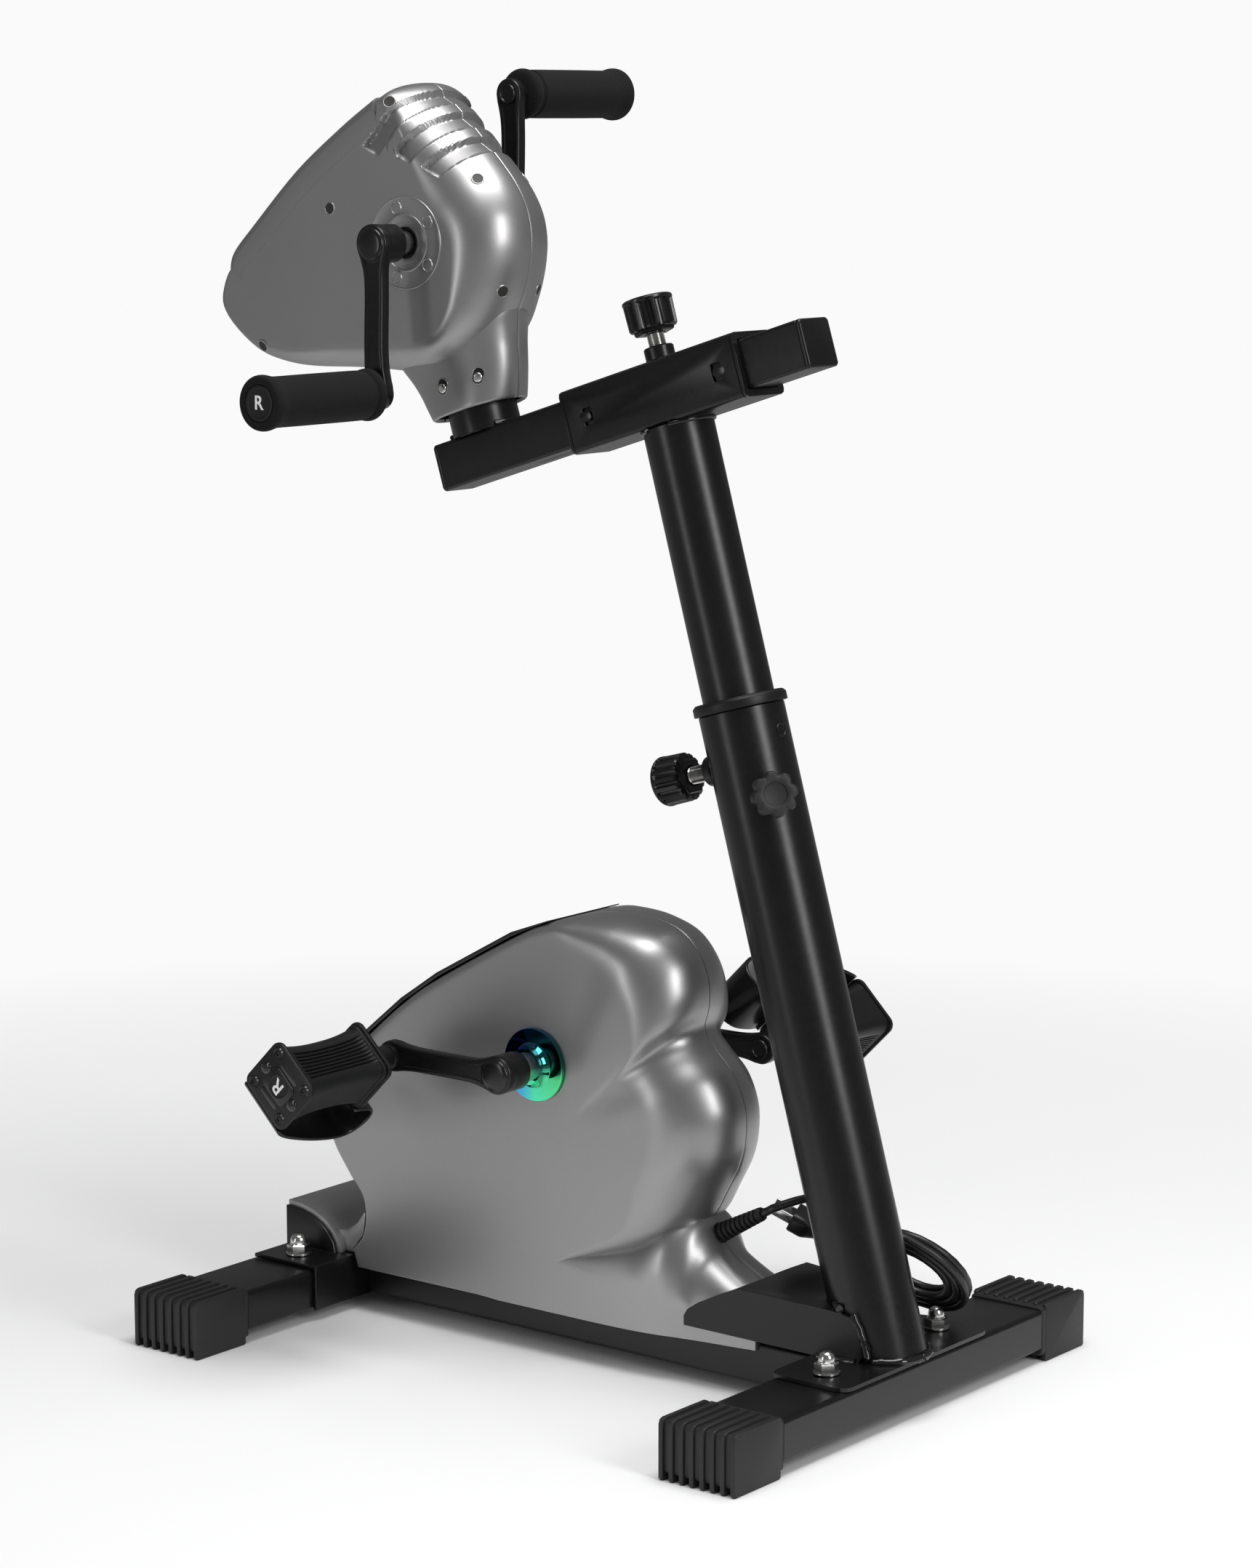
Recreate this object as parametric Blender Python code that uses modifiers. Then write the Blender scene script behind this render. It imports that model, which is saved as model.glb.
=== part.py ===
"""Electric arm and leg pedal exerciser, modelled as separate pieces in metres, +Z up.

The user sits at -Y and faces +Y. +X is the user's right. Y = 0 lies midway between the
object's front and back, and Z = 0 is the floor.
"""
import math

import bpy
import bmesh
from mathutils import Matrix, Vector

# Frame on the floor: two cross bars joined by a beam
BAR_WIDTH = 0.060
BAR_HEIGHT = 0.030
BAR_WALL = 0.0015
BAR_BOTTOM = 0.0085
BAR_TOP = BAR_BOTTOM + BAR_HEIGHT
BAR_HALF = 0.1560
COLUMN_BAR_Y = 0.2670
USER_BAR_Y = -0.2095
PLATE = 0.003
GAP = 0.0003

# End caps of the cross bars, with ribs that are also the feet
CAP_END = 0.2095
CAP_WIDTH = 0.0620
CAP_BOTTOM = 0.0045
CAP_TOP = 0.0405
CAP_RIBS = 8
CAP_RIB_WIDTH = 0.0036
CAP_RIB_PROUD = 0.0018
CAP_TONGUE = 0.014
CAP_RIB_INSET = 0.004

# Steel plates bolted on the two bars
PLATE_BOTTOM = BAR_TOP + GAP
PLATE_HALF = 0.0880
BRACKET_BACK = -0.2375
BRACKET_FLANGE = USER_BAR_Y + BAR_WIDTH / 2 + GAP
BASE_PLATE_Y = 0.26600
BASE_PLATE_DEPTH = 0.0630
GUSSET_SPAN = (0.1302, 0.2720)
GUSSET_HALF = (0.0450, 0.0339)
NUT_X_COLUMN = 0.0660
NUT_X_USER = 0.0700
TOE_HALF = 0.0500
TOE_LENGTH = 0.0485
TOE_HEIGHT = 0.0295
TOE_PROUD = 0.0030
TOE_STEPS = 6
TOE_FAIRING = [(-199, 42.3), (-199, 61), (-192, 58), (-184, 59.5), (-175, 66), (-167.5, 76), (-166.3, 74),
               (-168.5, 58), (-178, 46.5), (-178, 42.3)]
TOE_FAIRING_HALF = 0.0440

# Leaning telescopic column
COLUMN_FOOT_Y = 0.2797
COLUMN_LEAN = math.radians(15.92)
OUTER_RADIUS = 0.030
OUTER_WALL = 0.002
OUTER_TOP = 0.4930
COLLAR_RADIUS = 0.0328
COLLAR_HEIGHT = 0.008
INNER_RADIUS = 0.025
INNER_WALL = 0.002
INNER_FROM = 0.330
SLEEVE_ALONG = 0.7153
PULL_PIN_ALONG = 0.4560
STAR_ALONG = 0.4310
STAR_TURN = math.radians(47.0)

# Sleeve on the column and the tube that slides in it
SLIDE_TILT = math.radians(17.40)
SLEEVE_SIZE = 0.0450
SLEEVE_WALL = 0.0020
SLEEVE_BACK = -0.0765
SLEEVE_FRONT = 0.0745
SLIDE_SIZE = 0.0340
SLIDE_WALL = 0.0020
SLIDE_BACK = -0.2030
SLIDE_FRONT = 0.1265
SLEEVE_PIN_ALONG = -0.0015
POST_ALONG = -0.1670
POST_RADIUS = 0.0250
POST_TOP = 0.0880
NECK_END = 0.0325
LATCH_ALONG = 0.0580
SLOT_ALONG = (-0.1360, -0.0950)
LINER_RIM = 0.0025

# Pull pins and the star knob
PIN_RADIUS = 0.0040
BARREL_RADIUS = 0.0092
THREAD_RADIUS = 0.0062
KNOB_RADIUS = 0.0177
KNOB_DEPTH = 0.0225
KNOB_FLUTES = 10
KNOB_FLUTE_DEPTH = 0.0011
STAR_RADIUS = 0.0160
STAR_LOBES = 8
STAR_BOSS_END = 0.0390
STAR_SCREW_RADIUS = 0.0042

# Lower unit with the foot crank
FOOT_AXLE = Vector((0.0, 0.0016, 0.2130))
FOOT_CRANK_LENGTH = 0.0975
FOOT_FACE = 0.0945
AXLE_RADIUS = 0.0085
SPIGOT_RADIUS = 0.0060
DISC_RADIUS = 0.0265
DISC_X = 0.0528
LOWER_CENTRE = (0.0020, 0.1500)
SHELL_WALL = 0.0025
SEAM_SPARE = 0.0030
PEDAL_SIZE = 0.0480
PEDAL_OUTER = 0.2105
PEDAL_INNER = 0.1270
PEDAL_PLATE = 0.0030
PEDAL_BOSS = 0.0130
STRAP_THICK = 0.0028
STRAP_HALF = 0.0220
BEARING_RADIUS = 0.0140
FRAME_PLATE_X = 0.0300
MOTOR_CENTRE = (0.0880, 0.1420)
MOTOR_RADIUS = 0.0300
BELT_X = 0.0130
BELT_WIDTH = 0.0100
BIG_PULLEY_RADIUS = 0.0480
SMALL_PULLEY_RADIUS = 0.0120
GLASS_SIZE = (0.0580, 0.0300)
GLASS_ALONG = 0.0140
BUTTON_ALONG = -0.0200
BUTTON_PITCH = 0.0220
BUTTON_STEM = 0.0040
BOARD_TOP = -0.0040

# Upper unit with the hand crank
HAND_AXLE = Vector((0.0, -0.1186, 0.7870))
HAND_CRANK_LENGTH = 0.1040
HAND_CRANK_TURN = math.radians(3.5)
HAND_FACE = 0.0812
GRIP_RADIUS = 0.0175
GRIP_END = 0.2035
HAND_FLARE = 0.0045

# Crank arms, which both units share
HUB_RADIUS = 0.0138
HUB_LENGTH = 0.0235
EYE_RADIUS = 0.0112
ARM_THICKNESS = 0.0090
ARM_WAIST = 0.0085
SPINDLE_RADIUS = 0.0050
SPINDLE_COLLAR = 0.0040
HUB_FLOOR = 0.0030

# Mains lead
CORD_RADIUS = 0.0030
CORD_PITCH = 0.0066
COIL_RADIUS = 0.0420
COIL_TURNS = 2.5556
COIL_CENTRE = Vector((-0.0655, 0.2490, 0.0815))
COIL_TILT = math.radians(40.0)
COIL_START = math.radians(60.0)
COIL_POINTS_PER_TURN = 24
COIL_DIP = 0.0012
COIL_TAIL = 0.0300
COIL_TAIL_TURN = math.radians(25.0)
COIL_TAIL_STEPS = 5
CORD_ROUTE = [(-0.0140, 0.1910, 0.1330), (-0.0320, 0.2140, 0.1365), (-0.0380, 0.2370, 0.1300)]
RELIEF_LENGTH = 0.0490
RELIEF_START = Vector((0.0, 0.1225, 0.0975))
RELIEF_RISE = math.radians(29.0)
RELIEF_RINGS = 7
RELIEF_NECK = 0.0059

LEAN_UP = Vector((0.0, -math.sin(COLUMN_LEAN), math.cos(COLUMN_LEAN)))
LEAN_BACK = Vector((0.0, math.cos(COLUMN_LEAN), math.sin(COLUMN_LEAN)))
COLUMN_FOOT = Vector((0.0, COLUMN_FOOT_Y, 0.0))
SLIDE_ALONG = Vector((0.0, math.cos(SLIDE_TILT), math.sin(SLIDE_TILT)))
SLIDE_UP = Vector((0.0, -math.sin(SLIDE_TILT), math.cos(SLIDE_TILT)))
SLEEVE_CENTRE = COLUMN_FOOT + LEAN_UP * SLEEVE_ALONG
X_AXIS = Vector((1.0, 0.0, 0.0))
STAR_DIRECTION = X_AXIS * math.cos(STAR_TURN) + LEAN_BACK * math.sin(STAR_TURN)

# Outlines of the two housings at the seam, going round from the panel over the back:
# y, z, depth of the rounding, half width and squareness of the section, in millimetres
LOWER_OUTLINE = [
    (-26, 300.5, 16, 47, 6), (6, 314.5, 18, 47, 6), (34, 320, 26, 47, 3.5), (64, 320, 34, 47, 2.6),
    (92, 313.5, 44, 48, 2.2), (110, 298, 48, 48, 2), (117.5, 279, 48, 48, 2), (118, 262, 46, 48, 2),
    (114.5, 246, 42, 48, 2), (123, 233, 44, 48, 2), (139, 217, 50, 49, 2), (149, 196, 52, 49, 2),
    (150.5, 175, 52, 49, 2), (146, 154, 50, 49, 2), (134, 131, 44, 48, 2), (124.5, 116, 36, 46, 2),
    (121, 103, 30, 42, 2), (131, 91, 26, 39, 2.2), (151, 81.5, 24, 36, 2.4), (167, 73, 20, 34, 2.6),
    (181, 62, 14, 32, 3), (184, 49, 8, 31.5, 4), (179, 41, 2, 31.5, 6), (124, 33.5, 2, 40, 6),
    (90, 33.5, 2, 48, 6), (-60, 33.5, 2, 49, 6), (-170.5, 33.5, 3, 49, 6), (-176, 46, 4, 49, 4),
    (-166.5, 58, 5, 49, 4), (-164.5, 74, 6, 49, 4), (-169, 88, 8, 49, 3.5), (-183, 104.5, 9, 49, 3.5),
    (-199, 126, 11, 49, 3.3), (-206, 148, 16, 49, 3), (-199, 171, 20, 48, 3), (-184, 191, 18, 47, 4),
    (-165, 210, 16, 47, 5), (-130, 239, 16, 47, 6), (-96, 262, 16, 47, 6)]
UPPER_OUTLINE = [
    (-146, 890, 8, 43, 3.2), (-138.5, 897.5, 18, 43, 2.5), (-127, 897, 32, 43, 2.1), (-115, 888, 40, 43, 2),
    (-102, 877, 42, 43, 2), (-84, 860, 42, 43, 2), (-67, 843.5, 42, 43, 2), (-53, 827.5, 41, 43, 2),
    (-43.5, 810, 40, 44, 2), (-40, 792, 38, 44, 2), (-41, 775, 36, 44, 2), (-45, 758, 33, 42, 2),
    (-51.5, 741, 30, 37, 2), (-53, 721, 27, 31, 2.1), (-51.5, 700, 26.5, 28.5, 2.1),
    (-53, 672, 26, 28, 2.1), (-57, 645, 26, 28, 2.1), (-86, 634, 3, 28, 6), (-114, 640, 26, 28, 2.1),
    (-124, 660, 26, 28, 2.1), (-134, 675, 26, 28.5, 2.1), (-144, 687, 26, 31, 2.1), (-156, 693.5, 25, 37, 2.2),
    (-175, 695, 25, 42, 2.2), (-200, 695, 26, 44, 2.2), (-235, 694.5, 26, 44, 2.2), (-256, 697, 26, 44, 2.3),
    (-274, 703, 24, 44, 2.4), (-290, 715.5, 20, 44, 2.6), (-301, 731, 14, 44, 3), (-302.5, 744, 10, 44, 3.2),
    (-293, 763, 7, 44, 4), (-279.5, 768.5, 5, 43, 5), (-259, 786.5, 5, 43, 6),
    (-215, 825.5, 5, 43, 6), (-174, 855, 5, 43, 6), (-149, 871.5, 5, 43, 6)]
UPPER_PANEL_LINE = [(-288, 778), (-269, 797), (-225.5, 837), (-183, 867.5), (-155, 885), (-149.5, 888)]
LOWER_PANEL_DEPTH = 0.0030
LOWER_PANEL_TIP = 0.0008
LOWER_PANEL_HALF = 0.0415
UPPER_PANEL_HALF = 0.0430
SLOPE = [(-96, 262), (-26, 300.5)]
BUTTON_RADIUS = 0.0065
BUTTON_TRAVEL = 0.0012


def clear_scene():
    for obj in list(bpy.data.objects):
        bpy.data.objects.remove(obj, do_unlink=True)


clear_scene()
PARTS = bpy.data.collections.new("electric_pedal_exerciser")
CUTTERS = bpy.data.collections.new("cutters")
for collection in (PARTS, CUTTERS):
    bpy.context.scene.collection.children.link(collection)


def material(name, colour, roughness, metallic=0.0):
    mat = bpy.data.materials.new(name)
    mat.use_nodes = True
    shader = mat.node_tree.nodes["Principled BSDF"]
    shader.inputs["Base Color"].default_value = (*colour, 1.0)
    shader.inputs["Roughness"].default_value = roughness
    shader.inputs["Metallic"].default_value = metallic
    mat.diffuse_color = (*colour, 1.0)
    return mat


FINISH = {
    "black_paint": ((0.022, 0.022, 0.024), 0.38, 0.0),
    "black_plastic": ((0.025, 0.025, 0.026), 0.50, 0.0),
    "cap_plastic": ((0.050, 0.050, 0.052), 0.60, 0.0),
    "gloss_black": ((0.010, 0.010, 0.012), 0.08, 0.0),
    "silver_housing": ((0.36, 0.355, 0.36), 0.36, 0.7),
    "foam": ((0.040, 0.040, 0.040), 0.90, 0.0),
    "rubber": ((0.030, 0.030, 0.030), 0.75, 0.0),
    "zinc": ((0.72, 0.72, 0.73), 0.25, 1.0),
    "steel": ((0.55, 0.55, 0.56), 0.35, 1.0),
    "mirror_disc": ((0.08, 0.48, 0.42), 0.06, 1.0),
    "lead": ((0.020, 0.020, 0.021), 0.45, 0.0),
    "lens": ((0.030, 0.035, 0.040), 0.05, 0.0),
    "board": ((0.03, 0.20, 0.08), 0.55, 0.0),
    "button": ((0.30, 0.31, 0.32), 0.45, 0.0),
}
MATERIALS = {name: material(name, *values) for name, values in FINISH.items()}


# Placing and joining helpers
def frame_matrix(origin, z_dir, x_dir=X_AXIS):
    """Matrix whose Z runs along z_dir and whose X is as near x_dir as it can be."""
    z = Vector(z_dir).normalized()
    x = Vector(x_dir) - z * z.dot(Vector(x_dir))
    if x.length < 1e-6:
        x = Vector((0.0, 1.0, 0.0)) - z * z.y
    x.normalize()
    y = z.cross(x)
    basis = Matrix((x, y, z)).transposed().to_4x4()
    return Matrix.Translation(Vector(origin)) @ basis


def new_object(name, mesh, finish, matrix=None, collection=None):
    obj = bpy.data.objects.new(name, mesh)
    (collection or PARTS).objects.link(obj)
    if finish:
        mesh.materials.append(MATERIALS[finish])
    if matrix is not None:
        obj.matrix_world = matrix
    return obj


def from_bmesh(name, bm, finish, matrix=None, smooth=None, collection=None):
    bmesh.ops.remove_doubles(bm, verts=bm.verts, dist=1e-7)
    bmesh.ops.recalc_face_normals(bm, faces=bm.faces)
    mesh = bpy.data.meshes.new(name)
    bm.to_mesh(mesh)
    bm.free()
    if smooth is not None:
        mesh.shade_smooth()
        mesh.set_sharp_from_angle(angle=math.radians(smooth))
    return new_object(name, mesh, finish, matrix, collection)


def as_cutter(obj):
    for collection in list(obj.users_collection):
        collection.objects.unlink(obj)
    CUTTERS.objects.link(obj)
    obj.hide_render = True
    obj.display_type = "WIRE"
    return obj


def combine(obj, other, operation):
    as_cutter(other)
    mod = obj.modifiers.new(operation.lower(), "BOOLEAN")
    mod.operation = operation
    mod.solver = "EXACT"
    mod.object = other
    return obj


def cut(obj, *others):
    for other in others:
        combine(obj, other, "DIFFERENCE")
    return obj


def weld(obj, *others):
    for other in others:
        combine(obj, other, "UNION")
    return obj


def bevel(obj, width, segments=1, angle=40.0):
    mod = obj.modifiers.new("bevel", "BEVEL")
    mod.width = width
    mod.segments = segments
    mod.limit_method = "ANGLE"
    mod.angle_limit = math.radians(angle)
    return obj


# Shape helpers
def box(name, low, high, finish=None, matrix=None):
    low, high = Vector(low), Vector(high)
    bm = bmesh.new()
    bmesh.ops.create_cube(bm, size=1.0)
    bmesh.ops.scale(bm, vec=high - low, verts=bm.verts)
    bmesh.ops.translate(bm, vec=(low + high) / 2, verts=bm.verts)
    return from_bmesh(name, bm, finish, matrix)


def rounded_rectangle(width, height, radius, steps=3):
    """Points of a rectangle with round corners, counterclockwise, centred on zero."""
    points = []
    for corner, (sx, sy) in enumerate(((1, 1), (-1, 1), (-1, -1), (1, -1))):
        for step in range(steps + 1):
            angle = math.radians(90 * corner + 90 * step / steps)
            points.append((sx * (width / 2 - radius) + radius * math.cos(angle),
                           sy * (height / 2 - radius) + radius * math.sin(angle)))
    return points


def ring_solid(name, rings, finish=None, matrix=None, smooth=35.0, caps=True):
    """Solid lofted through rings of equal point counts, closed at both ends."""
    bm = bmesh.new()
    rows = [[bm.verts.new(Vector(p)) for p in ring] for ring in rings]
    count = len(rings[0])
    for lower, upper in zip(rows, rows[1:]):
        for i in range(count):
            j = (i + 1) % count
            bm.faces.new((lower[i], lower[j], upper[j], upper[i]))
    if caps:
        bm.faces.new(list(reversed(rows[0])))
        bm.faces.new(rows[-1])
    else:
        for i in range(count):
            j = (i + 1) % count
            bm.faces.new((rows[-1][i], rows[-1][j], rows[0][j], rows[0][i]))
    return from_bmesh(name, bm, finish, matrix, smooth)


def prism(name, outline, low, high, finish=None, matrix=None, smooth=None):
    """Solid with a flat outline in its XY plane, from low to high along Z."""
    rings = [[(x, y, level) for x, y in outline] for level in (low, high)]
    return ring_solid(name, rings, finish, matrix, smooth)


def side_prism(name, outline, low_x, high_x, finish=None, smooth=None):
    """Solid with an outline of (y, z) points, from low_x to high_x."""
    rings = [[(level, y, z) for y, z in outline] for level in (low_x, high_x)]
    return ring_solid(name, rings, finish, None, smooth)


def turned(name, profile, origin, axis, finish=None, segments=16, bored=False, x_dir=X_AXIS):
    """Turned solid. The profile is (radius, height) from top to bottom, and back up a bore."""
    bm = bmesh.new()
    verts = [bm.verts.new((radius, 0.0, height)) for radius, height in profile]
    edges = list(zip(verts, verts[1:]))
    if bored:
        edges.append((verts[-1], verts[0]))
    for pair in edges:
        bm.edges.new(pair)
    mesh = bpy.data.meshes.new(name)
    bm.to_mesh(mesh)
    bm.free()
    obj = new_object(name, mesh, finish, frame_matrix(origin, axis, x_dir))
    mod = obj.modifiers.new("turn", "SCREW")
    mod.steps = segments
    mod.render_steps = segments
    mod.use_merge_vertices = True
    mod.merge_threshold = 0.00001
    mod.use_smooth_shade = True
    return obj


def rod(name, radius, start, end, finish=None, segments=16, bore=0.0):
    start, end = Vector(start), Vector(end)
    length = (end - start).length
    if bore:
        profile = [(radius, length), (radius, 0.0), (bore, 0.0), (bore, length)]
    else:
        profile = [(0.0, length), (radius, length), (radius, 0.0), (0.0, 0.0)]
    return turned(name, profile, start, end - start, finish, segments, bool(bore))


def hollow_bar(name, width, height, wall, radius, length_from, length_to, matrix, finish):
    """Rectangular tube along Z, open at both ends."""
    outer = rounded_rectangle(width, height, radius, 2)
    inner = rounded_rectangle(width - 2 * wall, height - 2 * wall, max(radius - wall, 0.0004), 2)
    rings = [[(x, y, length_from) for x, y in outer], [(x, y, length_to) for x, y in outer],
             [(x, y, length_to) for x, y in inner], [(x, y, length_from) for x, y in inner]]
    return ring_solid(name, rings, finish, matrix, 30.0, caps=False)


def poly_tube(name, points, radius, finish, resolution):
    """Tube along a smooth row of points, with filled ends."""
    curve = bpy.data.curves.new(name, "CURVE")
    curve.dimensions = "3D"
    curve.bevel_depth = radius
    curve.bevel_resolution = resolution
    curve.use_fill_caps = True
    spline = curve.splines.new("POLY")
    spline.points.add(len(points) - 1)
    for spot, point in zip(spline.points, points):
        spot.co = (*point, 1.0)
    curve.materials.append(MATERIALS[finish])
    obj = bpy.data.objects.new(name, curve)
    PARTS.objects.link(obj)
    return obj


def smooth_path(route, steps):
    """Points of a Catmull-Rom curve through the route's own points."""
    route = [Vector(p) for p in route]
    ends = [2 * route[0] - route[1]] + route + [2 * route[-1] - route[-2]]
    points = []
    for a, b, c, d in zip(ends, ends[1:], ends[2:], ends[3:]):
        for step in range(steps):
            t = step / steps
            points.append(0.5 * (2 * b + (c - a) * t + (2 * a - 5 * b + 4 * c - d) * t * t
                                 + (3 * b - a - 3 * c + d) * t ** 3))
    points.append(route[-1])
    return points


def joint_empty(name, location):
    empty = bpy.data.objects.new(name, None)
    empty.location = location
    empty.empty_display_size = 0.02
    PARTS.objects.link(empty)
    return empty


def hang_on(empty, *objects):
    """Parent objects to an empty on their joint's axis without moving them."""
    for obj in objects:
        obj.parent = empty
        obj.matrix_parent_inverse = Matrix.Translation(empty.location).inverted()


# Floor frame
def make_cross_bars():
    for name, y in (("column_cross_bar", COLUMN_BAR_Y), ("user_cross_bar", USER_BAR_Y)):
        place = frame_matrix((0.0, y, BAR_BOTTOM + BAR_HEIGHT / 2), X_AXIS, (0.0, 1.0, 0.0))
        hollow_bar(name, BAR_WIDTH, BAR_HEIGHT, BAR_WALL, 0.0035, -BAR_HALF, BAR_HALF, place, "black_paint")


def make_end_cap(name, y, side):
    """Ribbed plastic cap: a body, a tongue inside the bar, and ribs that wrap round it."""
    start = BAR_HALF + GAP
    tongue_width = BAR_WIDTH - 2 * BAR_WALL - 0.004
    half = CAP_WIDTH / 2
    chamfer = 0.003
    outline = [(-half, CAP_BOTTOM), (half, CAP_BOTTOM), (half, CAP_TOP - chamfer), (half - chamfer, CAP_TOP),
               (-half + chamfer, CAP_TOP), (-half, CAP_TOP - chamfer)]
    cap = prism(name, outline, start, CAP_END, "cap_plastic")
    tongue = box(name + "_tongue", (-tongue_width / 2, BAR_BOTTOM + 0.004, start - CAP_TONGUE),
                 (tongue_width / 2, BAR_TOP - 0.004, start + 0.003))
    pitch = (CAP_WIDTH - CAP_RIB_WIDTH) / (CAP_RIBS - 1)
    low = start + CAP_RIB_INSET
    ribs = bmesh.new()
    for rib in range(CAP_RIBS):
        centre = -half + CAP_RIB_WIDTH / 2 + rib * pitch
        made = bmesh.ops.create_cube(ribs, size=1.0)["verts"]
        size = Vector((CAP_RIB_WIDTH, CAP_TOP + CAP_RIB_PROUD, CAP_END + CAP_RIB_PROUD - low))
        bmesh.ops.scale(ribs, vec=size, verts=made)
        bmesh.ops.translate(ribs, vec=(centre, size.y / 2, low + size.z / 2), verts=made)
    rib_object = from_bmesh(name + "_ribs", ribs, None)
    weld(cap, tongue, rib_object)
    for obj in (cap, tongue, rib_object):
        obj.matrix_world = Matrix(((0, 0, side, 0), (side, 0, 0, y), (0, 1, 0, 0), (0, 0, 0, 1)))


def make_beam():
    start = BRACKET_FLANGE + PLATE + GAP
    end = COLUMN_BAR_Y - BAR_WIDTH / 2 - GAP
    place = frame_matrix((0.0, 0.0, BAR_BOTTOM + BAR_HEIGHT / 2), (0.0, 1.0, 0.0), X_AXIS)
    hollow_bar("base_beam", BAR_WIDTH, BAR_HEIGHT, BAR_WALL, 0.0035, start, end, place, "black_paint")


def toe_arc(base_z, length, height):
    """Quarter ellipse of (y, z) points that falls from the user's side towards the beam."""
    points = []
    for step in range(TOE_STEPS + 1):
        angle = math.radians(90 * step / TOE_STEPS)
        points.append((BRACKET_BACK + length * math.cos(angle), base_z + height * math.sin(angle)))
    return points


def make_user_bracket():
    """Saddle plate on the user bar with a flange down its side and two upright cheeks."""
    top = PLATE_BOTTOM + PLATE
    bracket = box("user_bar_bracket", (-PLATE_HALF, BRACKET_BACK, PLATE_BOTTOM),
                  (PLATE_HALF, BRACKET_FLANGE + PLATE, top), "black_paint")
    skirt = box("bracket_skirt", (-PLATE_HALF, BRACKET_FLANGE, BAR_BOTTOM),
                (PLATE_HALF, BRACKET_FLANGE + PLATE, top - 0.001))
    outline = [(BRACKET_BACK, top - 0.001), (BRACKET_BACK + TOE_LENGTH, top - 0.001)]
    outline += toe_arc(top, TOE_LENGTH, TOE_HEIGHT)
    cheeks = [side_prism("bracket_cheek", outline, x, x + PLATE) for x in (TOE_HALF, -TOE_HALF - PLATE)]
    weld(bracket, skirt, *cheeks)


def make_toe_cover():
    """Curved cover between the cheeks, hollow and open underneath."""
    base = PLATE_BOTTOM + PLATE + GAP
    half = TOE_HALF - GAP
    outline = [(BRACKET_BACK, base)] + toe_arc(base, TOE_LENGTH + TOE_PROUD, TOE_HEIGHT + TOE_PROUD)
    cover = side_prism("toe_cover", outline, -half, half, "silver_housing")
    hollow = [(BRACKET_BACK + SHELL_WALL, base - 0.005)]
    hollow += [(BRACKET_BACK + TOE_LENGTH + TOE_PROUD - SHELL_WALL, base - 0.005)]
    for y, z in toe_arc(base, TOE_LENGTH + TOE_PROUD - SHELL_WALL, TOE_HEIGHT + TOE_PROUD - SHELL_WALL):
        hollow.append((max(y, BRACKET_BACK + SHELL_WALL), z))
    cut(cover, side_prism("toe_hollow", hollow, -half + SHELL_WALL, half - SHELL_WALL))
    fairing = side_prism("toe_fairing", [(y / 1000, z / 1000) for y, z in TOE_FAIRING], -TOE_FAIRING_HALF,
                         TOE_FAIRING_HALF)
    bevel(fairing, 0.004, 2, 60)
    weld(cover, fairing)


def make_column_base():
    """Base plate bolted on the column bar, with the tapered channel that braces the column."""
    top = PLATE_BOTTOM + PLATE
    outline = rounded_rectangle(2 * PLATE_HALF, BASE_PLATE_DEPTH, 0.009, 3)
    plate = prism("column_base", outline, PLATE_BOTTOM, top, "black_paint",
                  Matrix.Translation((0.0, BASE_PLATE_Y, 0.0)))
    start, end = GUSSET_SPAN
    wide, narrow = GUSSET_HALF

    def outer_face(y):
        return wide + (narrow - wide) * (y - start) / (end - start)

    rim = [(0.1736, 0.0783), (0.2500, 0.0748)]
    side_outline = [(start, 0.0450), (0.2380, top - 0.0006), (0.2700, top - 0.0006), (0.2790, 0.0520),
                    (0.2710, 0.0640), (0.2650, 0.0720), *reversed(rim), (0.1580, 0.0710), (0.1420, 0.0630),
                    (0.1332, 0.0570), (start, 0.0520)]
    sides = []
    for sign in (1, -1):
        cheek = side_prism("gusset_side", side_outline, -PLATE, 0.0)
        for vert in cheek.data.vertices:
            vert.co.x = sign * (vert.co.x + outer_face(vert.co.y))
        if sign < 0:
            cheek.data.flip_normals()
        sides.append(cheek)
    lid_outline = [(y, z - PLATE) for y, z in rim] + list(reversed(rim))
    lid = side_prism("gusset_lid", lid_outline, -1.0, 1.0)
    for vert in lid.data.vertices:
        vert.co.x *= outer_face(vert.co.y) - 0.001
    clear = OUTER_RADIUS + GAP
    cut(lid, rod("gusset_clear", clear, COLUMN_FOOT + LEAN_UP * 0.040, COLUMN_FOOT + LEAN_UP * 0.120,
                 segments=32))
    weld(plate, *sides, lid)
    slot = rounded_rectangle(0.0150, 0.0090, 0.0044, 3)
    for x in (NUT_X_COLUMN, -NUT_X_COLUMN):
        cut(plate, prism("plate_slot", slot, PLATE_BOTTOM - 0.002, top + 0.002, None,
                         Matrix.Translation((x * 1.06, COLUMN_BAR_Y, 0.0))))


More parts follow.
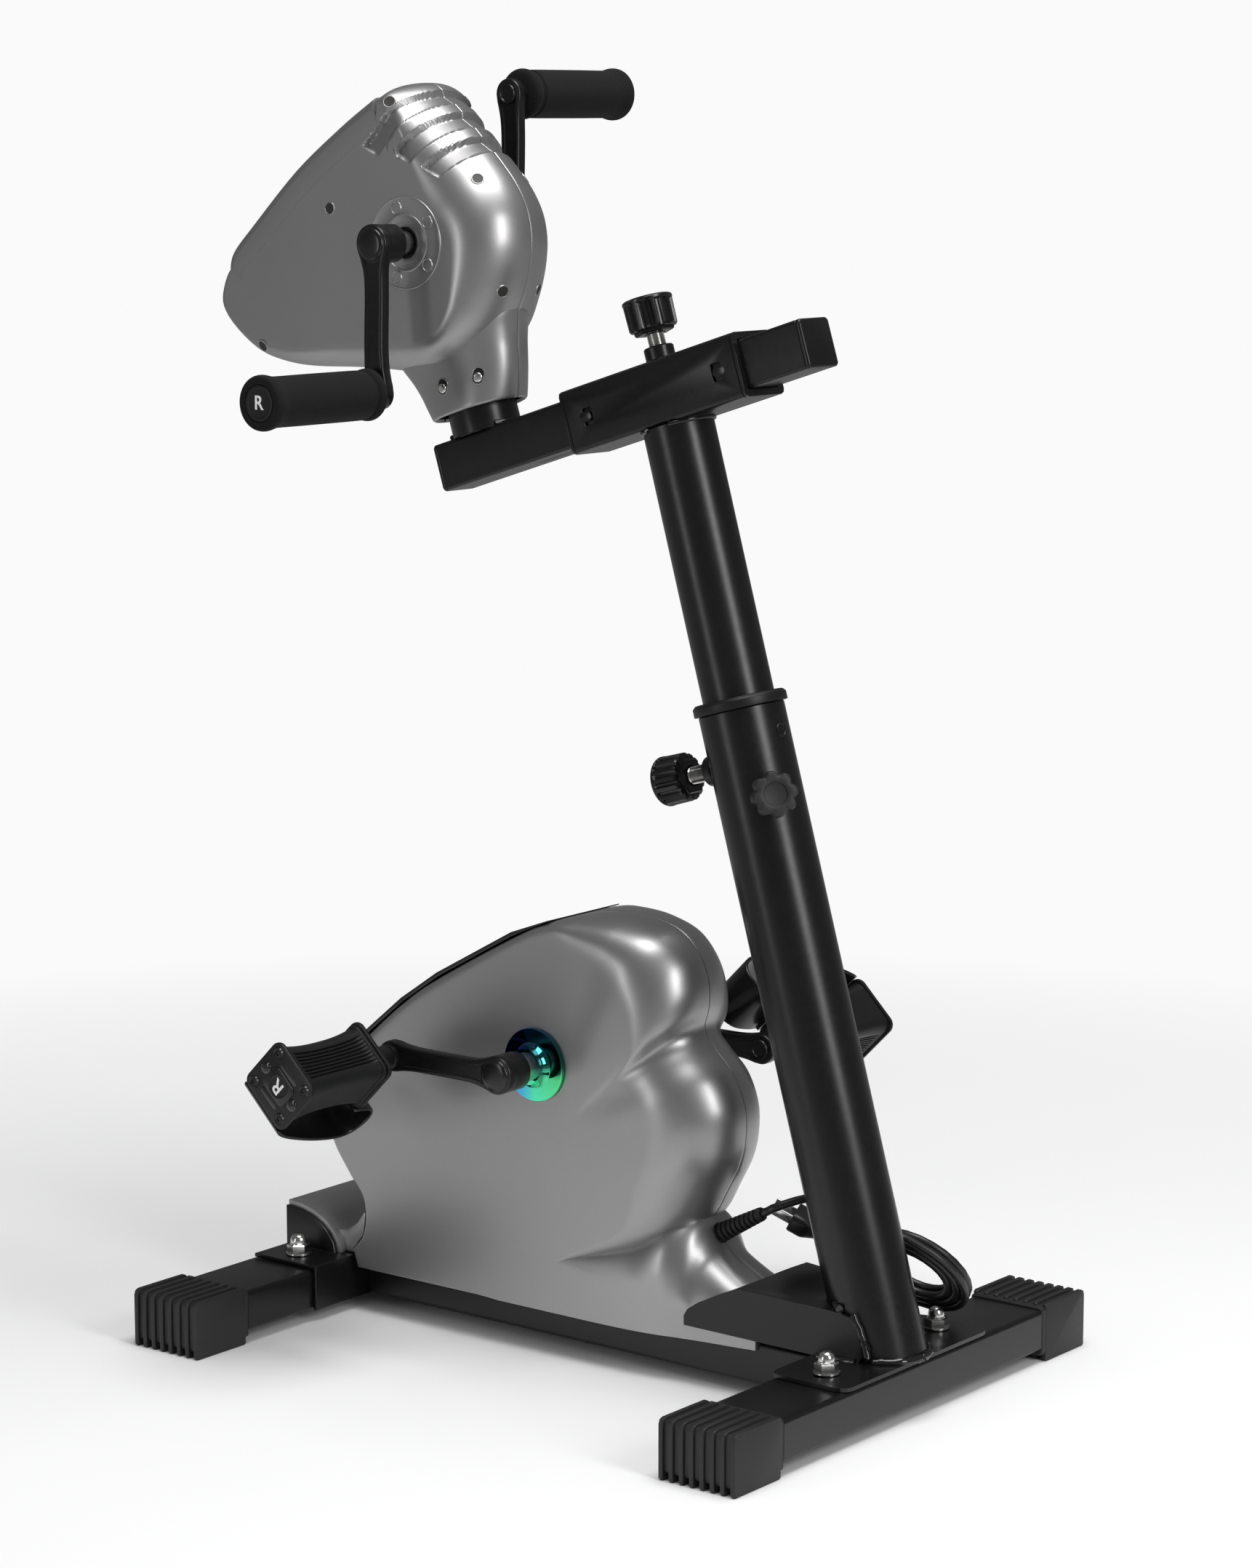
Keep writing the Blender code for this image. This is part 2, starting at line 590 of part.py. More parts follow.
def make_outer_tube():
    """Outer column tube, cut level on its base plate, with the boss for the star knob welded on."""
    floor_level = PLATE_BOTTOM + PLATE + GAP
    tube = rod("column_outer_tube", OUTER_RADIUS, COLUMN_FOOT + LEAN_UP * 0.030,
               COLUMN_FOOT + LEAN_UP * OUTER_TOP, "black_paint", 28, OUTER_RADIUS - OUTER_WALL)
    base = COLUMN_FOOT + LEAN_UP * STAR_ALONG
    boss = rod("star_boss", 0.0085, base + STAR_DIRECTION * (OUTER_RADIUS - 0.0015),
               base + STAR_DIRECTION * STAR_BOSS_END, segments=16)
    weld(tube, boss)
    cut(tube, box("tube_foot_cut", (-0.1, 0.15, -0.05), (0.1, 0.40, floor_level)))
    cut(tube, rod("star_bore", STAR_SCREW_RADIUS + GAP, base, base + STAR_DIRECTION * 0.060, segments=12))
    pin = COLUMN_FOOT + LEAN_UP * PULL_PIN_ALONG
    cut(tube, rod("pin_bore", THREAD_RADIUS + GAP, pin, pin - LEAN_BACK * 0.060, segments=16))


def make_collar():
    top = OUTER_TOP + GAP + COLLAR_HEIGHT
    lip = OUTER_TOP + GAP
    bush = OUTER_RADIUS - OUTER_WALL - GAP
    bore = INNER_RADIUS + GAP
    profile = [(COLLAR_RADIUS - 0.0015, top), (COLLAR_RADIUS, top - 0.002), (COLLAR_RADIUS, lip), (bush, lip),
               (bush, lip - 0.012), (bore, lip - 0.012), (bore, top)]
    turned("column_collar", profile, COLUMN_FOOT, LEAN_UP, "black_plastic", 24, True)


def circle(radius, count=12, squeeze=1.0):
    """Points of a circle; a squeeze below 1 draws every second one in, which gives a hexagon."""
    points = []
    for k in range(count):
        angle = 2 * math.pi * k / count
        reach = radius * (squeeze if k % 2 else 1.0)
        points.append((reach * math.cos(angle), reach * math.sin(angle)))
    return points


def make_cap_nut(name, x, y):
    """Dome nut with its washer, as one fastener."""
    flat = math.cos(math.radians(30))
    steps = [(0.0095, 0.0, 1.0), (0.0095, 0.0016, 1.0), (0.0075, 0.0016, flat), (0.0075, 0.0078, flat),
             (0.0060, 0.0084, 1.0), (0.0056, 0.0115, 1.0), (0.0036, 0.0142, 1.0)]
    rings = [[(px, py, level) for px, py in circle(radius, 12, squeeze)] for radius, level, squeeze in steps]
    ring_solid(name, rings, "zinc", Matrix.Translation((x, y, PLATE_BOTTOM + PLATE + GAP)))


# Housings
def pod_point(spot, centre, phi, side, reach=0.0):
    """Point of a housing's skin: phi runs from the seam to the side face, reach on from there."""
    y, z, depth, width, square = spot
    power = 2.0 / square
    inset = depth * (1.0 - math.cos(phi) ** power) if phi < math.pi / 2 else depth
    across = width * math.sin(phi) ** power if phi else -1000 * SEAM_SPARE
    dy, dz = centre[0] * 1000 - y, centre[1] * 1000 - z
    far = math.hypot(dy, dz)
    inset += reach * (far - depth)
    return (side * (across / 1000 + GAP / 2), (y + dy / far * inset) / 1000, (z + dz / far * inset) / 1000)


def make_half_shell(name, outline, centre, side, side_width, flats, hole):
    """Half of a housing, open at the seam. Flats are (reach, share of the side width) pairs."""
    bm = bmesh.new()
    rows = []
    for phi in (0.0, 28.0, 56.0, 90.0):
        rows.append([bm.verts.new(pod_point(s, centre, math.radians(phi), side)) for s in outline])
    for reach, share in flats:
        ring = []
        for spot in outline:
            x, y, z = pod_point(spot, centre, math.pi / 2, side, reach)
            width = spot[3] + (side_width - spot[3]) * share
            ring.append(bm.verts.new((side * (width / 1000 + GAP / 2), y, z)))
        rows.append(ring)
    if hole:
        ring = []
        for spot in outline:
            dy, dz = spot[0] / 1000 - centre[0], spot[1] / 1000 - centre[1]
            far = math.hypot(dy, dz)
            ring.append(bm.verts.new((side * (side_width / 1000 + GAP / 2), centre[0] + dy / far * hole,
                                      centre[1] + dz / far * hole)))
        rows.append(ring)
    count = len(outline)
    for outer, inner in zip(rows, rows[1:]):
        for i in range(count):
            j = (i + 1) % count
            quad = (outer[i], outer[j], inner[j], inner[i])
            bm.faces.new(quad if side > 0 else tuple(reversed(quad)))
    if not hole:
        middle = bm.verts.new((side * (side_width / 1000 + GAP / 2), *centre))
        for i in range(count):
            bm.faces.new((rows[-1][i], rows[-1][(i + 1) % count], middle))
        bmesh.ops.recalc_face_normals(bm, faces=bm.faces)
    mesh = bpy.data.meshes.new(name)
    bm.to_mesh(mesh)
    bm.free()
    if sum(face.normal.x * face.area for face in mesh.polygons) * side < 0:
        mesh.flip_normals()
    mesh.shade_smooth()
    obj = new_object(name, mesh, "silver_housing")
    wall = obj.modifiers.new("wall", "SOLIDIFY")
    wall.thickness = SHELL_WALL
    wall.offset = -1.0
    wall.use_even_offset = False
    obj.modifiers.new("facets", "TRIANGULATE")
    reach = sorted((side * GAP / 2, -side * 0.050))
    cut(obj, box(name + "_seam", (reach[0], -0.400, 0.0), (reach[1], 0.400, 1.0)))
    return obj


def make_lower_shells(openings):
    for name, side in (("lower_shell_right", 1), ("lower_shell_left", -1)):
        shell = make_half_shell(name, LOWER_OUTLINE, LOWER_CENTRE, side, 49.0, [(0.55, 1.0)], 0.0)
        axle = rod(name + "_axle_hole", 0.0108, FOOT_AXLE + X_AXIS * side * 0.020,
                   FOOT_AXLE + X_AXIS * side * 0.080, segments=20)
        beam = box(name + "_beam_space", (-0.0306, -0.300, 0.0), (0.0306, 0.400, BAR_TOP + 0.0008))
        start = RELIEF_START - relief_direction() * 0.030
        relief = rod(name + "_relief_hole", 0.0062, start, start + relief_direction() * 0.060, segments=16)
        cut(shell, axle, beam, relief, *openings)


def make_upper_shells():
    centre = (HAND_AXLE.y, HAND_AXLE.z)
    for name, side in (("upper_shell_right", 1), ("upper_shell_left", -1)):
        shell = make_half_shell(name, UPPER_OUTLINE, centre, side, 44.0, [(0.20, 0.25), (0.45, 1.0)], 0.0108)
        cut(shell, slide_box(name + "_neck_end", (-0.060, 0.060), (-0.060, NECK_END), (-0.300, -0.090)))


def offset_line(line, distance):
    """The line moved outwards, to its left as it runs, by a distance in metres."""
    spots = [Vector((y / 1000, z / 1000)) for y, z in line]
    moved = []
    for i, spot in enumerate(spots):
        ahead = spots[min(i + 1, len(spots) - 1)] - spots[max(i - 1, 0)]
        moved.append(spot + Vector((-ahead.y, ahead.x)).normalized() * distance)
    return [tuple(spot) for spot in moved]


def slope_matrix(along, across=0.0):
    """Frame on the sloping control face: X across it, Y up it and Z straight out of it."""
    low, high = (Vector((0.0, y / 1000, z / 1000)) for y, z in SLOPE)
    rise = (high - low).normalized()
    middle = (low + high) / 2 + rise * along + X_AXIS * across
    return frame_matrix(middle, X_AXIS.cross(rise))


def make_control_face():
    """Panel, display module and three push buttons on the slope of the lower housing."""
    line = [spot[:2] for spot in LOWER_OUTLINE[-4:]]
    line += [spot[:2] for spot in LOWER_OUTLINE[:2]]
    inner = offset_line(line, GAP)
    outline = offset_line(line, GAP + LOWER_PANEL_DEPTH)[:-1] + offset_line(line, GAP + LOWER_PANEL_TIP)[-1:]
    outline += list(reversed(inner))
    panel = side_prism("lower_panel", outline, -LOWER_PANEL_HALF, LOWER_PANEL_HALF, "gloss_black")
    width, height = GLASS_SIZE
    place = slope_matrix(GLASS_ALONG)
    top = GAP + LOWER_PANEL_DEPTH
    cut(panel, box("glass_window", (-width / 2 - GAP, -height / 2 - GAP, -0.002),
                   (width / 2 + GAP, height / 2 + GAP, 0.010), None, place))
    module = box("display_module", (-width / 2, -height / 2, 2 * GAP), (width / 2, height / 2, top), "lens",
                 place)
    stem_x, stem_y = width / 2 - 0.005, height / 2 - 0.005
    stem = box("display_stem", (-stem_x, -stem_y, BOARD_TOP - 0.001), (stem_x, stem_y, 0.001), None, place)
    board = box("display_board", (-0.0300, -0.0440, BOARD_TOP - 0.0016), (0.0300, 0.0160, BOARD_TOP), None,
                place)
    weld(module, stem, board)
    holes = [box("display_opening", (-stem_x - GAP, -stem_y - GAP, -0.010), (stem_x + GAP, stem_y + GAP, 0.003),
                 None, place)]
    for name, across in (("button_right", BUTTON_PITCH), ("button_middle", 0.0), ("button_left", -BUTTON_PITCH)):
        spot = slope_matrix(BUTTON_ALONG, across)
        crown = top + BUTTON_TRAVEL
        under = BUTTON_TRAVEL + GAP
        foot = BOARD_TOP + BUTTON_TRAVEL + GAP
        profile = [(0.0, crown), (BUTTON_RADIUS - 0.0008, crown), (BUTTON_RADIUS, crown - 0.0008),
                   (BUTTON_RADIUS, under), (BUTTON_STEM, under), (BUTTON_STEM, foot), (0.0, foot)]
        button = turned(name, profile, (0, 0, 0), (0, 0, 1), "button", 14)
        button.matrix_world = spot
        for label, radius, target in (("cap", BUTTON_RADIUS, panel), ("stem", BUTTON_STEM, None)):
            hole = rod("button_hole_" + label, radius + GAP, (0, 0, -0.012), (0, 0, 0.012), segments=14)
            hole.matrix_world = spot @ hole.matrix_world
            if target:
                cut(target, hole)
            else:
                as_cutter(hole)
                holes.append(hole)
    return holes


def make_upper_panel():
    """Long lid on the sloping face of the upper housing, hollow underneath."""
    base = [spot[:2] for spot in UPPER_OUTLINE[-5:]]
    under = offset_line(base, GAP)
    outer = [(y / 1000, z / 1000) for y, z in UPPER_PANEL_LINE]
    lid = side_prism("upper_panel", outer + list(reversed(under)), -UPPER_PANEL_HALF, UPPER_PANEL_HALF,
                     "gloss_black")
    roof = offset_line([(y, z) for y, z in UPPER_PANEL_LINE[1:-1]], -SHELL_WALL)
    floor = offset_line([(y, z) for y, z in base[1:-1]], -0.004)
    inside = UPPER_PANEL_HALF - SHELL_WALL
    cut(lid, side_prism("lid_hollow", roof + list(reversed(floor)), -inside, inside))
    bevel(lid, 0.0012, 1, 60)


# Column, sleeve and slide
def column_point(along):
    return COLUMN_FOOT + LEAN_UP * along


def slide_frame():
    """Frame at the sleeve's centre: X across, Z along the slide, and Y straight down from it."""
    return frame_matrix(SLEEVE_CENTRE, SLIDE_ALONG)


def slide_box(name, across, up, along):
    """Cutter in the slide's frame, from (low, high) pairs across, up and along."""
    return box(name, (across[0], -up[1], along[0]), (across[1], -up[0], along[1]), None, slide_frame())


def make_inner_tube():
    tube = rod("column_inner_tube", INNER_RADIUS, column_point(INNER_FROM), column_point(SLEEVE_ALONG + 0.01),
               "black_paint", 28, INNER_RADIUS - INNER_WALL)
    cut(tube, slide_box("tube_top_cut", (-0.1, 0.1), (-SLEEVE_SIZE / 2 - GAP, 0.1), (-0.1, 0.1)))


def make_sleeve():
    sleeve = hollow_bar("sleeve", SLEEVE_SIZE, SLEEVE_SIZE, SLEEVE_WALL, 0.004, SLEEVE_BACK, SLEEVE_FRONT,
                        slide_frame(), "black_paint")
    pin = SLEEVE_CENTRE + SLIDE_ALONG * SLEEVE_PIN_ALONG
    cut(sleeve, rod("sleeve_pin_hole", THREAD_RADIUS + GAP, pin + SLIDE_UP * 0.010, pin + SLIDE_UP * 0.040,
                    segments=16))
    for along in (-LATCH_ALONG, LATCH_ALONG):
        cut(sleeve, slide_box("latch_window", (-0.04, 0.04), (-0.0060, 0.0060), (along - 0.004, along + 0.004)))
    outer = SLEEVE_SIZE - 2 * SLEEVE_WALL - 2 * GAP
    inner = SLIDE_SIZE + 2 * GAP
    rims = (SLEEVE_BACK - GAP, SLEEVE_FRONT + GAP)
    steps = [(SLEEVE_SIZE, 0.004, rims[0] - LINER_RIM), (SLEEVE_SIZE, 0.004, rims[0]), (outer, 0.002, rims[0]),
             (outer, 0.002, rims[1]), (SLEEVE_SIZE, 0.004, rims[1]), (SLEEVE_SIZE, 0.004, rims[1] + LINER_RIM),
             (inner, 0.001, rims[1] + LINER_RIM), (inner, 0.001, rims[0] - LINER_RIM)]
    rings = [[(x, y, level) for x, y in rounded_rectangle(size, size, radius, 2)]
             for size, radius, level in steps]
    liner = ring_solid("sleeve_liner", rings, "black_plastic", slide_frame(), 30.0, caps=False)
    cut(liner, rod("liner_pin_hole", PIN_RADIUS + GAP, pin, pin + SLIDE_UP * 0.040, segments=16))


def make_slide():
    """Square tube, closed by a plug in each end, with the post for the upper housing on top."""
    slide = hollow_bar("slide_tube", SLIDE_SIZE, SLIDE_SIZE, SLIDE_WALL, 0.003, SLIDE_BACK, SLIDE_FRONT,
                       slide_frame(), "black_paint")
    base = SLEEVE_CENTRE + SLIDE_ALONG * POST_ALONG
    post = rod("post", POST_RADIUS, base + SLIDE_UP * (SLIDE_SIZE / 2 - 0.001), base + SLIDE_UP * POST_TOP,
               segments=20, bore=POST_RADIUS - 0.002)
    weld(slide, post)
    inside = SLIDE_SIZE - 2 * SLIDE_WALL + GAP
    for end, way in ((SLIDE_FRONT, 1), (SLIDE_BACK, -1)):
        steps = [(inside, 0.001, -0.004), (inside, 0.001, -0.001), (SLIDE_SIZE, 0.003, -0.001),
                 (SLIDE_SIZE, 0.003, 0.0026), (SLIDE_SIZE - 0.003, 0.002, 0.0036)]
        rings = [[(x, y, end + way * level) for x, y in rounded_rectangle(size, size, radius, 2)]
                 for size, radius, level in steps]
        weld(slide, ring_solid("slide_plug", rings, None, slide_frame(), 30.0))
    cut(slide, slide_box("slide_slot", (-0.004, 0.004), (-0.020, -0.012), SLOT_ALONG))


def pin_set(name, origin, axis, tip, inside, bush, thread, knob):
    """Spring pin: a fixed barrel with a hexagon bush and thread, and a fluted knob on the pin."""
    place = frame_matrix(origin, axis)
    bore = PIN_RADIUS + GAP
    flat = math.cos(math.radians(30))
    steps = [(bore, inside, 1.0), (THREAD_RADIUS, inside, 1.0), (THREAD_RADIUS, bush[0], 1.0),
             (BARREL_RADIUS, bush[0], flat), (BARREL_RADIUS, bush[1], flat), (THREAD_RADIUS, bush[1], 1.0),
             (THREAD_RADIUS, thread, 1.0), (bore, thread, 1.0)]
    rings = [[(x, y, level) for x, y in circle(radius, 12, squeeze)] for radius, level, squeeze in steps]
    ring_solid(name + "_barrel", rings, "zinc", place, 30.0, caps=False)
    count = 2 * KNOB_FLUTES
    recess = THREAD_RADIUS + 0.001
    flute = 1.0 - KNOB_FLUTE_DEPTH / KNOB_RADIUS
    steps = [(PIN_RADIUS, tip, 1.0), (PIN_RADIUS, knob[0] + 0.006, 1.0), (recess, knob[0] + 0.006, 1.0),
             (recess, knob[0], 1.0), (KNOB_RADIUS * 0.92, knob[0], 1.0), (KNOB_RADIUS, knob[0] + 0.002, flute),
             (KNOB_RADIUS, knob[1] - 0.003, flute), (KNOB_RADIUS * 0.86, knob[1], 1.0)]
    rings = [[(x, y, level) for x, y in circle(radius, count, squeeze)] for radius, level, squeeze in steps]
    ring_solid(name + "_knob", rings, "black_plastic", place, 40.0)


def make_star_knob():
    """Lobed hand knob on a screw that presses on the inner tube."""
    base = column_point(STAR_ALONG)
    start = STAR_BOSS_END + GAP
    steps = [(STAR_SCREW_RADIUS, INNER_RADIUS + GAP, 0.0), (STAR_SCREW_RADIUS, start, 0.0),
             (0.0075, start, 0.0), (0.0075, start + 0.006, 0.0), (STAR_RADIUS * 0.85, start + 0.007, 0.10),
             (STAR_RADIUS, start + 0.009, 0.13), (STAR_RADIUS, start + 0.020, 0.13),
             (STAR_RADIUS * 0.88, start + 0.0225, 0.10), (STAR_RADIUS * 0.55, start + 0.0225, 0.0),
             (STAR_RADIUS * 0.50, start + 0.0195, 0.0)]
    count = 3 * STAR_LOBES
    rings = []
    for radius, level, wave in steps:
        ring = []
        for k in range(count):
            angle = 2 * math.pi * k / count
            reach = radius * (1.0 + wave * (math.cos(STAR_LOBES * angle) - 1.0) / 2.0)
            ring.append((reach * math.cos(angle), reach * math.sin(angle), level))
        rings.append(ring)
    ring_solid("star_knob", rings, "black_plastic", frame_matrix(base, STAR_DIRECTION), 40.0)


# Cranks, pedals and grips
def crank_end(axle, length, way):
    return axle + way * length


def make_crank(name, axle, way, side, face, length, flare, spindle):
    """Crank arm with its hub, and the spindle that its pedal or grip turns on."""
    along = Vector(way)
    across = X_AXIS.cross(along)
    outline = []
    for k in range(8):
        angle = math.radians(90 + 180 * k / 7)
        outline.append((HUB_RADIUS * math.cos(angle), HUB_RADIUS * math.sin(angle)))
    outline += [(0.012, -HUB_RADIUS * 0.90), (0.022, -ARM_WAIST), (length - 0.020, -ARM_WAIST),
                (length - 0.008, -EYE_RADIUS * 0.90)]
    for k in range(6):
        angle = math.radians(-75 + 150 * k / 5)
        outline.append((length + EYE_RADIUS * math.cos(angle), EYE_RADIUS * math.sin(angle)))
    outline += [(length - 0.008, EYE_RADIUS * 0.90), (length - 0.020, ARM_WAIST), (0.022, ARM_WAIST),
                (0.012, HUB_RADIUS * 0.90)]
    rings = []
    for level, shrink in ((face - ARM_THICKNESS, 0.0), (face - 0.001, 0.0), (face, 0.001)):
        ring = []
        for u, v in outline:
            share = min(max((u - 0.020) / (length - 0.040), 0.0), 1.0)
            inward = 1.0 - shrink / 0.010
            centre = 0.0 if u < length / 2 else length
            spot = axle + along * (centre + (u - centre) * inward) + across * v * inward
            ring.append((side * (level + flare * share), spot.y, spot.z))
        rings.append(ring)
    arm = ring_solid(name, rings, "black_paint")
    hub = rod(name + "_hub", HUB_RADIUS - 0.0010, axle + X_AXIS * side * (face - HUB_LENGTH),
              axle + X_AXIS * side * (face - 0.002), segments=16)
    end = crank_end(axle, length, along)
    base = face + flare
    radius, flange, reach = spindle
    pin = rod(name + "_spindle", radius, end + X_AXIS * side * (base - 0.004), end + X_AXIS * side * reach,
              segments=12)
    collar = rod(name + "_collar", flange, end + X_AXIS * side * (base - 0.003),
                 end + X_AXIS * side * (base + SPINDLE_COLLAR), segments=12)
    weld(arm, hub, pin, collar)
    cut(arm, rod(name + "_bore", SPIGOT_RADIUS + GAP, axle + X_AXIS * side * (face - HUB_LENGTH - 0.01),
                 axle + X_AXIS * side * (face - HUB_FLOOR), segments=16))
    return arm


def make_pedal(name, centre, side, toe):
    """Saddle-shaped pedal body between two square plates. The toe direction crosses the strap's face."""
    place = frame_matrix(centre, X_AXIS * side, toe)
    thick = PEDAL_PLATE
    size = PEDAL_SIZE
    length = PEDAL_OUTER - PEDAL_INNER
    steps = [(size, 0.0), (size, thick), (size * 0.90, thick), (size * 0.78, thick + 0.16 * length),
             (size * 0.72, 0.5 * length), (size * 0.78, length - thick - 0.16 * length),
             (size * 0.90, length - thick), (size, length - thick), (size, length)]
    corner = 0.007 / size
    rings = [[(x, y, PEDAL_INNER + level) for x, y in rounded_rectangle(width, width, corner * width, 2)]
             for width, level in steps]
    body = ring_solid(name, rings, "black_plastic", place)
    start = FOOT_FACE + SPINDLE_COLLAR + GAP
    boss = rod(name + "_boss", PEDAL_BOSS, (0, 0, start), (0, 0, PEDAL_INNER + 0.001), segments=16)
    bore = rod(name + "_bore", SPINDLE_RADIUS + GAP, (0, 0, start - 0.010), (0, 0, PEDAL_OUTER - 0.006),
               segments=16)
    for obj in (boss, bore):
        obj.matrix_world = place @ obj.matrix_world
    weld(body, boss)
    cut(body, bore)


def make_strap(name, centre, side, toe):
    """Foot strap that arches over one face of the pedal, from plate to plate."""
    face = PEDAL_SIZE / 2 + GAP
    outer, inner = PEDAL_OUTER - STRAP_THICK / 2, PEDAL_INNER + STRAP_THICK / 2
    route = [(outer, face), (outer - 0.002, 0.027), (0.198, 0.034), (0.180, 0.043), (0.150, 0.0545),
             (0.122, 0.0615), (0.108, 0.0600), (0.1005, 0.0520), (0.1000, 0.0420), (0.1060, 0.0330),
             (0.1180, 0.0285), (inner - 0.001, 0.0270), (inner, face)]
    middle = [Vector((x, y, 0.0)) for x, y in route]
    sides = ([], [])
    for i, spot in enumerate(middle):
        if i == 0 or i == len(middle) - 1:
            normal = Vector((1.0, 0.0, 0.0)) * (1 if i == 0 else -1)
        else:
            ahead = middle[i + 1] - middle[i - 1]
            normal = Vector((ahead.y, -ahead.x, 0.0)).normalized()
        for row, way in zip(sides, (1, -1)):
            moved = spot + normal * STRAP_THICK / 2 * way
            row.append((moved.x, moved.y))
    outline = sides[0] + list(reversed(sides[1]))
    rings = [[(y, x, level) for x, y in outline] for level in (-STRAP_HALF, STRAP_HALF)]
    place = frame_matrix(centre, Vector(toe).cross(X_AXIS * side), toe)
    ring_solid(name, rings, "rubber", place, 40.0)


def make_grip(name, axle, way, side):
    """Foam grip with a ridged inner flange and a plug in its flared outer end."""
    end = crank_end(axle, HAND_CRANK_LENGTH, Vector(way))
    start = HAND_FACE + HAND_FLARE + SPINDLE_COLLAR + GAP
    radius = GRIP_RADIUS
    bore = SPINDLE_RADIUS + 0.001 + GAP
    profile = [(0.0, GRIP_END - 0.0015), (0.0100, GRIP_END - 0.0015), (0.0115, GRIP_END),
               (radius * 0.98, GRIP_END), (radius * 1.10, GRIP_END - 0.002), (radius * 1.06, GRIP_END - 0.008),
               (radius, GRIP_END - 0.014), (radius, start + 0.010), (radius * 0.88, start + 0.0095),
               (radius * 1.04, start + 0.006), (radius * 1.04, start + 0.003), (radius * 0.90, start),
               (bore, start), (bore, GRIP_END - 0.006), (0.0, GRIP_END - 0.006)]
    turned(name, profile, end, X_AXIS * side, "foam")


def make_hand_axle():
    tip = HAND_FACE - HUB_FLOOR - GAP
    step = HAND_FACE - HUB_LENGTH - GAP
    profile = [(0.0, tip), (SPIGOT_RADIUS, tip), (SPIGOT_RADIUS, step), (AXLE_RADIUS, step),
               (AXLE_RADIUS, -step), (SPIGOT_RADIUS, -step), (SPIGOT_RADIUS, -tip), (0.0, -tip)]
    turned("hand_axle", profile, HAND_AXLE, X_AXIS, "steel")


def make_hand_bearing():
    """Bearing tube across the upper housing, on a block that stands on the post."""
    half = 0.0380
    bearing = rod("hand_bearing", 0.0160, HAND_AXLE - X_AXIS * half, HAND_AXLE + X_AXIS * half, "steel", 20,
                  AXLE_RADIUS + GAP)
    place = frame_matrix(SLEEVE_CENTRE + SLIDE_ALONG * POST_ALONG, SLIDE_UP)
    rel = HAND_AXLE - (SLEEVE_CENTRE + SLIDE_ALONG * POST_ALONG)
    up = rel.dot(SLIDE_UP)
    toe = SLIDE_UP.cross(X_AXIS)
    along = rel.dot(toe)
    block = box("bearing_block", (-0.013, along - 0.011, POST_TOP + GAP), (0.013, along + 0.011, up - 0.011),
                None, place)
    weld(bearing, block)


# Drive inside the lower housing
def make_foot_axle():
    """Axle with its belt pulley, and a spigot at each end for the crank hub."""
    tip = FOOT_FACE - HUB_FLOOR - GAP
    step = FOOT_FACE - HUB_LENGTH - GAP
    low, high = BELT_X - BELT_WIDTH / 2 - 0.001, BELT_X + BELT_WIDTH / 2 + 0.001
    profile = [(0.0, tip), (SPIGOT_RADIUS, tip), (SPIGOT_RADIUS, step), (AXLE_RADIUS, step), (AXLE_RADIUS, high),
               (BIG_PULLEY_RADIUS, high), (BIG_PULLEY_RADIUS, low), (AXLE_RADIUS, low), (AXLE_RADIUS, -step),
               (SPIGOT_RADIUS, -step), (SPIGOT_RADIUS, -tip), (0.0, -tip)]
    turned("foot_axle", profile, FOOT_AXLE, X_AXIS, "steel", 18)


def make_axle_disc(name, side):
    bore = AXLE_RADIUS + GAP
    outer = DISC_X
    end = FOOT_FACE - HUB_LENGTH - GAP
    profile = [(0.0125, end), (0.0160, outer + 0.001), (DISC_RADIUS, outer), (DISC_RADIUS, outer - 0.003),
               (bore, outer - 0.003), (bore, end)]
    turned(name, profile, FOOT_AXLE, X_AXIS * side, "mirror_disc", 20, True)


def make_bearing(name, centre, side):
    profile = [(BEARING_RADIUS, 0.0355), (BEARING_RADIUS, 0.0275), (AXLE_RADIUS + GAP, 0.0275),
               (AXLE_RADIUS + GAP, 0.0355)]
    turned(name, profile, centre, X_AXIS * side, "steel", 18, True)


def make_drive_frame():
    """Steel frame on the beam that carries the bearings and the motor."""
    low = PLATE_BOTTOM
    frame = box("drive_frame", (-0.0330, -0.0500, low), (0.0330, 0.1050, low + PLATE), "steel")
    outline = [(-0.0500, low + 0.001), (0.1050, low + 0.001), (0.1040, 0.0900), (0.1080, 0.1300),
               (0.1100, 0.1600), (0.0900, 0.1950), (0.0300, 0.2400), (-0.0280, 0.2400), (-0.0420, 0.2130),
               (-0.0500, 0.1300)]
    sides = [side_prism("drive_side", outline, x, x + PLATE) for x in (FRAME_PLATE_X, -FRAME_PLATE_X - PLATE)]
    weld(frame, *sides)
    cut(frame, rod("bearing_hole", BEARING_RADIUS + GAP, FOOT_AXLE - X_AXIS * 0.06, FOOT_AXLE + X_AXIS * 0.06,
                   segments=20))


def motor_point():
    return Vector((0.0, *MOTOR_CENTRE))


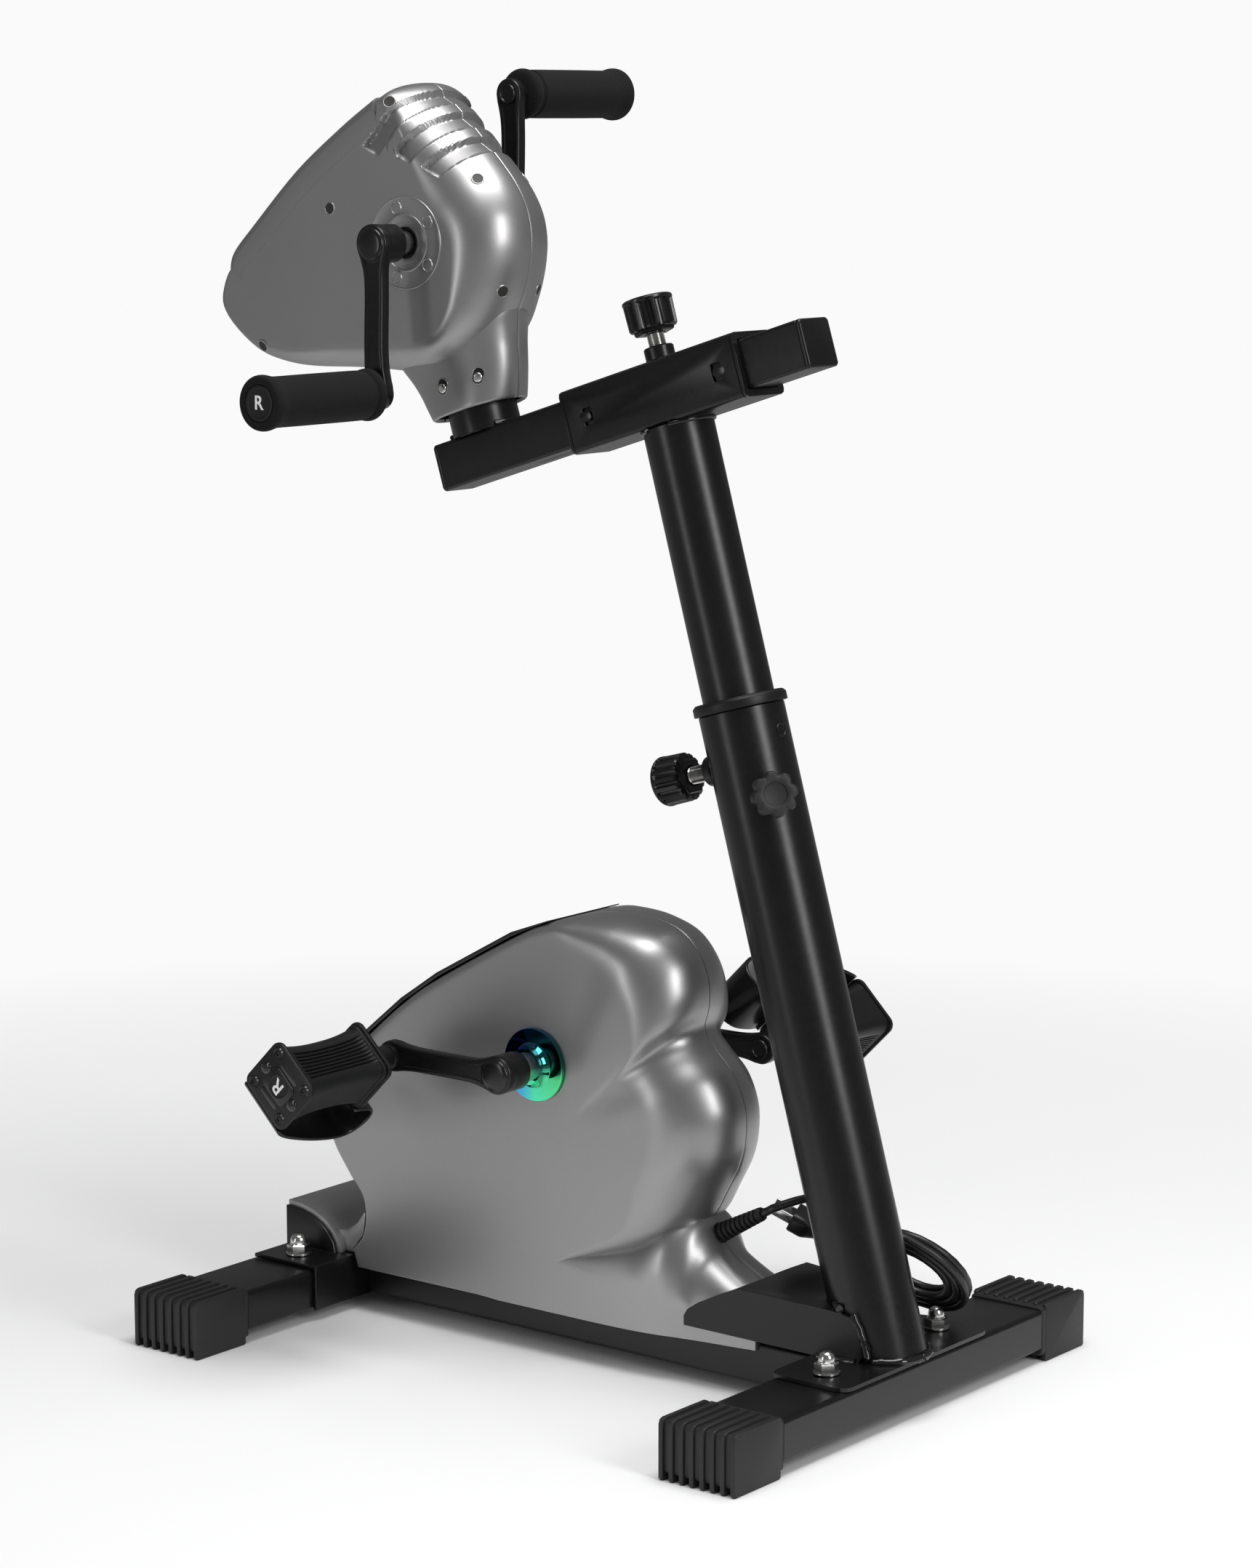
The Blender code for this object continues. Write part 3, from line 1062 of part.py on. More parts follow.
def make_motor():
    """Gear motor: a flat round body, its mounting boss and its output shaft."""
    back = -FRAME_PLATE_X + GAP
    shaft = BELT_X + BELT_WIDTH / 2 + 0.004
    profile = [(0.0, shaft), (0.0040, shaft), (0.0040, 0.0055), (0.0110, 0.0055), (0.0110, 0.0035),
               (MOTOR_RADIUS - 0.002, 0.0035), (MOTOR_RADIUS, 0.0015), (MOTOR_RADIUS, -0.0240),
               (MOTOR_RADIUS - 0.002, -0.0260), (0.0150, -0.0260), (0.0150, back), (0.0, back)]
    turned("gear_motor", profile, motor_point(), X_AXIS, "steel", 14)
    low, high = BELT_X - BELT_WIDTH / 2, BELT_X + BELT_WIDTH / 2
    rim = SMALL_PULLEY_RADIUS + 0.0035
    profile = [(rim, high + 0.0018), (rim, high + GAP), (SMALL_PULLEY_RADIUS, high + GAP),
               (SMALL_PULLEY_RADIUS, low - GAP), (rim, low - GAP), (rim, low - 0.0018), (0.0043, low - 0.0018),
               (0.0043, high + 0.0018)]
    turned("motor_pulley", profile, motor_point(), X_AXIS, "black_plastic", bored=True)


def belt_outline(offset):
    """Outline round both pulleys at an offset from their rims, as (y, z) points."""
    big, small = Vector(FOOT_AXLE.yz), Vector(MOTOR_CENTRE)
    between = small - big
    heading = math.atan2(between.y, between.x)
    spread = math.acos((BIG_PULLEY_RADIUS - SMALL_PULLEY_RADIUS) / between.length)
    points = []
    for centre, radius, start, sweep, steps in (
            (small, SMALL_PULLEY_RADIUS, heading - spread, 2 * spread, 7),
            (big, BIG_PULLEY_RADIUS, heading + spread, 2 * math.pi - 2 * spread, 16)):
        for step in range(steps + 1):
            angle = start + sweep * step / steps
            reach = (radius + offset) / math.cos(sweep / steps / 2)
            points.append((centre.x + reach * math.cos(angle), centre.y + reach * math.sin(angle)))
    return points


def make_belt():
    half = BELT_WIDTH / 2 - GAP
    inner, outer = belt_outline(2 * GAP), belt_outline(2 * GAP + 0.002)
    low, high = BELT_X - half, BELT_X + half
    rings = [[(low, y, z) for y, z in outer], [(high, y, z) for y, z in outer],
             [(high, y, z) for y, z in inner], [(low, y, z) for y, z in inner]]
    ring_solid("drive_belt", rings, "rubber", None, 40.0, caps=False)


# Mains lead
def relief_direction():
    return Vector((0.0, math.cos(RELIEF_RISE), math.sin(RELIEF_RISE)))


def make_strain_relief():
    """Ribbed boot through the seam of the lower housing, with a flange inside it."""
    profile = [(0.0, RELIEF_LENGTH), (0.0048, RELIEF_LENGTH)]
    pitch = (RELIEF_LENGTH - 0.010) / RELIEF_RINGS
    for ring in range(RELIEF_RINGS):
        level = RELIEF_LENGTH - 0.002 - ring * pitch
        radius = 0.0050 + 0.0020 * (ring + 0.5) / RELIEF_RINGS
        profile += [(radius, level - 0.1 * pitch), (radius, level - 0.6 * pitch),
                    (radius - 0.0012, level - 0.8 * pitch)]
    profile += [(0.0075, 0.0078), (0.0075, 0.0045), (RELIEF_NECK, 0.0045), (RELIEF_NECK, -0.0060),
                (0.0080, -0.0060), (0.0080, -0.0085), (0.0, -0.0085)]
    turned("strain_relief", profile, RELIEF_START, relief_direction(), "rubber", 12)


def coil_axes():
    """The coil's own directions: across the floor, up its face, and through its middle."""
    up = Vector((math.sin(COIL_TILT), 0.0, math.cos(COIL_TILT)))
    through = Vector((math.cos(COIL_TILT), 0.0, -math.sin(COIL_TILT)))
    return Vector((0.0, 1.0, 0.0)), up, through


def coil_point(across, rise, depth):
    flat, up, through = coil_axes()
    return COIL_CENTRE + flat * across + up * rise + through * depth


def coil_path():
    """Centre line of the coil: in one layer, over to the other in a half turn, and out again."""
    layer = CORD_PITCH / 2
    last = COIL_RADIUS - CORD_PITCH * COIL_TURNS
    total = 2 * COIL_TURNS + 0.5
    steps = round(total * COIL_POINTS_PER_TURN)
    points = []
    for step in range(steps + 1):
        turn = total * step / steps
        angle = COIL_START - 2 * math.pi * turn
        if turn <= COIL_TURNS:
            radius, depth = COIL_RADIUS - CORD_PITCH * turn, layer
        elif turn >= COIL_TURNS + 0.5:
            radius, depth = last + CORD_PITCH * (turn - COIL_TURNS - 0.5), -layer
        else:
            share = 2 * (turn - COIL_TURNS)
            radius = last - COIL_DIP * math.sin(math.pi * share)
            depth = layer * math.cos(math.pi * share)
        points.append(coil_point(radius * math.cos(angle), radius * math.sin(angle), depth))
    lead = (points[0] - points[1]).normalized()
    points.insert(0, points[0] + lead * 2 * CORD_RADIUS)
    spot = points[-1]
    heading = (points[-1] - points[-2]).normalized()
    through = coil_axes()[2]
    for step in range(COIL_TAIL_STEPS):
        turn = Matrix.Rotation(COIL_TAIL_TURN / COIL_TAIL_STEPS, 3, through)
        heading = (turn @ heading).normalized()
        spot = spot + heading * COIL_TAIL / COIL_TAIL_STEPS
        points.append(spot)
    points.append(spot + heading * 2 * CORD_RADIUS)
    return points


def least_gap(points, radius, skip):
    """Smallest space between parts of a tube that are not next to each other along it."""
    pieces = list(zip(points, points[1:]))
    least = 1.0
    for i, (a, b) in enumerate(pieces):
        for c, d in pieces[i + skip:]:
            if ((a + b) / 2 - (c + d) / 2).length > 0.030:
                continue
            for k in range(4):
                spot = a.lerp(b, k / 4)
                along = d - c
                share = min(max((spot - c).dot(along) / along.length_squared, 0.0), 1.0)
                least = min(least, (spot - c - along * share).length - 2 * radius)
    return least


def make_cord():
    coil = coil_path()
    gap = least_gap(coil, CORD_RADIUS, COIL_POINTS_PER_TURN // 2)
    print(f"cord_coil: least gap to itself {gap * 1000:.2f} mm")
    poly_tube("cord_coil", coil, CORD_RADIUS, "lead", 1)
    start = RELIEF_START + relief_direction() * (RELIEF_LENGTH + GAP)
    into = (coil[1] - coil[0]).normalized()
    end = coil[0] - into * GAP
    out = relief_direction()
    straight = 2 * CORD_RADIUS
    route = [start, start + out * straight, start + out * 2 * straight, *(Vector(p) for p in CORD_ROUTE),
             end - into * 2 * straight, end - into * straight, end]
    run = smooth_path(route, 3)
    poly_tube("cord_run", run, CORD_RADIUS, "lead", 1)
    length = sum((b - a).length for line in (coil, run) for a, b in zip(line, line[1:]))
    print(f"mains lead: {length:.3f} m from strain relief to plug")
    tail = (coil[-1] - coil[-2]).normalized()
    make_plug(coil[-1] + tail * GAP, tail)


def make_plug(start, direction):
    """Moulded plug with a tapered boot and two flat blades."""
    place = frame_matrix(start, direction)
    steps = [(0.0066, 0.0066, 0.0), (0.0090, 0.0090, 0.012), (0.0130, 0.0110, 0.014), (0.0240, 0.0150, 0.022),
             (0.0240, 0.0150, 0.034)]
    rings = [[(x, y, level) for x, y in rounded_rectangle(wide, high, 0.3 * high, 2)]
             for wide, high, level in steps]
    plug = ring_solid("plug", rings, "lead", place, 40.0)
    for x in (-0.0063, 0.0063):
        weld(plug, box("plug_blade", (x - 0.00075, -0.0032, 0.030), (x + 0.00075, 0.0032, 0.050), None, place))


# Joints' axes as empties, with the moving pieces hung on them
def hang_all():
    right, left = Vector((0.0, -1.0, 0.0)), Vector((0.0, 1.0, 0.0))
    hand = hand_way()
    spots = {
        "foot_crank_axis": (FOOT_AXLE, ["foot_axle", "axle_disc_right", "axle_disc_left", "foot_crank_right",
                                        "foot_crank_left"]),
        "right_pedal_axis": (crank_end(FOOT_AXLE, FOOT_CRANK_LENGTH, right),
                             ["pedal_right", "pedal_strap_right"]),
        "left_pedal_axis": (crank_end(FOOT_AXLE, FOOT_CRANK_LENGTH, left), ["pedal_left", "pedal_strap_left"]),
        "motor_axis": (motor_point(), ["motor_pulley"]),
        "hand_crank_axis": (HAND_AXLE, ["hand_axle", "hand_crank_right", "hand_crank_left"]),
        "right_grip_axis": (crank_end(HAND_AXLE, HAND_CRANK_LENGTH, hand), ["grip_right"]),
        "left_grip_axis": (crank_end(HAND_AXLE, HAND_CRANK_LENGTH, -hand), ["grip_left"]),
        "column_axis": (column_point(SLEEVE_ALONG), ["column_inner_tube", "sleeve", "sleeve_liner",
                                                     "sleeve_pin_barrel"]),
        "slide_axis": (SLEEVE_CENTRE, ["slide_tube", "upper_shell_right", "upper_shell_left", "upper_panel",
                                       "hand_bearing"]),
    }
    for name, (spot, pieces) in spots.items():
        hang_on(joint_empty(name, spot), *(bpy.data.objects[piece] for piece in pieces))


def hand_way():
    """Direction of the right hand crank, down and a little forwards."""
    return Vector((0.0, math.sin(HAND_CRANK_TURN), -math.cos(HAND_CRANK_TURN)))


def main():
    make_cross_bars()
    for row, y in (("column", COLUMN_BAR_Y), ("user", USER_BAR_Y)):
        for word, side in (("right", 1), ("left", -1)):
            make_end_cap(f"{row}_bar_cap_{word}", y, side)
    make_beam()
    make_user_bracket()
    make_toe_cover()
    make_column_base()
    make_outer_tube()
    make_collar()
    for row, x, y in (("column", NUT_X_COLUMN, COLUMN_BAR_Y), ("user", NUT_X_USER, USER_BAR_Y)):
        make_cap_nut(f"cap_nut_{row}_right", x, y)
        make_cap_nut(f"cap_nut_{row}_left", -x, y)
    openings = make_control_face()
    make_lower_shells(openings)
    make_upper_shells()
    make_upper_panel()
    make_inner_tube()
    make_sleeve()
    make_slide()
    pin_set("column_pin", column_point(PULL_PIN_ALONG), -LEAN_BACK, INNER_RADIUS + GAP,
            OUTER_RADIUS - 0.0015, (OUTER_RADIUS + GAP, 0.0380), 0.0540, (0.0560, 0.0785))
    pin_set("sleeve_pin", SLEEVE_CENTRE + SLIDE_ALONG * SLEEVE_PIN_ALONG, SLIDE_UP, SLIDE_SIZE / 2 + GAP,
            SLEEVE_SIZE / 2 - 0.0015, (SLEEVE_SIZE / 2 + GAP, 0.0330), 0.0430, (0.0450, 0.0675))
    make_star_knob()
    hand = hand_way()
    pedal_spindle = (SPINDLE_RADIUS, 0.0090, PEDAL_OUTER - 0.008)
    grip_spindle = (SPINDLE_RADIUS + 0.001, 0.0090, GRIP_END - 0.008)
    for word, side in (("right", 1), ("left", -1)):
        foot = Vector((0.0, -side, 0.0))
        make_crank(f"foot_crank_{word}", FOOT_AXLE, foot, side, FOOT_FACE, FOOT_CRANK_LENGTH, 0.0, pedal_spindle)
        make_crank(f"hand_crank_{word}", HAND_AXLE, hand * side, side, HAND_FACE, HAND_CRANK_LENGTH, HAND_FLARE,
                   grip_spindle)
        centre = crank_end(FOOT_AXLE, FOOT_CRANK_LENGTH, foot)
        toe = Vector((0.0, -1.0, -side)).normalized()
        make_pedal(f"pedal_{word}", centre, side, toe)
        make_strap(f"pedal_strap_{word}", centre, side, toe)
        make_grip(f"grip_{word}", HAND_AXLE, hand * side, side)
        make_axle_disc(f"axle_disc_{word}", side)
        make_bearing(f"foot_bearing_{word}", FOOT_AXLE, side)
    make_hand_axle()
    make_hand_bearing()
    make_foot_axle()
    make_drive_frame()
    make_motor()
    make_belt()
    make_strain_relief()
    make_cord()
    hang_all()


main()
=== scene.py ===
"""Dressed scene of an electric arm and leg pedal exerciser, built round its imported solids.

Sizes are metres in the solids' own frame: the user sits at -Y and faces +Y, +X is the
user's right, and Z = 0 is the floor.
"""
import logging
from dataclasses import dataclass
from enum import Enum
from math import atan2, copysign, cos, degrees, hypot, pi, radians, sin
from typing import Any, Callable, Dict, List, Optional, Sequence, Tuple, Union

import bpy
import bmesh
from mathutils import Matrix, Vector


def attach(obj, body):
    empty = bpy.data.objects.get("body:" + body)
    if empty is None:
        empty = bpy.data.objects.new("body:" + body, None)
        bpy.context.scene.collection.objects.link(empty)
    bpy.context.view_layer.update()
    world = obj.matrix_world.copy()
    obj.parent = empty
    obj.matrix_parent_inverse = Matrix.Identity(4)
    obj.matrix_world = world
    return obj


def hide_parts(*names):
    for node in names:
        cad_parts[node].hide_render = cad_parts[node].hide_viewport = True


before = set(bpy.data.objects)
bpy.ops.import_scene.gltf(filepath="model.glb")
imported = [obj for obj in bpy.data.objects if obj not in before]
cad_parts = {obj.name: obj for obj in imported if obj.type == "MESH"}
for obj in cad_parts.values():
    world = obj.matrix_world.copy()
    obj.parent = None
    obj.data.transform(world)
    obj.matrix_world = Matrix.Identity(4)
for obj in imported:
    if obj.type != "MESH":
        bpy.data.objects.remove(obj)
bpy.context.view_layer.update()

LOG = logging.getLogger("pedal_exerciser")
Point = Tuple[float, float]
Row = Tuple[float, ...]
Place = Tuple[float, float, float]
Colour = Tuple[float, float, float]
Stops = Tuple[Tuple[float, Colour], ...]
Table = Tuple[Row, ...]
BMesh = bmesh.types.BMesh
Piece = bpy.types.Object
Socket = bpy.types.NodeSocket
MM = 0.001
X_AXIS = Vector((1.0, 0.0, 0.0))
Y_AXIS = Vector((0.0, 1.0, 0.0))
Z_AXIS = Vector((0.0, 0.0, 1.0))
GAP = 0.0003


class Side(Enum):
    """The user's right and left, with the sign of X there."""
    RIGHT = 1
    LEFT = -1

    @property
    def word(self) -> str:
        """Word that the pieces' names use."""
        return self.name.lower()


class Grain(Enum):
    """Kind of fine surface that a finish shows, with the strength of its bump."""
    FLAKE = 0.12
    ORANGE_PEEL = 0.35
    MOULDED = 0.5
    FOAM = 0.9
    METAL = 0.25
    GLOSS = 0.05


@dataclass(frozen=True)
class Layout:
    """Places that several sub-assemblies share."""
    foot_axle: Vector = Vector((0.0, 0.0016, 0.213))
    hand_axle: Vector = Vector((0.0, -0.1186, 0.787))
    column_foot: Vector = Vector((0.0, 0.2797, 0.0))
    lean: float = radians(15.92)
    tilt: float = radians(17.4)
    sleeve_along: float = 0.7153
    foot_crank: float = 0.0975
    hand_crank: float = 0.104
    hand_turn: float = radians(3.5)
    floor_plate: float = 0.0418

    @property
    def lean_up(self) -> Vector:
        """Direction up the column."""
        return Vector((0.0, -sin(self.lean), cos(self.lean)))

    @property
    def lean_back(self) -> Vector:
        """Direction square to the column, away from the user."""
        return Vector((0.0, cos(self.lean), sin(self.lean)))

    @property
    def slide_along(self) -> Vector:
        """Direction along the sliding tube, away from the user."""
        return Vector((0.0, cos(self.tilt), sin(self.tilt)))

    @property
    def slide_up(self) -> Vector:
        """Direction square to the sliding tube, upwards."""
        return Vector((0.0, -sin(self.tilt), cos(self.tilt)))

    @property
    def sleeve_centre(self) -> Vector:
        """Middle of the sleeve on top of the column."""
        return self.column_foot + self.lean_up * self.sleeve_along

    def foot_way(self, side: Side) -> Vector:
        """Direction of that side's foot crank from its axle."""
        return Vector((0.0, -side.value, 0.0))

    def hand_way(self, side: Side) -> Vector:
        """Direction of that side's hand crank from its axle."""
        way = Vector((0.0, sin(self.hand_turn), -cos(self.hand_turn)))
        return way * side.value


LAYOUT = Layout()


# Finishes
class NodeWork:
    """Small helper that adds and wires the nodes of one tree."""

    def __init__(self, tree: bpy.types.NodeTree) -> None:
        """Keep the tree's nodes and links."""
        self.nodes, self.links = tree.nodes, tree.links

    def add(self, kind: str, output: str, inputs: Dict[Any, Any], **choices: str) -> Socket:
        """Add one node, set it up and wire it.

        Args:
            kind: The node's type, without the words that all of them share.
            output: Name of the socket to return.
            inputs: A plain value or another node's socket for each input's name or number.
            **choices: The node's own settings.

        Returns:
            The node's output socket.
        """
        node = self.nodes.new("ShaderNode" + kind)
        for name, choice in choices.items():
            setattr(node, name, choice)
        for name, value in inputs.items():
            if isinstance(value, Socket):
                self.links.new(value, node.inputs[name])
            else:
                node.inputs[name].default_value = value
        return node.outputs[output]

    def math(self, operation: str, *values: Any) -> Socket:
        """Result of one sum over sockets and plain values."""
        return self.add("Math", "Value", dict(enumerate(values)), operation=operation)

    def spread(self, value: Socket, low: float, high: float, into_low: float, into_high: float) -> Socket:
        """Map a value from one range onto another, clamped."""
        return self.add("MapRange", "Result", {"Value": value, "From Min": low, "From Max": high,
                                               "To Min": into_low, "To Max": into_high})


class Shader(NodeWork):
    """Nodes of one material, round its principled shader."""

    def __init__(self, name: str) -> None:
        """Start a material of that name."""
        self.material = bpy.data.materials.new(name)
        self.material.use_nodes = True
        super().__init__(self.material.node_tree)
        self.shader = self.nodes["Principled BSDF"]
        self.coords = self.add("TexCoord", "Object", {})

    def constant(self, **values: float) -> None:
        """Set plain values on the shader's own sockets, with underscores for spaces."""
        for socket, value in values.items():
            self.shader.inputs[socket.replace("_", " ")].default_value = value

    def feed(self, value: Socket, socket: str) -> None:
        """Link a value to one of the shader's sockets."""
        self.links.new(value, self.shader.inputs[socket])

    def noise(self, scale: float, detail: float = 3.0) -> Socket:
        """Noise on object coordinates, in cells per metre and octaves of detail."""
        return self.add("TexNoise", "Fac", {"Scale": scale, "Detail": detail, "Vector": self.coords})

    def cells(self, scale: float) -> Socket:
        """Distance to the nearest cell of a Voronoi pattern of that many cells per metre."""
        return self.add("TexVoronoi", "Distance", {"Scale": scale, "Vector": self.coords})

    def blend(self, share: Socket, first: Colour, second: Colour) -> Socket:
        """Mix two colours by a share and return the colour's socket."""
        return self.add("Mix", "Result", {"Factor": share, "A": (*first, 1.0), "B": (*second, 1.0)}, data_type="RGBA")

    def bump(self, height: Socket, strength: float, distance: float) -> None:
        """Raise the surface by a height."""
        self.feed(self.add("Bump", "Normal", {"Strength": strength, "Distance": distance, "Height": height}), "Normal")


@dataclass(frozen=True)
class Finish:
    """One finish of the object: its colour, gloss and grain."""
    name: str
    grain: Grain
    colour: Colour
    roughness: float
    metallic: float = 0.0
    specular: float = 0.5
    coat: float = 0.0
    tone: float = 0.12
    scale: float = 300.0
    depth: float = 0.00002
    sheen: float = 0.0

    def shade(self, factor: float) -> Colour:
        """The finish's colour, made lighter or darker by a factor."""
        return tuple(min(channel * factor, 1.0) for channel in self.colour)

    def material(self) -> bpy.types.Material:
        """The finish's material, made once.

        Returns:
            The material, with colour, roughness and bump from its nodes.
        """
        ready = bpy.data.materials.get(self.name)
        if ready is not None:
            return ready
        work = Shader(self.name)
        work.constant(Metallic=self.metallic, Specular_IOR_Level=self.specular, Coat_Weight=self.coat,
                      Coat_Roughness=0.08, Sheen_Weight=self.sheen)
        celled = self.grain in (Grain.FOAM, Grain.FLAKE)
        fine = work.cells(self.scale) if celled else work.noise(self.scale)
        share = work.math("MULTIPLY_ADD", work.noise(9.0, 2.0), 0.5,
                          work.spread(fine, 0.1 if celled else 0.3, 0.7, 0.0, 0.5))
        work.feed(work.blend(share, self.shade(1.0 - self.tone), self.shade(1.0 + self.tone)), "Base Color")
        spare = 0.12 * self.roughness + 0.01
        work.feed(work.spread(share, 0.0, 1.0, self.roughness - spare, self.roughness + spare), "Roughness")
        work.bump(fine, self.grain.value, self.depth)
        return work.material


@dataclass(frozen=True)
class IridescentFinish:
    """Mirror foil that runs from blue to green, with painted reflection: bright at its foot and dark at its head."""
    name: str = "iridescent_mirror"
    hues: Stops = ((0.00, (0.05, 0.26, 0.85)), (0.36, (0.07, 0.5, 0.8)), (0.58, (0.1, 0.85, 0.5)),
                   (1.00, (0.12, 0.9, 0.34)))
    # Painted reflection: brightness that falls from the foot of the disc to its head, darker and bluer at the top.
    tones: Stops = ((0.00, (1.0, 1.0, 1.0)), (0.42, (0.85, 0.85, 0.85)), (0.6, (0.2, 0.24, 0.42)),
                    (1.00, (0.16, 0.18, 0.62)))
    half_height: float = 0.0265

    def ramp(self, work: Shader, place: Socket, middle: float, stops: Stops) -> Socket:
        """Colours that run once over the disc, with a slight ripple.

        Args:
            work: The foil's nodes.
            place: Coordinate that the colours follow.
            middle: The disc's middle on it.
            stops: The colours and their places.

        Returns:
            The colour's socket.
        """
        share = work.spread(place, middle - self.half_height, middle + self.half_height, 0, 1)
        ripple = work.math("MULTIPLY_ADD", work.noise(40.0, 1.0), 0.12, share)
        colour = work.add("ValToRGB", "Color", {"Fac": ripple})
        elements = colour.node.color_ramp.elements
        while len(elements) < len(stops):
            elements.new(0.5)
        for element, (spot, tint) in zip(elements, stops):
            element.position = spot
            element.color = (*tint, 1.0)
        return colour

    def material(self) -> bpy.types.Material:
        """The foil's material, made once.

        Returns:
            A metallic material whose colour follows the place on the axle's disc.
        """
        ready = bpy.data.materials.get(self.name)
        if ready is not None:
            return ready
        work = Shader(self.name)
        work.constant(Metallic=1.0, Coat_Weight=0.3, Coat_Roughness=0.03)
        split = work.add("SeparateXYZ", "Y", {"Vector": work.coords}).node.outputs
        hue = self.ramp(work, split["Y"], LAYOUT.foot_axle.y, self.hues)
        # Painted reflection: the disc is made bright low down and dark high up, multiplied into its colour.
        tone = self.ramp(work, split["Z"], LAYOUT.foot_axle.z, self.tones)
        work.feed(work.add("Mix", "Result", {"Factor": 1.0, "A": hue, "B": tone}, data_type="RGBA",
                           blend_type="MULTIPLY"), "Base Color")
        work.feed(work.spread(work.noise(90.0), 0.3, 0.7, 0.04, 0.09), "Roughness")
        work.bump(work.noise(60.0), 0.06, 0.0002)
        return work.material


SILVER = Finish("silver_lacquer", Grain.FLAKE, (0.34, 0.335, 0.335), 0.36, 0.85, 0.5, 0.15, 0.07, 1500.0, 0.00001)
BLACK_PAINT = Finish("black_powder_coat", Grain.ORANGE_PEEL, (0.005, 0.005, 0.0053), 0.3, 0.0, 0.4, 0.0,
                     0.15, 260.0, 0.00003)
BLACK_PLASTIC = Finish("black_moulding", Grain.MOULDED, (0.0062, 0.0062, 0.0064), 0.42, 0.0, 0.34, 0.0, 0.2,
                       900.0, 0.00003)
CAP_PLASTIC = Finish("cap_moulding", Grain.MOULDED, (0.015, 0.0148, 0.015), 0.5, 0.0, 0.4, 0.0, 0.2, 700.0, 0.00004)
GLOSS_BLACK = Finish("polished_black", Grain.GLOSS, (0.006, 0.0062, 0.007), 0.09, 0.0, 0.5, 0.3, 0.3, 200.0)
STRAP_BLACK = Finish("strap_moulding", Grain.GLOSS, (0.006, 0.006, 0.0063), 0.24, 0.0, 0.45, 0.0, 0.2, 300.0)
FOAM = Finish("grip_foam", Grain.FOAM, (0.0065, 0.0064, 0.0062), 0.88, 0.0, 0.2, 0.0, 0.35, 1100.0, 0.00025, 0.02)
RUBBER = Finish("black_rubber", Grain.MOULDED, (0.011, 0.011, 0.0112), 0.55, 0.0, 0.4, 0.0, 0.2, 500.0, 0.00004)
ZINC = Finish("zinc_plate", Grain.METAL, (0.62, 0.615, 0.6), 0.22, 1.0, 0.5, 0.0, 0.12, 350.0, 0.00003)
STEEL = Finish("turned_steel", Grain.METAL, (0.42, 0.42, 0.43), 0.3, 1.0, 0.5, 0.0, 0.15, 500.0, 0.00003)
WELD = Finish("painted_weld", Grain.ORANGE_PEEL, (0.01, 0.01, 0.0105), 0.13, 0.0, 0.5, 0.0, 0.2, 500.0, 0.00025)
LEAD = Finish("lead_jacket", Grain.MOULDED, (0.011, 0.011, 0.0115), 0.36, 0.0, 0.45, 0.0, 0.15, 600.0)
SCREEN = Finish("display_glass", Grain.GLOSS, (0.012, 0.015, 0.017), 0.05, 0.0, 0.5, 0.5, 0.1, 150.0)
BUTTON = Finish("button_grey", Grain.MOULDED, (0.16, 0.165, 0.17), 0.42, 0.0, 0.5, 0.0, 0.08, 900.0)
MARK_WHITE = Finish("mark_white", Grain.MOULDED, (0.78, 0.78, 0.77), 0.45, 0.0, 0.5, 0.0, 0.03, 900.0)
# Painted shade: a dark finish laid where the insides of holes and slots would be in shade.
HOLE_SHADE = Finish("screw_recess", Grain.METAL, (0.022, 0.021, 0.018), 0.5, 0.2, 0.5, 0.0, 0.3, 700.0)
MIRROR = IridescentFinish()
AnyFinish = Union[Finish, IridescentFinish]


# Shaping helpers
def place_on(origin: Vector, z_dir: Vector, x_dir: Vector = X_AXIS) -> Matrix:
    """Matrix whose Z runs along one direction and whose X lies near another.

    Args:
        origin: Where the matrix's own origin goes.
        z_dir: Direction of its Z axis.
        x_dir: Rough direction of its X axis.

    Returns:
        The matrix.
    """
    z = Vector(z_dir).normalized()
    x = Vector(x_dir) - z * z.dot(Vector(x_dir))
    if x.length < 1e-6:
        x = Y_AXIS - z * z.y
    x.normalize()
    basis = Matrix((x, z.cross(x), z)).transposed().to_4x4()
    return Matrix.Translation(Vector(origin)) @ basis


def smooth_step(value: float) -> float:
    """Soft ramp from 0 to 1, clamped at both ends."""
    value = min(max(value, 0.0), 1.0)
    return value * value * (3.0 - 2.0 * value)


def new_object(name: str, data: bpy.types.ID) -> Piece:
    """New object of some data, linked to the scene."""
    obj = bpy.data.objects.new(name, data)
    bpy.context.scene.collection.objects.link(obj)
    return obj


def make_piece(name: str, bm: BMesh, finish: AnyFinish, body: str, matrix: Optional[Matrix] = None,
               sharp: float = 30.0, outwards: bool = True, parent: Optional[Piece] = None) -> Piece:
    """Turn a bmesh into a finished piece that rides on a body.

    Args:
        name: Name of the piece.
        bm: The shape; it is freed.
        finish: Its finish.
        body: Body of the mechanism that the piece moves with.
        matrix: Place of the shape, where it isn't built in place.
        sharp: Angle in degrees over which an edge stays crisp.
        outwards: Whether to turn the faces outwards again.
        parent: Piece that it belongs to.

    Returns:
        The piece, with its place in its mesh.
    """
    if matrix is not None:
        bmesh.ops.transform(bm, matrix=matrix, verts=bm.verts)
    bmesh.ops.remove_doubles(bm, verts=bm.verts, dist=1e-6)
    if outwards:
        bmesh.ops.recalc_face_normals(bm, faces=bm.faces)
    mesh = bpy.data.meshes.new(name)
    bm.to_mesh(mesh)
    bm.free()
    mesh.shade_smooth()
    mesh.set_sharp_from_angle(angle=radians(sharp))
    mesh.materials.append(finish.material())
    obj = new_object(name, mesh)
    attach(obj, body)
    if parent is not None:
        obj.parent = parent
    LOG.info("%s: %d faces, on %s", name, len(mesh.polygons), body)
    return obj


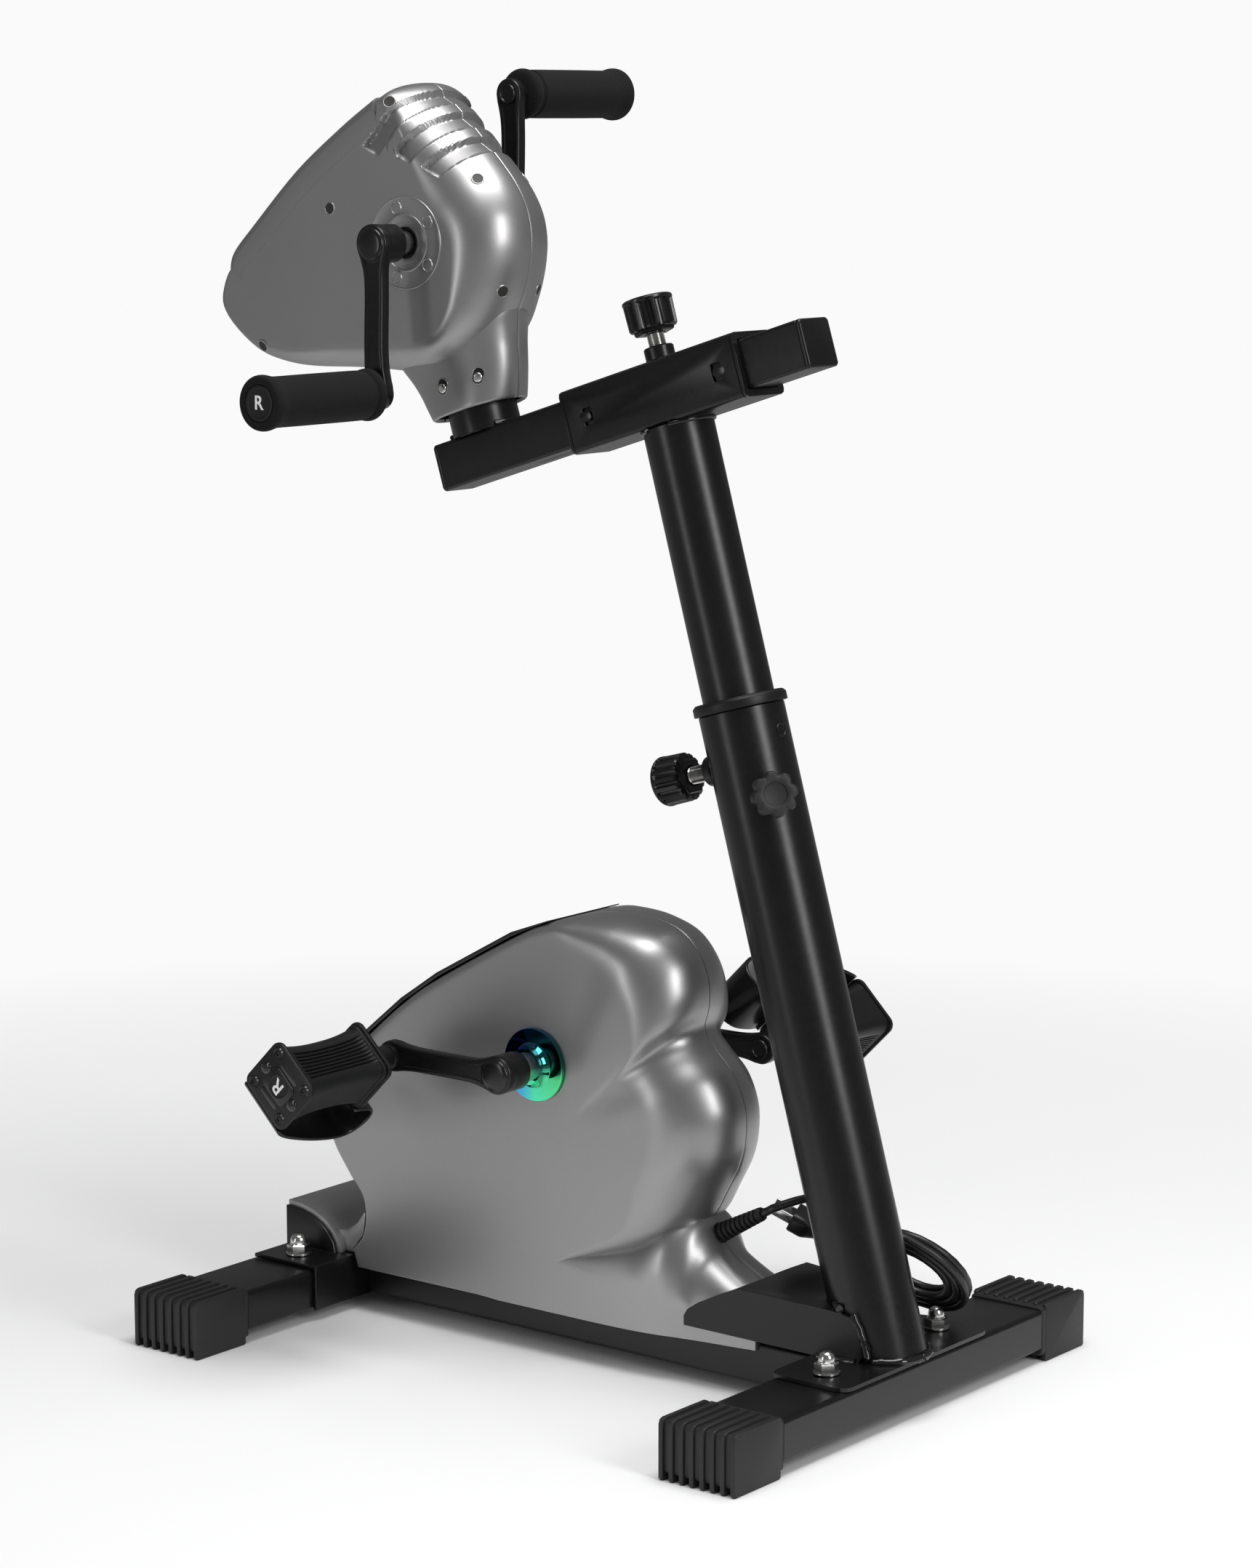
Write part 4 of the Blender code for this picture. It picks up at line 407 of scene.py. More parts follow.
def stand_in(node: str, bm: BMesh, finish: AnyFinish, body: str, *choices: Any) -> Piece:
    """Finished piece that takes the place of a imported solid.

    Args:
        node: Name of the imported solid.
        bm: The shape; it is freed.
        finish: Its finish.
        body: Body that it moves with.
        *choices: The matrix, sharp angle and turning outwards, as make_piece takes them.

    Returns:
        The piece, which replaces the solid.
    """
    piece = make_piece(node + "_dressed", bm, finish, body, *choices)
    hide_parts(node)
    return piece


def join_into(target: BMesh, extra: BMesh, matrix: Optional[Matrix] = None) -> None:
    """Add one bmesh's shape to another, moved by a matrix, and free it."""
    if matrix is not None:
        bmesh.ops.transform(extra, matrix=matrix, verts=extra.verts)
    mesh = bpy.data.meshes.new("joining")
    extra.to_mesh(mesh)
    extra.free()
    target.from_mesh(mesh)
    bpy.data.meshes.remove(mesh)


def lathe(profile: Sequence[Point], segments: int = 48) -> BMesh:
    """Spin a profile of (radius, height) points once round Z.

    Args:
        profile: The points, closed on the axis or on themselves.
        segments: Steps of the full turn.

    Returns:
        The turned shape.
    """
    bm = bmesh.new()
    verts = [bm.verts.new((radius, 0.0, height)) for radius, height in profile]
    edges = [bm.edges.new(pair) for pair in zip(verts, verts[1:])]
    bmesh.ops.spin(bm, geom=verts + edges, cent=(0, 0, 0), axis=(0, 0, 1), angle=2 * pi,
                   steps=segments, use_merge=True)
    bmesh.ops.remove_doubles(bm, verts=bm.verts, dist=1e-7)
    return bm


def rounded(profile: Sequence[Point], radius: float, steps: int = 3) -> List[Point]:
    """Round a profile's inner corners, as an arc would.

    Args:
        profile: Points of (radius, height).
        radius: Size of the rounding.
        steps: Pieces of each arc.

    Returns:
        The profile with its corners replaced by short curves.
    """
    spots = [Vector(p) for p in profile]
    out: List[Point] = [tuple(spots[0])]
    for before, spot, after in zip(spots, spots[1:], spots[2:]):
        start, end = before - spot, after - spot
        reach = min(radius, start.length * 0.45, end.length * 0.45)
        a, c = spot + start.normalized() * reach, spot + end.normalized() * reach
        for k in range(steps + 1):
            t = k / steps
            out.append(tuple(a * (1 - t) ** 2 + spot * 2 * t * (1 - t) + c * t ** 2))
    out.append(tuple(spots[-1]))
    return out


def mapped_grid(place: Callable[[int, int], Vector], across: int, along: int) -> BMesh:
    """Grid whose every point is moved to a place worked out from its row and column.

    Args:
        place: Gives the point of (column, row).
        across: Columns of faces.
        along: Rows of faces.

    Returns:
        The grid in its new shape.
    """
    bm = bmesh.new()
    bmesh.ops.create_grid(bm, x_segments=across, y_segments=along, size=0.5)
    for vert in bm.verts:
        column = round((vert.co.x + 0.5) * across)
        row = round((vert.co.y + 0.5) * along)
        vert.co = place(column, row)
    return bm


def loft(rings: Sequence[Sequence[Vector]]) -> BMesh:
    """Skin over closed rings of equal count; the first and last are closed with a face unless they meet.

    Args:
        rings: The rings, each a list of points.

    Returns:
        The skinned shape.
    """
    count = len(rings[0])
    bm = mapped_grid(lambda column, row: Vector(rings[row][column % count]), count, len(rings) - 1)
    bmesh.ops.remove_doubles(bm, verts=bm.verts, dist=1e-7)
    bmesh.ops.holes_fill(bm, edges=[edge for edge in bm.edges if edge.is_boundary], sides=0)
    return bm


def prism(outline: Sequence[Point], low: float, high: float, bevel: float = 0.0, segments: int = 2) -> BMesh:
    """Straight extrusion of a flat outline between two heights, with its rims bevelled.

    Args:
        outline: Points in X and Y.
        low: Height of its foot.
        high: Height of its top.
        bevel: Width of the bevel round both rims.
        segments: Faces across the bevel.

    Returns:
        The prism.
    """
    bm = bmesh.new()
    face = bm.faces.new([bm.verts.new((x, y, low)) for x, y in outline])
    made = bmesh.ops.extrude_face_region(bm, geom=[face])["geom"]
    top = [item for item in made if isinstance(item, bmesh.types.BMVert)]
    bmesh.ops.translate(bm, vec=(0, 0, high - low), verts=top)
    bmesh.ops.recalc_face_normals(bm, faces=bm.faces)
    if bevel:
        rims = [edge for edge in bm.edges if abs(edge.verts[0].co.z - edge.verts[1].co.z) < 1e-7]
        bmesh.ops.bevel(bm, geom=rims, offset=bevel, segments=segments, profile=0.5, affect="EDGES", material=-1)
    return bm


def fluted(steps: Table, count: int, reach: Callable[[Row, int], float]) -> BMesh:
    """Skin over level rings round Z whose radius changes on the way round.

    Args:
        steps: One row for each ring, with its height second.
        count: Points of each ring.
        reach: Gives the radius at a row and a point's number.

    Returns:
        The skin.
    """
    rings = []
    for step in steps:
        polar = [(reach(step, k), 2 * pi * k / count) for k in range(count)]
        rings.append([Vector((spot * cos(angle), spot * sin(angle), step[1])) for spot, angle in polar])
    return loft(rings)


def rounded_rectangle(width: float, height: float, radius: float, steps: int = 5) -> List[Point]:
    """Points of a rectangle with round corners, anticlockwise."""
    points = []
    for x, y, start in ((1, 1, 0), (-1, 1, 90), (-1, -1, 180), (1, -1, 270)):
        for k in range(steps + 1):
            angle = radians(start + 90 * k / steps)
            points.append((x * (width / 2 - radius) + radius * cos(angle),
                           y * (height / 2 - radius) + radius * sin(angle)))
    return points


def tube_along(path: Sequence[Vector], radius: float, sides: int = 8) -> BMesh:
    """Round tube along a path, closed at both ends.

    Args:
        path: Points of its middle line.
        radius: The tube's radius.
        sides: Sides of its section.

    Returns:
        The tube.
    """
    rings = []
    normal = Vector((0.3, 0.2, 1.0))
    for i, spot in enumerate(path):
        ahead = (path[min(i + 1, len(path) - 1)] - path[max(i - 1, 0)]).normalized()
        normal = (normal - ahead * normal.dot(ahead)).normalized()
        other = ahead.cross(normal)
        rings.append([spot + normal * radius * cos(2 * pi * k / sides) + other * radius * sin(2 * pi * k / sides)
                      for k in range(sides)])
    return loft(rings)


def spline(points: Sequence[Sequence[float]], steps: int) -> List[List[float]]:
    """Smooth curve through points of any size.

    Args:
        points: The points that it goes through.
        steps: Pieces between each two.

    Returns:
        The curve's points.
    """
    last = len(points) - 1
    curve = []
    for i in range(last):
        a, b, c, d = (points[min(max(i + k - 1, 0), last)] for k in range(4))
        for step in range(steps):
            t = step / steps
            curve.append([0.5 * (2 * q + (r - p) * t + (2 * p - 5 * q + 4 * r - s) * t * t
                                 + (3 * q - p - 3 * r + s) * t ** 3) for p, q, r, s in zip(a, b, c, d)])
    return curve + [list(points[-1])]


def refine(node: str, finish: AnyFinish, body: str, width: float = 0.0008, angle: float = 35.0,
           segments: int = 2) -> None:
    """Stand-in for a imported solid: its own shape, merged, with small rounded edges.

    Args:
        node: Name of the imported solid.
        finish: The new piece's finish.
        body: Body that it moves with.
        width: Width of the rounding.
        angle: Angle in degrees over which an edge is rounded.
        segments: Faces across each rounding.
    """
    bm = bmesh.new()
    bm.from_mesh(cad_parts[node].data)
    bmesh.ops.remove_doubles(bm, verts=bm.verts, dist=1e-6)
    bmesh.ops.dissolve_limit(bm, angle_limit=radians(1.0), verts=bm.verts, edges=bm.edges)
    edges = [edge for edge in bm.edges if len(edge.link_faces) == 2 and edge.calc_face_angle() > radians(angle)]
    bmesh.ops.bevel(bm, geom=edges, offset=width, segments=segments, profile=0.5, affect="EDGES",
                    material=-1, clamp_overlap=True)
    stand_in(node, bm, finish, body, None, 20.0, False)


def dress(finish: AnyFinish, *nodes: str) -> None:
    """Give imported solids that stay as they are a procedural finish."""
    for node in nodes:
        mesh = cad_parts[node].data
        mesh.materials.clear()
        mesh.materials.append(finish.material())
        LOG.info("dressed solid %s with %s", node, finish.name)


def side_mark(side: Side, size: float, depth: float, level: float) -> BMesh:
    """Raised first letter of a side in the program's own plain type, turned to be read from outside.

    Args:
        side: Which side.
        size: Height of its type.
        depth: How far it stands up.
        level: Height of the face that it stands on.

    Returns:
        The letter's shape, centred on Z.
    """
    curve = bpy.data.curves.new("side_mark", "FONT")
    curve.body = side.name[0]
    curve.size = size
    curve.align_x = curve.align_y = "CENTER"
    curve.extrude = depth
    curve.offset = size * 0.012
    obj = new_object("side_mark", curve)
    bpy.context.view_layer.update()
    mesh = bpy.data.meshes.new_from_object(obj.evaluated_get(bpy.context.evaluated_depsgraph_get()))
    mesh.transform(Matrix(((0, 1, 0, 0), (-1, 0, 0, 0), (0, 0, 1, level), (0, 0, 0, 1))))
    bm = bmesh.new()
    bm.from_mesh(mesh)
    bpy.data.objects.remove(obj)
    bpy.data.curves.remove(curve)
    bpy.data.meshes.remove(mesh)
    return bm


# Studio
@dataclass
class Studio:
    """Camera, floor, backdrop and lamps."""
    eye: Place = (2.22297, 1.78574, 0.87685)
    yaw: float = radians(128.077)
    pitch: float = radians(9.35)
    focal_pixels: float = 5600.221
    film_pixels: float = 2156.0
    white: Row = (0.955, 0.955, 0.955, 1.0)
    room: Row = (0.33, 0.33, 0.335, 1.0)
    room_dimming: float = -0.55
    floor_gloss: float = 0.32
    floor_half: float = 14.0
    fade_from: float = 0.55
    fade_to: float = 1.4

    def place_camera(self) -> None:
        """Set up the camera at the photograph's viewing angle."""
        back = Vector((sin(self.yaw) * cos(self.pitch), -cos(self.yaw) * cos(self.pitch), sin(self.pitch)))
        right = Vector((cos(self.yaw), sin(self.yaw), 0.0))
        data = bpy.data.cameras.new("viewpoint")
        data.sensor_width = 36.0
        data.sensor_fit = "AUTO"
        data.lens = self.focal_pixels / self.film_pixels * data.sensor_width
        data.clip_start, data.clip_end = 0.05, 60.0
        camera = new_object("viewpoint", data)
        matrix = Matrix((right, back.cross(right), back)).transposed().to_4x4()
        matrix.translation = Vector(self.eye)
        camera.matrix_world = matrix
        bpy.context.scene.camera = camera

    def seen_share(self, work: NodeWork, glossy: float) -> Socket:
        """Share of the white backdrop that a ray sees.

        Args:
            work: The tree that gets the nodes.
            glossy: How much of it reflections see.

        Returns:
            Socket that is 1 for the camera and for glass, and less in reflections.
        """
        rays = work.nodes.new("ShaderNodeLightPath").outputs
        share = work.math("MULTIPLY", rays["Is Glossy Ray"], glossy)
        for name in ("Is Transmission Ray", "Is Camera Ray"):
            share = work.math("MAXIMUM", share, rays[name])
        return share

    def make_world(self) -> None:
        """White room for the camera, softer and darker in light and reflections."""
        world = bpy.data.worlds.new("white_room")
        world.use_nodes = True
        work = NodeWork(world.node_tree)
        work.nodes.clear()
        dim = work.math("MULTIPLY_ADD", work.add("LightPath", "Is Glossy Ray", {}), self.room_dimming, 1.0)
        room = work.add("Background", "Background", {"Color": self.room, "Strength": dim})
        white = work.add("Background", "Background", {"Color": self.white})
        seen = work.add("MixShader", "Shader", {"Fac": self.seen_share(work, 0.0), 1: room, 2: white})
        work.links.new(seen, work.nodes.new("ShaderNodeOutputWorld").inputs["Surface"])
        bpy.context.scene.world = world

    def make_floor(self) -> None:
        """Pale floor that takes the object's shadow and fades into the white room."""
        mesh = bpy.data.meshes.new("floor")
        bm = bmesh.new()
        bmesh.ops.create_grid(bm, x_segments=8, y_segments=8, size=self.floor_half)
        bm.to_mesh(mesh)
        bm.free()
        work = Shader("floor_paper")
        work.constant(Roughness=0.9, Specular_IOR_Level=0.1)
        work.feed(work.blend(work.noise(3.0), (0.9, 0.9, 0.9), (0.92, 0.92, 0.92)), "Base Color")
        reach = work.add("VectorMath", "Value", {0: work.coords}, operation="LENGTH")
        fade = work.math("MULTIPLY", work.spread(reach, self.fade_from, self.fade_to, 0.0, 1.0),
                         self.seen_share(work, 1.0))
        light = work.add("Emission", "Emission", {"Color": self.white,
                                                  "Strength": self.seen_share(work, self.floor_gloss)})
        mix = work.add("MixShader", "Shader", {"Fac": fade, 1: work.shader.outputs["BSDF"], 2: light})
        work.links.new(mix, work.nodes["Material Output"].inputs["Surface"])
        mesh.materials.append(work.material)
        new_object("floor", mesh)

    def hang_lamp(self, name: str, spot: Place, aim: Place, size: Point, watts: float) -> None:
        """Hang one softbox.

        Args:
            name: The lamp's name.
            spot: Where it hangs.
            aim: What it points at.
            size: Its width and height.
            watts: Its power.
        """
        data = bpy.data.lights.new(name, "AREA")
        data.shape = "RECTANGLE"
        data.size, data.size_y = size
        data.energy = watts
        lamp = new_object(name, data)
        lamp.visible_camera = False
        way = Vector(spot) - Vector(aim)
        lamp.matrix_world = place_on(Vector(spot), way, Vector((-way.y, way.x, 0.0)))

    def build(self) -> None:
        """Set the whole stage."""
        self.place_camera()
        self.make_world()
        self.make_floor()
        self.hang_lamp("overhead_box", (0.1, 0.45, 2.6), (0.0, 0.1, 0.5), (1.6, 1.2), 46.0)
        self.hang_lamp("right_box", (0.45, 2.6, 1.45), (0.0, 0.0, 0.5), (0.7, 1.6), 31.0)
        self.hang_lamp("left_box", (2.77, -0.85, 0.7), (0.0, 0.0, 0.5), (0.5, 1.4), 9.0)
        bpy.context.scene.view_settings.view_transform = "Standard"


# Mains lead
@dataclass
class MainsLead:
    """Lead from the lower housing, wound in a small coil behind the column, with its plug.

    The plug's sections are (width, height, level).
    """
    radius: float = 0.003
    pitch: float = 0.0066
    coil_radius: float = 0.042
    turns: float = 2.5556
    centre: Vector = Vector((-0.0655, 0.249, 0.0815))
    tilt: float = radians(40.0)
    start: float = radians(60.0)
    per_turn: int = 24
    dip: float = 0.0012
    tail: float = 0.03
    tail_turn: float = radians(25.0)
    tail_steps: int = 5
    route: Table = ((-0.014, 0.191, 0.133), (-0.032, 0.214, 0.1365), (-0.038, 0.237, 0.13))
    relief_length: float = 0.049
    relief_start: Vector = Vector((0.0, 0.1225, 0.0975))
    relief_rise: float = radians(29.0)
    ribs: int = 9
    plug_sections: Table = (
        (0.006, 0.006, 0.0003), (0.0066, 0.0066, 0.0008), (0.0066, 0.0066, 0.003), (0.0058, 0.0058, 0.0034),
        (0.0058, 0.0058, 0.0044), (0.0078, 0.0076, 0.0048), (0.008, 0.0078, 0.0074), (0.0064, 0.0064, 0.0078),
        (0.0064, 0.0064, 0.0088), (0.0092, 0.0086, 0.0094), (0.012, 0.0106, 0.013), (0.019, 0.0134, 0.019),
        (0.023, 0.0146, 0.022), (0.024, 0.015, 0.024), (0.024, 0.015, 0.0328), (0.0228, 0.0138, 0.034))

    @property
    def relief_way(self) -> Vector:
        """Direction in which the strain relief points."""
        return Vector((0.0, cos(self.relief_rise), sin(self.relief_rise)))

    def coil_path(self) -> List[Vector]:
        """Middle line of the coil, with the short run that leaves it for the plug.

        Returns:
            The line's points, from the lead's side to the plug.
        """
        up = Vector((sin(self.tilt), 0.0, cos(self.tilt)))
        through = Vector((cos(self.tilt), 0.0, -sin(self.tilt)))
        layer = self.pitch / 2
        last = self.coil_radius - self.pitch * self.turns
        total = 2 * self.turns + 0.5
        points = []
        steps = round(total * self.per_turn)
        for step in range(steps + 1):
            turn = total * step / steps
            angle = self.start - 2 * pi * turn
            if turn <= self.turns:
                radius, depth = self.coil_radius - self.pitch * turn, layer
            elif turn >= self.turns + 0.5:
                radius, depth = last + self.pitch * (turn - self.turns - 0.5), -layer
            else:
                share = 2 * (turn - self.turns)
                radius = last - self.dip * sin(pi * share)
                depth = layer * cos(pi * share)
            points.append(self.centre + Y_AXIS * radius * cos(angle) + up * radius * sin(angle) + through * depth)
        points.insert(0, points[0] + (points[0] - points[1]).normalized() * 2 * self.radius)
        spot = points[-1]
        heading = (points[-1] - points[-2]).normalized()
        for _ in range(self.tail_steps):
            turn = Matrix.Rotation(self.tail_turn / self.tail_steps, 3, through)
            heading = (turn @ heading).normalized()
            spot = spot + heading * self.tail / self.tail_steps
            points.append(spot)
        points.append(spot + heading * 2 * self.radius)
        return points

    def run_path(self, coil: Sequence[Vector]) -> List[Vector]:
        """Middle line from the strain relief to the coil.

        Args:
            coil: The coil's own points.

        Returns:
            The run's points.
        """
        out = self.relief_way
        start = self.relief_start + out * (self.relief_length + GAP)
        into = (coil[1] - coil[0]).normalized()
        end = coil[0] - into * GAP
        straight = 2 * self.radius
        route = [start, start + out * straight, start + out * 2 * straight, *(Vector(spot) for spot in self.route),
                 end - into * 2 * straight, end - into * straight]
        return [Vector(spot) for spot in spline(route + [end], 4)]

    def build(self) -> None:
        coil = self.coil_path()
        path = self.run_path(coil)[:-1] + coil
        curve = bpy.data.curves.new("mains_lead", "CURVE")
        curve.dimensions = "3D"
        curve.bevel_depth = self.radius
        curve.bevel_resolution = 4
        curve.use_fill_caps = True
        line = curve.splines.new("POLY")
        line.points.add(len(path) - 1)
        for spot, point in zip(line.points, path):
            spot.co = (*point, 1.0)
        curve.materials.append(LEAD.material())
        lead = new_object("mains_lead", curve)
        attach(lead, "base")
        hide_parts("cord_run", "cord_coil")
        boot = self.make_boot()
        plug = self.make_plug(path[-1], (path[-1] - path[-2]).normalized())

    def make_boot(self) -> Piece:
        """Ribbed strain relief with its flange inside the housing."""
        end = self.relief_length
        profile = [(0.0, end), (0.0042, end), (0.0048, end - 0.0008)]
        pitch = (end - 0.01) / self.ribs
        for rib in range(self.ribs):
            level = end - 0.0018 - rib * pitch
            radius = 0.005 + 0.002 * (rib + 0.5) / self.ribs
            profile += [(radius - sunk, level - share * pitch) for sunk, share in (
                (0.0004, 0.02), (0.0, 0.12), (0.0, 0.55), (0.0004, 0.65), (0.0016, 0.7), (0.0016, 0.95))]
        profile += [(0.0075, 0.0078), (0.0075, 0.0045), (0.0059, 0.0045), (0.0059, -0.006),
                    (0.008, -0.006), (0.008, -0.0085), (0.0, -0.0085)]
        return stand_in("strain_relief", lathe(profile, 28), RUBBER, "base",
                        place_on(self.relief_start, self.relief_way))

    def make_plug(self, start: Vector, way: Vector) -> Piece:
        """Moulded plug with a ribbed neck and two blades.

        Args:
            start: Where the lead meets it.
            way: Direction in which it points.

        Returns:
            The plug.
        """
        rings = [[Vector((x, y, level)) for x, y in rounded_rectangle(wide, high, 0.32 * high, 4)]
                 for wide, high, level in self.plug_sections]
        place = place_on(start, way)
        plug = stand_in("plug", loft(rings), LEAD, "base", place, 40.0)
        blades = bmesh.new()
        for x in (-0.0063, 0.0063):
            blade = prism(rounded_rectangle(0.0015, 0.0064, 0.0006, 2), 0.0335, 0.05, 0.0003)
            join_into(blades, blade, Matrix.Translation((x, 0, 0)))
        make_piece("plug_blades", blades, ZINC, "base", place, 35.0, parent=plug)
        return plug


# Housings
@dataclass
class Housing:
    """A moulded housing of two halves that meet in the middle of the object.

    Outline points are (y, z, depth of the rounding, half width, squareness) in millimetres.
    """
    name: str
    body: str
    outline: Table
    centre: Point
    side_width: float
    flats: Tuple[Point, ...]
    hole: float
    spacing: float
    round_rows: int
    side_reaches: Row
    fine_zone: Tuple[float, float] = (0.0, 0.0)
    fine_spacing: float = 1.0
    corner: float = 50.0
    lip: float = 0.0025
    groove: float = 0.35
    groove_reach: float = 0.5
    finish: AnyFinish = SILVER

    def runs(self) -> List[List[Row]]:
        """The outline split at its corners."""
        spots = list(self.outline)
        count = len(spots)
        corners = []
        for i in range(count):
            before = Vector(spots[i][:2]) - Vector(spots[i - 1][:2])
            after = Vector(spots[(i + 1) % count][:2]) - Vector(spots[i][:2])
            if degrees(before.angle(after)) > self.corner:
                corners.append(i)
        corners = corners or [0]
        runs = []
        for start, end in zip(corners, corners[1:] + [corners[0] + count]):
            runs.append([spots[k % count] for k in range(start, end + 1)])
        return runs

    def columns(self) -> List[Row]:
        """Close points of the smoothed outline, closer in the fine zone.

        Returns:
            Outline points without the repeated first one.
        """
        out: List[Row] = []
        for run in self.runs():
            dense = spline(run, 40)
            travelled = 0.0
            out.append(tuple(dense[0]))
            for a, b in zip(dense, dense[1:]):
                travelled += hypot(b[0] - a[0], b[1] - a[1])
                angle = degrees(atan2(b[1] - self.centre[1], b[0] - self.centre[0]))
                low, high = self.fine_zone
                wanted = self.fine_spacing if low < angle < high else self.spacing
                if travelled >= wanted:
                    out.append(tuple(b))
                    travelled = 0.0
            if travelled < 0.4 * self.fine_spacing:
                out.pop()
        return out

    def rows(self) -> List[Tuple[str, float]]:
        """Rows from the seam to the middle of the side face."""
        seam = [("seam", share * self.groove_reach) for share in (0.0, 0.45, 1.0)]
        rounding = [("round", 3.0 + 87.0 * k / self.round_rows) for k in range(self.round_rows + 1)]
        return seam + rounding + [("side", reach) for reach in self.side_reaches]

    def relief(self, x: float, y: float, z: float) -> float:
        """How far the skin lies below its plain form, in millimetres."""
        return 0.0

    def skin_point(self, spot: Row, row: Tuple[str, float], side: Side) -> Vector:
        """One point of the skin.

        Args:
            spot: Outline point.
            row: Kind of row and its value.
            side: Which half.

        Returns:
            The point in metres.
        """
        y, z, depth, width, square = spot
        kind, value = row
        power = 2.0 / square
        dy, dz = self.centre[0] - y, self.centre[1] - z
        far = hypot(dy, dz)
        phi = radians(value) if kind == "round" else pi / 2
        if kind == "seam":
            across, inset = value, self.groove * (1.0 - value / self.groove_reach) ** 2
            phi = 0.0
        elif kind == "round":
            across = max(width * sin(phi) ** power, self.groove_reach * 1.2)
            inset = depth * (1.0 - max(cos(phi), 0.0) ** power)
        else:
            inset = depth + value * (far - depth - self.hole)
            across = width + (self.side_width - width) * self.side_share(value)
        nominal = Vector((across, y + dy / far * inset, z + dz / far * inset))
        sunk = self.relief(*nominal)
        if sunk:
            out = Vector((sin(phi), -dy / far * cos(phi), -dz / far * cos(phi)))
            nominal -= out * sunk
        return Vector((side.value * (nominal.x * MM + GAP / 2), nominal.y * MM, nominal.z * MM))

    def side_share(self, reach: float) -> float:
        """Share of the way from the rounding's width to the side face's width."""
        last_reach, last_share = 0.0, 0.0
        for next_reach, next_share in self.flats:
            if reach <= next_reach:
                local = (reach - last_reach) / (next_reach - last_reach)
                return last_share + (next_share - last_share) * smooth_step(local)
            last_reach, last_share = next_reach, next_share
        return 1.0

    def add_forms(self, bm: BMesh, side: Side) -> None:
        """Add the forms that grow out of one half's skin."""

    def join_form(self, bm: BMesh, side: Side, place: Callable[[int, int], Vector], across: int, along: int) -> None:
        """Add a mapped grid to one half, with its faces outwards.

        Args:
            bm: The half's skin.
            side: Which half.
            place: Gives the point of (column, row).
            across: Columns of faces.
            along: Rows of faces.
        """
        form = mapped_grid(place, across, along)
        bmesh.ops.remove_doubles(form, verts=form.verts, dist=2e-5)
        bmesh.ops.recalc_face_normals(form, faces=form.faces)
        if sum(face.normal.x * face.calc_area() for face in form.faces) * side.value < 0:
            bmesh.ops.reverse_faces(form, faces=form.faces)
        join_into(bm, form)

    def make_half(self, side: Side) -> None:
        """Build one half with its returned lips.

        Args:
            side: Which half.
        """
        columns, rows = self.columns(), self.rows()
        count = len(columns)
        bm = bmesh.new()
        self.join_form(bm, side, lambda c, r: self.skin_point(columns[c % count], rows[r], side), count, len(rows) - 1)
        self.add_forms(bm, side)
        bm.normal_update()
        edges = [edge for edge in bm.edges if edge.is_boundary]
        normals = {vert: vert.normal.copy() for edge in edges for vert in edge.verts}
        inward = {tuple(vert.co): normal * self.lip for vert, normal in normals.items()}
        made = bmesh.ops.extrude_edge_only(bm, edges=edges)["geom"]
        for vert in [item for item in made if isinstance(item, bmesh.types.BMVert)]:
            vert.co = vert.co - inward[tuple(vert.co)]
            vert.co.x = side.value * max(abs(vert.co.x), GAP / 2)
        stand_in(f"{self.name}_{side.word}", bm, self.finish, self.body, None, 28.0, False)

    def build(self) -> None:
        """Make both halves."""
        for side in Side:
            self.make_half(side)


UPPER_OUTLINE = (
    (-146, 890, 8, 44, 3.2), (-138.5, 897.5, 18, 44, 2.5), (-127, 897, 32, 44, 2.1), (-115, 888, 40, 44, 2),
    (-102, 877, 42, 44, 2), (-84, 860, 42, 44, 2), (-67, 843.5, 42, 44, 2), (-53, 827.5, 41, 44, 2),
    (-43.5, 810, 40, 44, 2), (-40, 792, 38, 44, 2), (-41, 775, 36, 44, 2), (-45, 758, 34, 44, 2),
    (-52, 741, 31, 44, 2), (-62, 723, 28, 44, 2), (-78, 706.5, 25, 44, 2), (-100, 696, 24, 44, 2),
    (-125, 693.5, 24, 44, 2), (-150, 694, 25, 44, 2.1), (-175, 695, 25, 44, 2.2), (-200, 695, 26, 44, 2.2),
    (-235, 694.5, 26, 44, 2.2), (-256, 697, 26, 44, 2.3), (-274, 703, 24, 44, 2.4),
    (-290, 715.5, 20, 44, 2.6), (-301, 731, 14, 44, 3), (-302.5, 744, 10, 44, 3.2), (-293, 763, 7, 44, 4),
    (-279.5, 768.5, 5, 44, 5), (-259, 786.5, 5, 44, 6), (-215, 825.5, 5, 44, 6), (-174, 855, 5, 44, 6),
    (-149, 871.5, 5, 44, 6))
